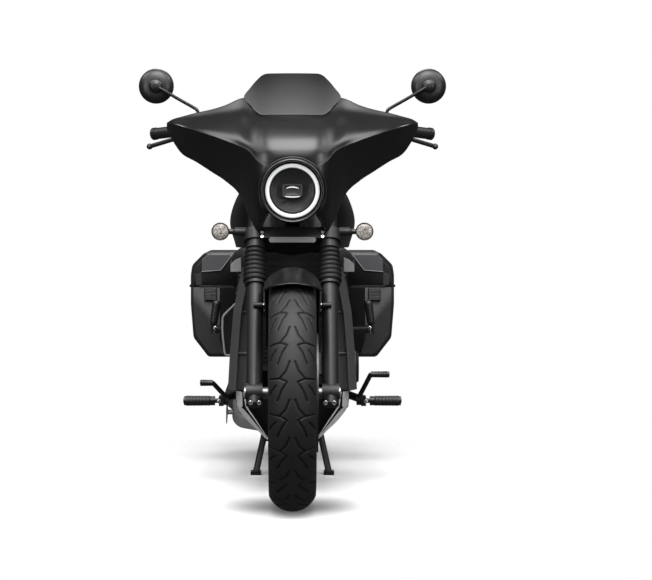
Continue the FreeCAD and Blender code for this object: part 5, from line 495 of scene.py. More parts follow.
# painted shade: no gloss in the grooves
groove_shade = shader_node(tree, "MapRange", To_Min=0.4, To_Max=0.0)
wire(tree, (sunk, "Fac", groove_shade, "Value"), (groove_shade, "Result", shader, "Specular IOR Level"))
print("grooves are dull")

# %% [markdown]
# ## The fairing
# The batwing in front of the bars is one thin skin: a lower half that leans back, a crease from
# tip to tip, and an upper half that rolls up to the screen. It is known from the outline at
# eleven stations between the middle and a tip, each a short list of heights and depths. A smooth
# curve through the stations, and another along each outline, give a fine grid. Cells inside the
# lamp's hole and the notch below it are left out, and the points at their edge are moved onto the
# exact line. A boolean cut would leave long thin faces whose shading shows in gloss paint.

# %% Fairing stations
HALF_WIDTH, BASE, HEIGHT, NOSE, SWEEP, WALL = 361, 756, 380, 118, 330, 3.5
STATIONS = [0.000, 0.166, 0.263, 0.332, 0.416, 0.526, 0.637, 0.762, 0.873, 0.950, 1.000]
UPPER = [
    [(0.979, 0.552), (0.866, 0.388), (0.734, 0.164), (0.603, 0.027), (0.463, 0.000)],
    [(0.984, 0.570), (0.871, 0.406), (0.737, 0.182), (0.605, 0.042), (0.471, 0.012)],
    [(0.987, 0.606), (0.874, 0.455), (0.739, 0.224), (0.608, 0.082), (0.500, 0.052)],
    [(0.989, 0.642), (0.879, 0.515), (0.747, 0.291), (0.642, 0.145), (0.574, 0.106)],
    [(0.979, 0.667), (0.884, 0.567), (0.774, 0.370), (0.682, 0.236), (0.616, 0.194)],
    [(0.934, 0.703), (0.866, 0.618), (0.787, 0.476), (0.716, 0.364), (0.661, 0.309)],
    [(0.903, 0.739), (0.853, 0.673), (0.795, 0.567), (0.742, 0.476), (0.700, 0.424)],
    [(0.879, 0.788), (0.842, 0.739), (0.805, 0.667), (0.766, 0.597), (0.739, 0.552)],
    [(0.853, 0.839), (0.832, 0.806), (0.808, 0.758), (0.784, 0.709), (0.774, 0.679)],
    [(0.834, 0.879), (0.824, 0.861), (0.811, 0.836), (0.800, 0.812), (0.795, 0.794)],
    [(0.808, 0.915), (0.805, 0.909), (0.802, 0.903), (0.798, 0.894), (0.795, 0.885)],
]
LOWER = [
    [(0.463, 0.000), (0.300, 0.006), (0.142, 0.061), (0.003, 0.142)],
    [(0.471, 0.012), (0.305, 0.027), (0.145, 0.076), (0.003, 0.158)],
    [(0.500, 0.052), (0.339, 0.073), (0.163, 0.112), (0.003, 0.197)],
    [(0.574, 0.106), (0.392, 0.158), (0.242, 0.218), (0.089, 0.294)],
    [(0.616, 0.194), (0.471, 0.264), (0.358, 0.333), (0.266, 0.400)],
    [(0.661, 0.309), (0.550, 0.385), (0.445, 0.461), (0.363, 0.536)],
    [(0.700, 0.424), (0.603, 0.497), (0.511, 0.576), (0.432, 0.642)],
    [(0.739, 0.552), (0.655, 0.618), (0.576, 0.688), (0.508, 0.748)],
    [(0.774, 0.679), (0.700, 0.739), (0.637, 0.800), (0.568, 0.855)],
    [(0.795, 0.794), (0.747, 0.830), (0.705, 0.861), (0.666, 0.891)],
    [(0.795, 0.885), (0.784, 0.894), (0.774, 0.906), (0.763, 0.915)],
]


def outline_grid(table, across, along):
    """Stations as (height, depth) lists, mirrored, smoothed from tip to tip and along each outline."""
    shares = np.array(STATIONS)[:, None, None]
    outlines = np.asarray(table, float)
    half = np.concatenate([np.broadcast_to(shares, (*outlines.shape[:2], 1)), outlines], -1)
    other = half[:0:-1] * (-1, 1, 1)
    grid = flowing(np.concatenate([other, half]), across).swapaxes(0, 1)
    x, height, depth = np.moveaxis(flowing(grid, along), -1, 0)
    return np.stack([x * HALF_WIDTH, NOSE + depth * SWEEP, BASE + height * HEIGHT], -1)


print("fairing stations", len(STATIONS))

# %% [markdown]
# Gloss paint shows each ripple, so the depths are evened out across the skin by a bell-shaped
# mean of the 25 points about each.

# %% Fairing skin
COLUMNS, UPPER_ROWS, LOWER_ROWS = 221, 60, 50
BLUR, BLUR_REACH = 25, 2.5
upper, lower = outline_grid(UPPER, COLUMNS, UPPER_ROWS), outline_grid(LOWER, COLUMNS, LOWER_ROWS)
skin = np.concatenate([upper, lower[1:]])
weights = np.exp(-(np.linspace(-BLUR_REACH, BLUR_REACH, BLUR) ** 2) / 2)
spread = np.pad(skin[..., 1], ((0, 0), (BLUR // 2, BLUR // 2)), mode="reflect", reflect_type="odd")
windows = np.lib.stride_tricks.sliding_window_view(spread, BLUR, axis=1)
skin[..., 1] = windows @ (weights / weights.sum())
cells = grid_faces(*skin.shape[:2], False, False)
flat = skin.reshape(-1, 3)
HOLE_RADIUS, LAMP_Z, RING_FOOT = 92, 865, 800
NOTCH_FOOT, NOTCH_TOP, NOTCH_TOP_HALF = 754, 822, 60


def notch_half(z):
    """Half width of the notch below the lamp, which narrows evenly from its foot to its top."""
    narrowing = (HOLE_RADIUS - NOTCH_TOP_HALF) * (z - NOTCH_FOOT) / (NOTCH_TOP - NOTCH_FOOT)
    return HOLE_RADIUS - narrowing


centre = flat[cells].mean(1)
in_hole = np.hypot(centre[:, 0], centre[:, 2] - LAMP_Z) < HOLE_RADIUS
in_notch = (np.abs(centre[:, 0]) < notch_half(centre[:, 2])) & (centre[:, 2] < NOTCH_TOP)
gone = in_hole | in_notch
edge = np.intersect1d(cells[gone].ravel(), cells[~gone].ravel())
x, z = flat[edge, 0], flat[edge, 2] - LAMP_Z
ring = np.hypot(x, z)
to_ring, to_notch = np.abs(ring - HOLE_RADIUS), np.abs(np.abs(x) - notch_half(flat[edge, 2]))
on_ring = (to_ring < to_notch) | (flat[edge, 2] > RING_FOOT)
flat[edge, 0] = np.where(on_ring, x * HOLE_RADIUS / ring, np.sign(x) * notch_half(flat[edge, 2]))
flat[edge, 2] = np.where(on_ring, LAMP_Z + z * HOLE_RADIUS / ring, flat[edge, 2])
kept = cells[~gone].tolist()
fairing = new_piece("fairing_skin", flat, kept, "front_end", "body_black", sharp_degrees=50)
walled(facing(fairing, FORWARD), WALL)
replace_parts(fairing, "fairing")
print("fairing cells", len(kept), "hole edge points", len(edge))

# %% [markdown]
# A rubber strip covers the cut edge. The edge's points are put in order round the lamp, and a
# thin tube is carried through every sixth of them.

# %% Fairing edge strip
STRIP_RADIUS, STRIP_RINGS = 3.0, 200
lip = flat[edge]
turn = np.arctan2(lip[:, 0], LAMP_Z - lip[:, 2]) % (2 * math.pi)
lip = flowing(lip[np.argsort(turn)][::6], STRIP_RINGS)
strip = swept_rings(lip + (0, STRIP_RADIUS / 2, 0), STRIP_RADIUS, 10)
tube_piece("fairing_edge_strip", strip, "front_end", "grip_rubber")
print("edge strip rings", len(strip))

# %% [markdown]
# ## The windscreen
# A short dark screen stands on the fairing's upper half. It is a bent sheet 4 mm thick, bowed
# across and leaning back, with its upper corners cut away in a curve. Each station across it says
# where the sheet begins and ends in height. A thin pale tube along its lower edge is a painted
# highlight.

# %% Windscreen
SCREEN_HALF, SCREEN_HEIGHT, SCREEN_LEAN, SCREEN_BOW, SCREEN_THICKNESS = 140, 122, 118, 44, 4
SCREEN_Y, SCREEN_Z, SCREEN_HIGHLIGHT_RADIUS, SCREEN_HIGHLIGHT_SPAN = 226, 1079, 1.5, 0.8
SCREEN_LINE = [
    (0.00, 0.00, 1.000), (0.25, 0.00, 1.000), (0.48, 0.00, 0.998), (0.56, 0.00, 0.985),
    (0.63, 0.01, 0.945), (0.70, 0.06, 0.870), (0.78, 0.15, 0.770), (0.87, 0.26, 0.635),
    (0.94, 0.34, 0.540), (0.98, 0.41, 0.460),
]
half = np.array(SCREEN_LINE)
stations = flowing(np.concatenate([half[:0:-1] * (-1, 1, 1), half]), 121)
share = np.linspace(0, 1, 31)[:, None]
x, low, high = stations[:, 0], stations[:, 1], stations[:, 2]
height = low + (high - low) * share
across = np.broadcast_to(x * SCREEN_HALF, height.shape)
lean = SCREEN_Y + SCREEN_LEAN * height + SCREEN_BOW * x**2
front = np.stack([across, lean, SCREEN_Z + SCREEN_HEIGHT * height], -1)
behind = front + (0, SCREEN_THICKNESS, 0)
screen = sheet_piece("screen_sheet", front, behind, "front_end", "screen_smoke")
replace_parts(screen, "windscreen")
# painted highlight: a thin pale tube along the screen's lower edge
low_edge = front[0][np.abs(x) <= SCREEN_HIGHLIGHT_SPAN] + (0, -0.4 * SCREEN_HIGHLIGHT_RADIUS, 0)
tube_piece("screen_edge_highlight", swept_rings(low_edge, SCREEN_HIGHLIGHT_RADIUS, 10), "front_end", "panel_grey")
print("screen", front.min((0, 1)), front.max((0, 1)))

# %% [markdown]
# ## The headlight
# A deep black bowl holds a ring that glows white, a dark dish and a small projector box with two
# bright curved edges, all behind a clear crowned glass. Everything but the box is turned on one
# axis, so each piece is a short profile of radii and depths carried round it.

# %% Headlight bowl, glass, ring and dish
LAMP_Y, LAMP_STEPS = 112.0, 128
LAMP = np.array([0.0, LAMP_Y, LAMP_Z])


def lamp_part(part, profile, slot, closed=False):
    """A profile of (radius, depth) pairs turned about the headlight's axis."""
    name = f"headlight_{part}"
    return turned_piece(name, profile, LAMP, BACK, "front_end", slot, LAMP_STEPS, closed=closed)


bowl = flowing([(86.5, 28), (80, 55), (69, 84), (56, 102)], 12).tolist()
outer = [(83, 1.2), (85, 0.2), (87.5, 1.2), (89, 3.5), (89, 24), (88, 27)]
inner = [(53, 101), (70, 70), (78, 29), (80.5, 26), (80.5, 9), (81.5, 4)]
shell_profile = [(0, 104), *bowl[::-1], *outer[::-1], *inner[::-1], (0, 101)]
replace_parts(lamp_part("shell", shell_profile, "body_black"), "headlight_bucket")
GLASS_RADIUS, GLASS_RIM, GLASS_RISE = 79.5, 15, 6
dome = [(r, GLASS_RIM - GLASS_RISE * (1 - (r / 80) ** 2)) for r in np.linspace(0, GLASS_RADIUS, 14)]
glass_profile = dome + [(GLASS_RADIUS, 17.5), (40, 16.5), (0, 13)]
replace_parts(lamp_part("glass", glass_profile, "lens_clear"), "headlight_lens")
RING_RADIUS, RING_DEPTH, RING_HALF_WIDTH, RING_HALF_DEPTH = 69.5, 23, 5.5, 4
angle = np.linspace(0, 2 * math.pi, 24, endpoint=False)
ring_radii = RING_RADIUS + RING_HALF_WIDTH * np.cos(angle)
ring_profile = np.stack([ring_radii, RING_DEPTH + RING_HALF_DEPTH * np.sin(angle)], -1)
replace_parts(lamp_part("ring", ring_profile, "lamp_light", closed=True), "headlight_core")
dish_profile = [(62.5, 27), (61, 30), (55, 42), (38, 50), (0, 52), (0, 56), (66, 30)]
lamp_part("dish", dish_profile, "plastic_black", closed=True)
rim_profile = [(63.8, 22), (62.6, 19.5), (61.4, 22), (61, 30), (63.8, 30)]
lamp_part("dish_rim", rim_profile, "plastic_black", closed=True)
print("headlight across", 2 * max(radius for radius, _ in outer))

# %% [markdown]
# The projector is a box with round corners: a rounded rectangle that shrinks and sinks in six
# steps. Two thin bars of light, bent as a brow and a chin, are tubes that thin out at their ends.

# %% Projector
def rounded_frame(half_x, half_z, corner, count=64):
    """A rounded rectangle: a circle stretched by a high power so that its sides go straight."""
    t = np.linspace(0, 2 * math.pi, count, endpoint=False)
    power = 2 * corner
    x = np.sign(np.cos(t)) * np.abs(np.cos(t)) ** power * half_x
    z = np.sign(np.sin(t)) * np.abs(np.sin(t)) ** power * half_z
    return np.stack([x, np.zeros(count), z], -1)


def framed_rings(middle, steps, corner=0.14):
    """Rounded rectangles along Y from a middle point: each step is (depth, half width, half height)."""
    return np.stack([rounded_frame(w, h, corner) + middle + (0, depth, 0) for depth, w, h in steps])


steps = [(50, 28, 18), (21, 28, 18), (19, 26.5, 16.5), (19.5, 24, 14.5), (27, 22, 12.5), (29, 12, 7)]
box = framed_rings(LAMP, steps)
tube_piece("headlight_projector", box, "front_end", "panel_grey", sharp_degrees=30)
t = np.linspace(-1, 1, 25)
thin = 1.6 * np.sqrt(1.02 - t**2)
brow = np.stack([t * 18, 22 + 0 * t, 10 - 4 * t**2], -1) + LAMP
chin = np.stack([t * 25, 20 + 0 * t, -17.5 + 3 * t**2], -1) + LAMP
for word, arc in (("upper", brow), ("lower", chin)):
    tube_piece(f"headlight_{word}_beam", swept_rings(arc, thin, 10), "front_end", "lamp_light")
print("projector rings", len(box))

# %% [markdown]
# ## Mirrors
# Round mirrors stand on thin stems above the bars. Bowl, glass and boss are turned shapes and the
# stem is a bent tube. One side is drawn, and the other has the same points mirrored.

# %% Mirrors
MIRROR = np.array([398, 512, 1174])
BOSS_STEPS, STEM_RADIUS = 64, 4.8
bowl = flowing([(0, 0), (31, 3), (46, 12), (51, 23), (51, 30)], 24).tolist()
bowl += [(50.2, 32), (46.8, 32), (46, 31), (46, 29.5), (0, 29.5)]
face = [(0, 29), (45.8, 29.6), (45.8, 30.4), (30, 30.2), (0, 29.8)]
boss = [(0, -12), (6, -12), (7, -11), (11, -10.5), (17, -7), (20.5, -3), (21, 2), (0, 2)]
stem = [(274.5, 532.1, 1071), (274.6, 532.1, 1090), (279, 531.8, 1104), (292, 530.8, 1113)]
stem = flowing(stem + [(326, 522, 1132), (360, 509, 1151.5), (398, 505.5, 1174)], 56)
for side, word in SIDES:
    flip = np.array([side, 1, 1])
    place = MIRROR * flip
    head = turned_piece(f"mirror_bowl_{word}", bowl, place, BACK, "front_end", "plastic_black")
    if side > 0:
        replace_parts(head, "mirrors")
    turned_piece(f"mirror_face_{word}", face, place, BACK, "front_end", "mirror_glass")
    rod = swept_rings(stem * flip, STEM_RADIUS)
    tube_piece(f"mirror_stem_{word}", rod, "front_end", "plastic_black")
    turned_piece(f"mirror_boss_{word}", boss, place, BACK, "front_end", "plastic_black", BOSS_STEPS)
print("mirrors at", MIRROR)

# %% [markdown]
# ## Turn signals
# Each signal is a dark cup with a bright dish under a warm clear lens, and the front ones show a
# bulb. They stand on short level arms, which leave a sleeve on the lower clamp. Cup, dish, bulb
# and lens are four profiles on one axis; a single solid with an orange front would show no depth
# behind its lens.

# %% Front turn signals
FORK_UP = np.array([0.0, 0.46947, 0.88295])
FORK_BACK = np.array([0.0, 0.88295, -0.46947])
FRONT_AXLE_Z = 318.0


def on_fork(up, back, x):
    """A point of the leaning fork: axle + up * fork line + back * its square."""
    return np.array([x, 0.0, FRONT_AXLE_Z]) + up * FORK_UP + back * FORK_BACK


CUP = [(0, 34), (11, 33.5), (17, 29), (23, 18), (25, 9), (25, 4.5), (24, 3.4)]
CUP += [(22.8, 4.5), (22.8, 10), (19, 18), (8, 25), (0, 25)]
DISH = [(22.6, 9), (17, 17), (7, 22), (0, 22), (0, 24), (8, 24), (18, 19), (22.6, 11)]
BULB = [(0, 8), (3.5, 9), (5, 12.5), (4.5, 16), (3.5, 22.5), (0, 22.5)]
COVER = [(0, 0.2), (9, 0.9), (17, 2.7), (21, 4.6), (22.6, 7), (22.6, 9), (20.5, 6.6), (10, 3), (0, 2.2)]


def turn_signal(end, word, place, axis, body, bulb=False):
    """Cup, dish, bulb and lens turned about one axis; gives back the cup."""
    cup = turned_piece(f"{end}_signal_cup_{word}", CUP, place, axis, body, "plastic_black", 64)
    turned_piece(f"{end}_signal_dish_{word}", DISH, place, axis, body, "lamp_chrome", 64)
    if bulb:
        turned_piece(f"{end}_signal_bulb_{word}", BULB, place, axis, body, "bulb_amber", 32)
    turned_piece(f"{end}_signal_lens_{word}", COVER, place, axis, body, "lens_amber", 64)
    return cup


CLAMP_UP, CLAMP_SIDE = 475, 135.8
SIGNAL_X, SIGNAL_AHEAD, SIGNAL_RISE, SLEEVE_RISE, ARM_RADIUS = 201, 17, 14.6, 14, 7.5
root = on_fork(CLAMP_UP, 0, CLAMP_SIDE)
signal = np.array([SIGNAL_X, root[1] - SIGNAL_AHEAD, root[2] + SIGNAL_RISE])
arm = [root + (24, 0, SLEEVE_RISE), root + (40, 0, 14.4), root + (60, 0, SIGNAL_RISE)]
arm = flowing(arm, 16)
sleeve = [(0, -9), (11, -9), (11.4, -8), (11.4, 24), (10.4, 25), (9.6, 29), (7.6, 31), (0, 31)]
for side, word in SIDES:
    flip = np.array([side, 1, 1])
    housing = turn_signal("front", word, signal * flip, BACK, "front_end", bulb=True)
    if side > 0:
        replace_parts(housing, "front_indicators")
    rod = swept_rings(arm * flip, ARM_RADIUS, 24)
    tube_piece(f"front_signal_arm_{word}", rod, "front_end", "plastic_black")
    base, out = (root + (0, 0, SLEEVE_RISE)) * flip, (side, 0, 0)
    turned_piece(f"front_signal_sleeve_{word}", sleeve, base, out, "front_end", "fork_black", 48)
print("front signals at", signal.round(1))

# %% [markdown]
# ## Fork gaiters
# Rubber bellows cover the fork between slider and clamp: one profile with seven soft folds, wider
# at its foot, where it hides the fork's collar. A smooth skirt closes it under the clamp.

# %% Gaiters
FORK_X, GAITER_FOOT, GAITER_HEIGHT, SKIRT_FOOT, FOLDS = 103, 333, 98, 434, 7
WIDE_SHARE, WIDE_RADIUS, NARROWING = 0.28, 31.2, 6.3
FOLD_DEPTH, FOLD_DEEPENING, FOLD_POWER = 2.8, 1.8, 0.6
folds = np.linspace(0, FOLDS, FOLDS * 14 + 1)
narrow = np.clip((folds / FOLDS - WIDE_SHARE) / (1 - WIDE_SHARE), 0, 1)
wave = np.abs(np.sin(math.pi * folds)) ** FOLD_POWER
outer = WIDE_RADIUS - NARROWING * narrow + (FOLD_DEPTH + FOLD_DEEPENING * narrow) * wave
gaiter = np.stack([outer, folds / FOLDS * GAITER_HEIGHT], -1).tolist()
gaiter += [(24.5, GAITER_HEIGHT), (24.5, 30), (29.8, 29.5), (29.8, 0)]
skirt = [(24.5, 0), (25.6, 0), (27, 1.6), (27, 8), (25.8, 9), (25.8, 23.5), (24.5, 23.5)]
for side, word in SIDES:
    foot, top = (on_fork(up, 0, FORK_X * side) for up in (GAITER_FOOT, SKIRT_FOOT))
    name = f"fork_gaiter_{word}"
    bellows = turned_piece(name, gaiter, foot, FORK_UP, "front_end", "gaiter_black", 72, closed=True)
    if side > 0:
        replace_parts(bellows, "fork_gaiters")
    turned_piece(f"fork_skirt_{word}", skirt, top, FORK_UP, "front_end", "fork_black", 64, closed=True)
print("gaiter radius", outer.min().round(1), outer.max().round(1))

# %% [markdown]
# ## Bolts
# The pinch bolts of clamps, feet and rests are all alike, so one function turns a cap screw with
# a socket and copies its points to every place; each group of bolts is one piece.

# %% Bolts
def bolts(name, places, axis, radius, height, body, slot="bolt_steel"):
    """Cap screws as one piece: a turned head with a socket at each place, its top along axis."""
    r, h = radius, height
    head = [(0, h * 0.4), (r * 0.5, h * 0.4), (r * 0.55, h), (r * 0.85, h)]
    head += [(r, h * 0.85), (r, 0), (r * 0.6, -h), (0, -h)]
    screw = turned_rings(head, (0, 0, 0), axis, 24)
    cells = grid_faces(*screw.shape[:2], False, True)
    screw = screw.reshape(1, -1, 3)
    points = (screw + np.asarray(places, float)[:, None]).reshape(-1, 3)
    first = np.arange(len(places))[:, None, None] * screw.shape[1]
    faces = (cells[None] + first).reshape(-1, 4).tolist()
    return new_piece(name, points, faces, body, slot, sharp_degrees=35)


PINCH_UPS, PINCH_AHEAD, PINCH_XS = (460.5, 474), 26, (-84, 84)
FOOT_BOLT_Y, FOOT_BOLT_Z, FOOT_BOLT_XS = -38.0, 294.0, (-112, -89, 89, 112)
pinch = [on_fork(up, -PINCH_AHEAD, x) for up in PINCH_UPS for x in PINCH_XS]
bolts("lower_clamp_bolts", pinch, -FORK_BACK, 5.2, 5, "front_end")
feet = [(x, FOOT_BOLT_Y, FOOT_BOLT_Z) for x in FOOT_BOLT_XS]
bolts("fork_foot_bolts", feet, FORWARD, 6.4, 6, "front_end")
clamp_edge = np.array([(-62, 722), (62, 722), (66, 729), (62, 737), (-62, 737), (-66, 729)])
clamp_rings = [np.insert(clamp_edge, 1, y, axis=1) for y in (190, 197)]
tube_piece("clamp_lip", clamp_rings, "front_end", "cap_grey")
print("bolts", len(pinch) + len(feet))

# %% [markdown]
# ## Front fender
# The fender is a pressed arch about the tyre, crowned across and rounded at its front corners.
# Its surface is turned about the axle: the height follows an arc across, and the angle at which
# it begins and ends depends on the place across. Its front edge is rolled into a bead.

# %% Front fender
FENDER_RADIUS, FENDER_HALF, FENDER_DROP, FENDER_WALL = 337, 74, 44, 3
LEAD_DEGREES, LEAD_ROUNDING, TRAIL_DEGREES, TRAIL_ROUNDING = 28, 9, 74, 6
x = np.linspace(-1, 1, 49)[None, :]
share = np.linspace(0, 1, 90)[:, None]
lead = LEAD_DEGREES - LEAD_ROUNDING * np.abs(x) ** 3
trail = TRAIL_DEGREES - TRAIL_ROUNDING * np.abs(x) ** 4
turn = np.radians(lead - (lead + trail) * share)
crown = (FENDER_HALF**2 + FENDER_DROP**2) / (2 * FENDER_DROP)
rise = FENDER_RADIUS - crown + np.sqrt(crown**2 - (FENDER_HALF * x) ** 2)


def arch(half, reach):
    """A sheet about the front axle: half * x across, reach from the axle at each angle."""
    z = FRONT_AXLE_Z + np.cos(turn) * reach
    return np.stack([half * x + 0 * share, -np.sin(turn) * reach, z], -1)


outside, inside = arch(FENDER_HALF + 2, rise + FENDER_WALL), arch(FENDER_HALF - 0.5, rise)
fender = sheet_piece("front_fender_arch", outside, inside, "front_end", "body_black", sharp_degrees=50)
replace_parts(fender, "front_fender")
TAB_XS, BOSS_UP, BOSS_AHEAD, BOSS_X, BOLT_X = (74.2, 80.1), 251, 25, 107, 78
tab = [(236, -13.2), (236, 13.2), (268, 22), (301, 33), (301, -33), (268, -22)]
boss = [(0, 0), (7.4, 0), (7.6, 1), (7.6, 24), (6.4, 24.6), (6.4, 27), (0, 27)]
head = [(0, 0), (3, 0), (3.4, 2.6), (5.6, 2.6), (6, 2), (6, -2), (0, -2)]
for side, word in SIDES:
    inward = (-side, 0, 0)
    rings = [[on_fork(up, back, side * wide) for up, back in tab] for wide in TAB_XS]
    bevelled(tube_piece(f"front_fender_tab_{word}", rings, "front_end", "body_black"), 1.5)
    boss_at, bolt_at = (on_fork(BOSS_UP, -BOSS_AHEAD, x * side) for x in (BOSS_X, BOLT_X))
    turned_piece(f"fender_boss_{word}", boss, boss_at, inward, "front_end", "fork_black", 40)
    turned_piece(f"fender_bolt_{word}", head, bolt_at, inward, "front_end", "bolt_steel", 32)
tube_piece("front_fender_bead", swept_rings(outside[0], 2.4, 12), "front_end", "alloy_black")
print("fender", outside.min((0, 1)).round(1), outside.max((0, 1)).round(1))

# %% [markdown]
# ## Fuel tank
# The tank is a teardrop over the frame's spine. Eight stations give its base, its widest line and
# its crest, and a smooth surface passes through them all, as a stretched panel does. A flanged
# filler cap sits on its crown.

# %% Fuel tank
TANK_FRONT, TANK_LENGTH, TANK_BASE, TANK_HALF, TANK_HEIGHT = 424, 500, 702, 182, 232
HAUNCH_SHARES, SHOULDER_SHARES = (0.8, 0.62), (0.42, 0.93)
TANK_STATIONS = [
    (0.00, 0.30, 0.36, 0.52, 0.70),
    (0.04, 0.50, 0.60, 0.50, 0.84),
    (0.14, 0.74, 0.84, 0.44, 0.95),
    (0.32, 0.90, 0.99, 0.38, 1.00),
    (0.50, 0.90, 1.00, 0.34, 0.97),
    (0.70, 0.76, 0.86, 0.30, 0.84),
    (0.88, 0.60, 0.66, 0.26, 0.60),
    (1.00, 0.50, 0.54, 0.22, 0.36),
]


def tank_surface(rows, columns):
    """Rings over a flat base: the base, widest line, shoulder and crest of each station, smoothed."""
    share, low, wide, wide_up, top = np.array(TANK_STATIONS).T
    (haunch_x, haunch_up), (shoulder_x, shoulder_up) = HAUNCH_SHARES, SHOULDER_SHARES
    rise = top - wide_up
    heights = [0 * top, wide_up, wide_up + rise * haunch_up, wide_up + rise * shoulder_up, top]
    x = np.stack([low, wide, wide * haunch_x, wide * shoulder_x, 0 * wide], 1) * TANK_HALF
    z = TANK_BASE + TANK_HEIGHT * np.stack(heights, 1)
    x = np.concatenate([x, -x[:, 3::-1]], 1)
    z = np.concatenate([z, z[:, 3::-1]], 1)
    y = np.broadcast_to((TANK_FRONT + TANK_LENGTH * share)[:, None], x.shape)
    rings = flowing(np.stack([x, y, z], -1), rows).swapaxes(0, 1)
    rings = flowing(rings, columns).swapaxes(0, 1)
    rings[..., 2] = np.maximum(rings[..., 2], TANK_BASE)
    return rings


tank_rings = tank_surface(110, 81)
tank = bevelled(tube_piece("tank_shell", tank_rings, "chassis", "body_black"), 6, 4, 35)
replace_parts(tank, "fuel_tank")
filler = (0, TANK_FRONT + 170, TANK_BASE + TANK_HEIGHT)
cap = [(0, 8), (20, 8), (24, 7), (25, 4), (30, 3.4), (33, 2), (34, -4), (34, -20), (0, -20)]
turned_piece("tank_filler_flange", cap, filler, UP, "chassis", "bolt_steel")
print("tank", tank_rings.min((0, 1)), tank_rings.max((0, 1)))

# %% [markdown]
# ## The two seats
# Foam under a stretched cover swells between its edges and lies flat on its pan. The two seats
# start as the frame's solids, drawn in by a few millimetres and divided into even cells, and a
# cloth simulation with a little air inside blows them up again, held to a small travel so that
# they stay in their place. Modelling that swell by hand takes long and looks stiff. The seams
# come afterwards, because the even cells are larger than a seam.

# %% How a cushion is made
PAD_CELL, PAD_DRAW_IN, PAD_TRAVEL, AIR_PRESSURE, AIR_STEPS = 6, 4, 9, 4, 20


def evaluated_copy(piece):
    """The mesh of a piece with its modifiers worked in."""
    view = bpy.context.evaluated_depsgraph_get()
    return bpy.data.meshes.new_from_object(piece.evaluated_get(view))


def mesh_values(mesh, kind):
    """One row of three for each point of a mesh: co for its place, normal for its direction."""
    values = np.zeros(len(mesh.vertices) * 3, np.float32)
    mesh.vertices.foreach_get(kind, values)
    return values.reshape(-1, 3).astype(float)


def move_points(pad, points):
    """Puts the points of a pad at new places, given in metres."""
    pad.data.vertices.foreach_set("co", points.ravel())
    pad.data.update()


def cushion(name, node):
    """Copies a solid, remeshes it, draws it in along its normals and swells it by cloth pressure."""
    mesh = nodes[node].data.copy()
    mesh.name = name
    edit = bmesh.new()
    edit.from_mesh(mesh)
    bmesh.ops.remove_doubles(edit, verts=edit.verts, dist=1e-5)
    edit.to_mesh(mesh)
    edit.free()
    pad = bpy.data.objects.new(name, mesh)
    bpy.context.scene.collection.objects.link(pad)
    cells = pad.modifiers.new("Even cells", "REMESH")
    cells.mode = "VOXEL"
    cells.voxel_size = PAD_CELL / 1000
    pad.data = evaluated_copy(pad)
    pad.modifiers.clear()
    start = mesh_values(pad.data, "co") - mesh_values(pad.data, "normal") * PAD_DRAW_IN / 1000
    move_points(pad, start)
    air = pad.modifiers.new("Air", "CLOTH")
    air.settings.use_pressure = True
    air.settings.uniform_pressure_force = AIR_PRESSURE
    air.settings.effector_weights.gravity = 0
    for step in range(1, AIR_STEPS + 1):
        bpy.context.scene.frame_set(step)
    swollen = mesh_values(evaluated_copy(pad), "co")
    pad.modifiers.clear()
    bpy.context.scene.frame_set(1)
    move = swollen - start
    size = np.linalg.norm(move, axis=1, keepdims=True)
    move_points(pad, start + move * np.minimum(1, PAD_TRAVEL / 1000 / np.maximum(size, 1e-9)))
    return pad


print("cushions swell by at most", PAD_TRAVEL)

# %% [markdown]
# A seam is where the cover is sewn down through the foam. It is a line across or along the pad,
# and the points near it sink along their normals.

# %% Cushions with their seams
SEAM_WIDTH, SEAM_DEPTH, SEAM_POWER = 5, 3, 0.7


def sewn_line(pad, distance):
    """Presses a groove into the pad: points sink along their normals where distance is small."""
    points = mesh_values(pad.data, "co")
    near = np.clip(1 - np.abs(distance(points)) / (SEAM_WIDTH / 1000), 0, 1)
    sink = SEAM_DEPTH / 1000 * near**SEAM_POWER
    move_points(pad, points - mesh_values(pad.data, "normal") * sink[:, None])


def covered(pad, node):
    """Gives a pad its cover, one subdivision and its place on the machine."""
    pad.data.shade_smooth()
    pad.data.materials.clear()
    pad.data.materials.append(finish_of["seat_cover"])
    fine = pad.modifiers.new("Fine cells", "SUBSURF")
    fine.levels = fine.render_levels = 1
    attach(pad, "chassis")
    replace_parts(pad, node)


def cross_seam(p):
    """Metres behind a seam across the rider's seat, which bows forward at its ends."""
    return p[:, 1] - (0.418 - 0.9 * p[:, 0] ** 2)


def side_seam(p):
    """Metres outside the rider's side seams, which wave in and out along the seat."""
    return np.abs(p[:, 0]) - (0.118 + 0.06 * np.sin((p[:, 1] - 0.1) * 8))


def pillion_seam(p):
    """Metres outside the passenger's side seams, which draw together towards the rear."""
    return np.abs(p[:, 0]) - (0.088 - 0.05 * np.clip(p[:, 1] - 0.6, 0, 1))


rider = cushion("rider_cushion", "rider_seat")
sewn_line(rider, cross_seam)
sewn_line(rider, side_seam)
covered(rider, "rider_seat")
pillion = cushion("passenger_cushion", "passenger_seat")
sewn_line(pillion, pillion_seam)
covered(pillion, "passenger_seat")
print("cushions", len(rider.data.vertices), len(pillion.data.vertices))

# %% [markdown]
# ## Panniers
# Each pannier is a moulded case with flat facets and soft edges: a body, and a lid that overlaps
# it. Its outline seen from the front is a list of eight corners; the outline shrinks at the two
# ends, and every corner is rounded by a small arc, so the facets stay flat as on the real case.
# The lid keeps the upper part of the same outline, and a narrow gap parts the two.

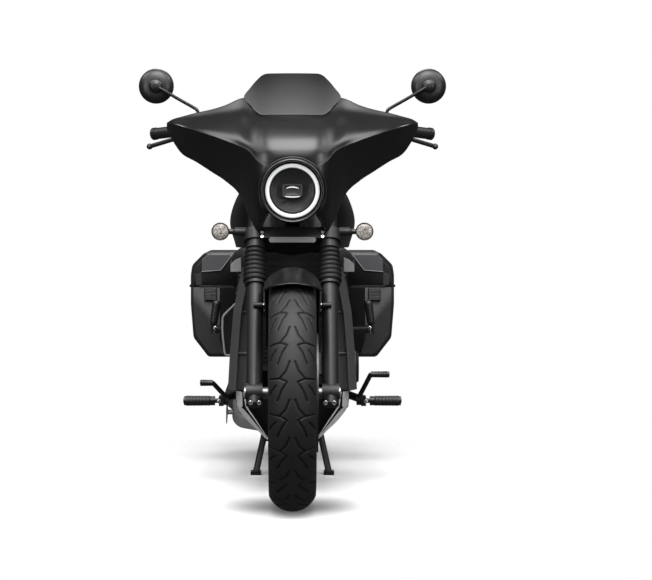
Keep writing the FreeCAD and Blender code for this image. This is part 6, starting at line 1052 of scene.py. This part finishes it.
# %% Pannier shells
CASE_X, CASE_WIDTH, CASE_FOOT, CASE_TOP = 181, 145, 341, 676
SPLIT, SPLIT_GAP, CASE_CORNER, CASE_WALL, CASE_EDGE = 566, 0.5, 9, 3, 5
CASE_ENDS = ((1180, 0.93), (1220, 1.0), (1715, 1.0), (1755, 0.93))
CORNERS = [(0, 0), (0.61, 0), (0.94, 0.185), (1, 0.507), (1, 0.788), (0.966, 0.881), (0.69, 1), (0, 1)]
CASE_OUTLINE = np.array(CORNERS) * (CASE_WIDTH, CASE_TOP - CASE_FOOT) + (CASE_X, CASE_FOOT)


def cut_outline(outline, low, high):
    """The part of a closed outline between two heights; crossings are set by straight shares."""
    kept = []
    for (x0, z0), (x1, z1) in zip(outline, np.roll(outline, -1, axis=0)):
        if low - 0.01 <= z0 <= high + 0.01:
            kept.append((x0, z0))
        for level in sorted((low, high), reverse=z1 < z0):
            if (z0 - level) * (z1 - level) < 0:
                kept.append((x0 + (x1 - x0) * (level - z0) / (z1 - z0), level))
    return np.array(kept)


def softened(chain, radius, steps=5):
    """An open line whose corners become small arcs: (1 - t)^2 a + 2 t (1 - t) corner + t^2 b."""
    t = np.linspace(0, 1, steps)[:, None]
    parts = [chain[:1]]
    for before, corner, after in zip(chain, chain[1:], chain[2:]):
        a = corner + unit(before - corner) * radius
        b = corner + unit(after - corner) * radius
        parts.append((1 - t) ** 2 * a + 2 * t * (1 - t) * corner + t**2 * b)
    return np.concatenate([*parts, chain[-1:]])


def case_shell(name, chain, side, body, node, slot, opening):
    """The line carried along Y, smaller at both ends, closed by two end faces; open at the split."""
    chain = softened(chain, CASE_CORNER)
    middle = np.array([CASE_X, (CASE_FOOT + CASE_TOP) / 2])
    rings = []
    for y, share in CASE_ENDS:
        scaled = middle + (chain - middle) * share
        scaled[[0, -1], 1] = chain[[0, -1], 1]
        rings.append(np.insert(scaled * (side, 1), 1, y, axis=1))
    rows, columns = len(rings), len(chain)
    faces = grid_faces(rows, columns, False, False).tolist()
    faces += [list(range(columns)), list(range((rows - 1) * columns, rows * columns))]
    piece = new_piece(name, np.concatenate(rings), faces, body, slot, sharp_degrees=20)
    facing(piece, opening)
    walled(bevelled(piece, CASE_EDGE, 3, 15), CASE_WALL)
    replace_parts(piece, node)


low_chain = np.roll(cut_outline(CASE_OUTLINE, CASE_FOOT, SPLIT - SPLIT_GAP), 1, axis=0)
high_chain = cut_outline(CASE_OUTLINE, SPLIT + SPLIT_GAP, CASE_TOP)
DOWN = (0, 0, -1)
for side, word in SIDES:
    body_node, lid_node = f"pannier_{word}", f"pannier_lid_{word}"
    case_shell(f"pannier_case_{word}", low_chain, side, "chassis", body_node, "case_black", DOWN)
    case_shell(f"pannier_cover_{word}", high_chain, side, f"{word}_lid", lid_node, "plastic_black", UP)
print("pannier corners", len(low_chain), len(high_chain))

# %% [markdown]
# The front of the case is moulded in steps: a raised panel and a facet on the lid, a groove below
# it, and the latch with its ribs on the body. A thin pale line along the panel's edge is a painted
# highlight, and a dull black plate over the inner part of the body is painted shade. The steps and
# the shade are flat plates with rounded edges, the highlight line a thin tube. Three hinges of two
# barrels each stand on the case's outer side.

# %% Pannier fronts
CASE_FACE = 1184
PANEL = [(289, 616), (229, 621), (197, 663), (200, 671), (270, 671), (289, 654)]
PLATES = [
    ("panel", PANEL, 1174, "panel_grey", 2.6),
    ("facet", [(181.5, 658), (198, 652), (197, 612), (181.5, 618)], 1178, "panel_grey", 1.5),
    ("seam", [(183, 569.5), (296, 571), (296, 566.8), (183, 566.8)], 1178.2, "plastic_black", 0.8),
    ("cheek", [(289, 572), (308, 572), (310, 604), (289, 613)], 1178, "case_black", 1.5),
    # painted shade: a dull black plate where the inner front of the case lies in shadow
    ("shade", [(183, 346), (216, 346), (232, 400), (232, 564), (183, 564)], 1178.4, "painted_shade_black", 1),
    ("latch", [(241, 524), (281, 524), (281, 564), (241, 564)], 1173, "plastic_black", 2),
]
# painted highlight: a thin pale line along the raised panel's edge
PANEL_EDGE_HIGHLIGHT = np.array([(289.5, 1174.5, 615.5), (229, 1174.5, 620.3), (196.5, 1174.5, 663)])
RIBS, RIB_Y, RIB_XS, RIB_RADIUS = np.arange(527, 562, 4.6), 1173, np.linspace(244, 278, 7), 1.5
HINGES, HINGE_X, HINGE_RADIUS, BARREL, BARREL_STEP = (1306.5, 1467.5, 1628.5), 330.3, 4, 29, 30


def plate_piece(name, outline, y_front, y_back, body, slot, edge):
    """A flat plate facing forward: its (x, z) outline between two depths, with rounded edges."""
    rings = [np.insert(np.asarray(outline, float), 1, y, axis=1) for y in (y_front, y_back)]
    return bevelled(tube_piece(name, rings, body, slot), edge, 3)


for side, word in SIDES:
    lid = f"{word}_lid"
    for part, outline, y, slot, edge in PLATES:
        body = "chassis" if part in ("shade", "latch") else lid
        name, outline = f"pannier_{part}_{word}", np.array(outline) * (side, 1)
        plate_piece(name, outline, y, CASE_FACE, body, slot, edge)
    edge_highlight = swept_rings(PANEL_EDGE_HIGHLIGHT * (side, 1, 1), 1.3, 10)
    tube_piece(f"pannier_edge_highlight_{word}", edge_highlight, lid, "cap_grey")
    for count, z in enumerate(RIBS):
        rib = swept_rings([(x * side, RIB_Y, z) for x in RIB_XS], RIB_RADIUS, 8, up=UP)
        tube_piece(f"pannier_latch_rib_{word}_{count}", rib, "chassis", "plastic_black")
    for count, y in enumerate(HINGES):
        for start, body in ((0, "chassis"), (BARREL_STEP, lid)):
            end = start + BARREL
            barrel = [(0, start), (HINGE_RADIUS, start), (HINGE_RADIUS, end), (0, end)]
            name, place = f"pannier_hinge_{word}_{count}_{start}", (HINGE_X * side, y, SPLIT)
            turned_piece(name, barrel, place, BACK, body, "alloy_black", 24)
print("plates", len(PLATES), "ribs", len(RIBS), "hinges", len(HINGES))

# %% [markdown]
# ## Foot rests and pads
# The rider's rests and the two foot levers end in ribbed rubber sleeves, and the passenger's rests
# are folded up, thicker towards their tip. A sleeve is a turned profile whose radius goes up and
# down along it, which is how the real mould makes its ribs.

# %% Foot rests
def ribbed(start, end, radius, ribs, depth=1.4, root=0.85):
    """A sleeve's (radius, along) pairs: rounded ends, and ribs by depth * cos^4 along its length."""
    s = np.linspace(0, 1, ribs * 8 + 1)
    round_off = np.clip(np.minimum(s, 1 - s) * 9, 0, 1) ** 0.5
    wave = depth * np.cos(math.pi * s * ribs) ** 4
    r = (radius * (root + (1 - root) * s) - wave) * (0.3 + 0.7 * round_off)
    line = np.stack([r, start + (end - start) * s], -1)
    return np.concatenate([[(0, start)], line, [(0, end)]])


def sleeve_piece(name, profile, place, axis):
    """A ribbed rubber sleeve turned about axis at place."""
    return turned_piece(name, profile, place, axis, "chassis", "grip_rubber", 40)


rest, folded = ribbed(236, 327.5, 15.6, 9, 0.7, 0.95), ribbed(0, 80, 14, 8, 0.4, 0.86)
for side, word in SIDES:
    sleeve_piece(f"rider_peg_rubber_{word}", rest, (0, 720, 240), (side, 0, 0))
    place, lean = (249 * side, 1090, 448), (-0.14 * side, 0, 0.99)
    peg = sleeve_piece(f"passenger_peg_{word}", folded, place, lean)
    if side > 0:
        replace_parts(peg, "passenger_pegs")
sleeve_piece("brake_pad_rubber", ribbed(234.5, 273, 10.2, 6), (0, 602, 302), (-1, 0, 0))
sleeve_piece("shift_pad_rubber", ribbed(230.5, 287, 10.2, 8), (0, 602, 327), (1, 0, 0))
peg_bolts = [(219, 692.5, 240), (-219, 692.5, 240), (243, 1078, 440), (-243, 1078, 440)]
bolts("peg_bolts", peg_bolts, FORWARD, 6, 4, "chassis")
print("foot rests dressed")

# %% [markdown]
# ## Rear lights
# A wide tail lamp sits on the fender's end between two round signals. On the real lamp the
# housing is black, the lens is only its rear face, and rows of small lamps show through it. The
# lens is a rounded frame carried a few millimetres back, and the lamps are small domes below it.

# %% Rear lights
TAIL = np.array([0.0, 1776.0, 581.0])
TAIL_HALF_WIDTH, TAIL_HALF_HEIGHT = 65, 21
HOUSING = [(0.5, 6), (1.5, 2), (6, 0), (40, 0), (44, 0.8), (44, 3), (34, 4), (34, 12)]
TAIL_LENS = [(36, 3.4), (45, 3.4), (48.5, 5), (49.8, 9), (49.8, 14), (46, 12), (36, 5)]


def tail_rings(steps):
    """The lamp's rounded outline along Y: each step is (depth, inset from the outline)."""
    return framed_rings(TAIL, [(y, TAIL_HALF_WIDTH - cut, TAIL_HALF_HEIGHT - cut) for y, cut in steps])


rings = tail_rings(HOUSING)
housing = tube_piece("tail_lamp_housing", rings, "chassis", "plastic_black", sharp_degrees=30)
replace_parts(housing, "rear_lights")
tube_piece("tail_lamp_lens", tail_rings(TAIL_LENS), "chassis", "lens_red")
DIODE_ZS, DIODE_XS, DIODE_Y = (573, 589), np.linspace(-50, 50, 9), 1810.5
lamp_rows = [(x, DIODE_Y, z) for z in DIODE_ZS for x in DIODE_XS]
bolts("tail_lamp_diodes", lamp_rows, BACK, 4, 4, "chassis", "lamp_chrome")
BAR_HALF, BAR_RADIUS, BAR_Y = 157, 9, 1801
bar = [(0, -BAR_HALF), (BAR_RADIUS, -BAR_HALF), (BAR_RADIUS, BAR_HALF), (0, BAR_HALF)]
turned_piece("rear_signal_bar", bar, (0, BAR_Y, TAIL[2]), (1, 0, 0), "chassis", "plastic_black", 32)
for side, word in SIDES:
    turn_signal("rear", word, ((BAR_HALF + 1) * side, BAR_Y + 25, TAIL[2]), FORWARD, "chassis")
print("rear lights made")

# %% [markdown]
# ## Belly pan edges
# The pan under the engine has broad grey edges that flare out beside the front wheel. Their pale
# grey is partly their own and partly a painted highlight where they catch the light, and the dark
# front set further back between them is painted shade. Each edge is a strip between an inner and
# an outer line, both measured as points, and a middle line lifted between them makes it round.

# %% Belly pan edges
INNER_LINE = [(136, 377, 292), (131, 377, 262), (126, 377, 246)]
INNER_LINE += [(101, 377.5, 209), (79, 378, 174), (62, 379, 152)]
OUTER_LINE = [(163, 425, 293), (161, 425, 266), (157, 425, 243)]
OUTER_LINE += [(131, 425, 208), (101, 425, 179), (78, 425, 156)]
EDGE_OFFSET, EDGE_SWELL, EDGE_WALL = 4, 10, 3
share = np.linspace(0, 1, 14)[:, None, None]
strip = flowing(INNER_LINE, 40) * (1 - share) + flowing(OUTER_LINE, 40) * share
strip = strip + np.array(FORWARD) * (EDGE_OFFSET + EDGE_SWELL * np.sin(math.pi * share))
for side, word in SIDES:
    one = strip * (side, 1, 1)
    sheet_piece(f"belly_edge_{word}", one, one + (0, EDGE_WALL, 0), "chassis", "belly_grey_and_highlight")
print("belly edges", strip.min((0, 1)).round(1), strip.max((0, 1)).round(1))

# %% [markdown]
# ## Scoop and caps beside the engine
# Each radiator shroud ends in a light facet at its top. On the machine's right an air scoop
# stands out from the engine cover, a dark mouth with a thin pale rim that is a painted highlight
# along its edge. The rim is a closed line through measured points with a round section, the mouth
# is a plate with the same outline, and a cap is a flat plate with rounded edges.

# %% Scoop and caps
SCOOP_Y, SCOOP_HIGHLIGHT_RADIUS, CAP_YS = 568, 3.2, (418, 424)
SCOOP = [(152, 552), (177, 527), (202, 501), (205, 478), (205, 454), (202, 420), (197, 389)]
SCOOP = np.array(SCOOP + [(184, 386), (170, 392), (166, 440), (163, 501), (156, 530)]) * (-1, 1)
rim = np.insert(SCOOP.astype(float), 1, SCOOP_Y, axis=1)
rim = flowing(np.concatenate([rim, rim[:1]]), 97)[:-1]
# painted highlight: the scoop's pale rim line
tube_piece("scoop_highlight_loop", swept_rings(rim, SCOOP_HIGHLIGHT_RADIUS, 12), "chassis", "cap_grey", ring_rows=True)
plate_piece("scoop_body", SCOOP, SCOOP_Y - 1, SCOOP_Y + 9, "chassis", "body_black", 1)
CAP = np.array([(178, 634), (178, 655), (164, 669), (147, 676), (147, 634)])
for side, word in SIDES:
    plate_piece(f"shroud_cap_{word}", CAP * (side, 1), *CAP_YS, "chassis", "cap_grey", 2)
print("scoop and caps made")

# %% [markdown]
# ## Brake hose
# The front brake hose leaves the caliper, runs up behind the left fork leg and goes into the lower
# clamp. It is a curve with a round section along the same route as in the frame. The curve cuts
# the corners of its route a little, so it is shorter than the straight pieces between the points.

# %% Brake hose
HOSE_DIAMETER, CORNER_SHARE = 0.008, 0.985
hose_route = [on_fork(150.3, 85, 79), on_fork(190, 85, 79), on_fork(290, 41, 103)]
hose_route += [on_fork(466.8, 41, 103), on_fork(475, 41, 103), on_fork(475, 32.8, 103)]
hose_line = bpy.data.curves.new("front_brake_hose_line", "CURVE")
hose_line.dimensions = "3D"
hose_line.bevel_depth = HOSE_DIAMETER / 2
hose_line.bevel_resolution = 6
hose_line.resolution_u = 8
hose_line.use_fill_caps = True
spline = hose_line.splines.new("NURBS")
spline.points.add(len(hose_route) - 1)
for point, place in zip(spline.points, shared(hose_route)):
    point.co = (*place, 1)
spline.order_u = 3
spline.use_endpoint_u = True
hose = bpy.data.objects.new("front_hose", hose_line)
bpy.context.scene.collection.objects.link(hose)
hose.data.materials.append(finish_of["grip_rubber"])
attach(hose, "front_end")
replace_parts(hose, "front_brake_hose")
start = shared(hose_route)[0]

# %% [markdown]
# ## Rounded edges on the solids
# No cast or pressed part has a razor edge: every corner has a small radius that catches a line of
# light. A bevel modifier gives the solids that line and leaves their meshes as they are.

# %% Rounded edges
ROUNDED = {
    "triple_clamps": 2, "fork_legs": 1.2, "engine_block": 1.5, "engine_covers": 2.5, "airbox": 3,
    "radiator": 1, "radiator_shrouds": 1.8, "belly_pan": 1.8, "swingarm": 3, "front_caliper": 2,
    "rear_caliper": 2, "horn": 1, "hand_controls": 1.5, "muffler": 1, "centre_stand": 1.2,
    "side_stand": 1, "gauge": 1, "front_axle": 0.8,
}
for name, width in ROUNDED.items():
    bevelled(nodes[name], width, 2, 35)
print("rounded", len(ROUNDED))

# %% [markdown]
# ## The floor
# The machine stands on a plain pale floor, as in a studio. The floor fades out with distance, so
# no edge shows, and it doesn't show in gloss paint. A soft grey patch in its paint deepens the
# shadow where the front tyre touches it.

# %% Floor
FLOOR_HALF, FADE_SCALE, PATCH_SCALE, PATCH_Y = 9, (1.6, 0.62, 1.0), 3.0, -0.72
PALE, GREY = 0.95, 0.1
floor_mesh = bpy.data.meshes.new("floor")
corners = [(-1, -1, 0), (1, -1, 0), (1, 1, 0), (-1, 1, 0)]
floor_mesh.from_pydata((np.array(corners) * FLOOR_HALF).tolist(), [], [(0, 1, 2, 3)])
floor = bpy.data.objects.new("floor", floor_mesh)
bpy.context.scene.collection.objects.link(floor)
paint = bpy.data.materials.new("pale_floor")
paint.use_nodes = True
tree = paint.node_tree
shader = tree.nodes["Principled BSDF"]
set_inputs(shader, Emission_Color=(1, 1, 1, 1), Emission_Strength=0.08)
set_inputs(shader, Roughness=0.6, Specular_IOR_Level=0.2)
place = shader_node(tree, "TexCoord")
fade_place = shader_node(tree, "Mapping", Scale=FADE_SCALE)
fade = shader_node(tree, "TexGradient")
soft = shader_node(tree, "MapRange", From_Max=0.5)
patch_scale, patch_shift = (PATCH_SCALE, PATCH_SCALE, 1.0), (0.0, -PATCH_SCALE * PATCH_Y, 0.0)
patch_place = shader_node(tree, "Mapping", Scale=patch_scale, Location=patch_shift)
patch = shader_node(tree, "TexGradient")
fade.gradient_type = patch.gradient_type = "SPHERICAL"
patch_ramp = ramp_node(tree, ([PALE] * 3, [GREY] * 3))
patch_ramp.color_ramp.interpolation = "EASE"
wire(
    tree,
    (place, "Object", fade_place, "Vector"),
    (fade_place, "Vector", fade, "Vector"),
    (fade, "Fac", soft, "Value"),
    (soft, "Result", shader, "Alpha"),
    (place, "Object", patch_place, "Vector"),
    (patch_place, "Vector", patch, "Vector"),
    (patch, "Fac", patch_ramp, "Fac"),
    (patch_ramp, "Color", shader, "Base Color"),
)
floor_mesh.materials.append(paint)
floor.visible_glossy = False
print("floor", 2 * FLOOR_HALF, "metres wide")

# %% [markdown]
# ## The background
# The background is white only where the camera or a glass looks at it: the same white used as a
# lamp would wash out the black.

# %% Background
world = bpy.data.worlds.new("studio")
bpy.context.scene.world = world
world.use_nodes = True
tree = world.node_tree
sky = tree.nodes["Background"]
set_inputs(sky, Color=(1, 1, 1, 1))
path = shader_node(tree, "LightPath")
seen = shader_node(tree, "Math")
seen.operation = "MAXIMUM"
level = shader_node(tree, "MapRange", To_Min=0.08)
tree.links.new(path.outputs["Is Camera Ray"], seen.inputs[0])
tree.links.new(path.outputs["Is Transmission Ray"], seen.inputs[1])
wire(tree, (seen, "Value", level, "Value"), (level, "Result", sky, "Strength"))
print("background set")

# %% [markdown]
# ## Lamps
# Black paint is seen by what it mirrors, so the lamps are large soft boxes: a wide one above the
# nose draws the bright bar over the headlight, tall ones at the sides draw the lines along the
# fork and the tyre, and a weak one behind lights the rear when the machine is turned round.

# %% Lamps
NOSE_AIM, LOW_AIM = (0, -0.6, 1.0), (0, -0.5, 0.5)
LAMPS = [
    ("front_top", (0, -2.3, 4.2), NOSE_AIM, (2.9, 3.4), 310),
    ("front_low", (0, -4.7, 3.1), (0, -0.5, 0.9), (2.4, 1.5), 55),
    ("corner_left", (2.4, -2.2, 3.4), NOSE_AIM, (1.8, 2.2), 30),
    ("corner_right", (-2.4, -2.2, 3.4), NOSE_AIM, (1.8, 2.2), 30),
    ("top_left", (2.1, -0.4, 3.2), (0.2, -0.4, 1.0), (1.3, 1.5), 36),
    ("top_right", (-2.1, -0.4, 3.2), (-0.2, -0.4, 1.0), (1.3, 1.5), 36),
    ("front_left", (2.6, -3.6, 1.3), LOW_AIM, (0.8, 1.8), 38),
    ("front_right", (-2.6, -3.6, 1.3), LOW_AIM, (0.8, 1.8), 38),
    ("behind", (0, 2.6, 3.6), (0, 0.2, 0.3), (1.6, 1.6), 40),
]
for name, place, aim, size, power in LAMPS:
    lamp = bpy.data.lights.new(name, "AREA")
    lamp.shape = "RECTANGLE"
    lamp.size, lamp.size_y = size
    lamp.energy = power
    stand = bpy.data.objects.new(name, lamp)
    bpy.context.scene.collection.objects.link(stand)
    stand.location = place
    towards = Vector(np.array(aim, float) - np.array(place, float))
    stand.rotation_euler = towards.to_track_quat("-Z", "Y").to_euler()
print("lamps", len(LAMPS))

# %% [markdown]
# ## The camera
# The camera stands level with the headlight, 6.5 m ahead of the front wheel, with a long lens.
# The picture's middle is moved by shifting the lens and not by turning it, so uprights stay
# upright.

# %% Camera
FOCAL_LENGTH, FILM_WIDTH, EYE = 132.9, 36, (0, -7.302, 0.812)
camera = bpy.data.cameras.new("camera")
camera.lens, camera.sensor_width = FOCAL_LENGTH, FILM_WIDTH
camera.shift_x, camera.shift_y = 0.0515, -0.1227
eye = bpy.data.objects.new("camera", camera)
bpy.context.scene.collection.objects.link(eye)
eye.location = EYE
eye.rotation_euler = (math.radians(90), 0, 0)
bpy.context.scene.camera = eye
bpy.context.scene.view_settings.view_transform = "Standard"
print("camera", EYE)
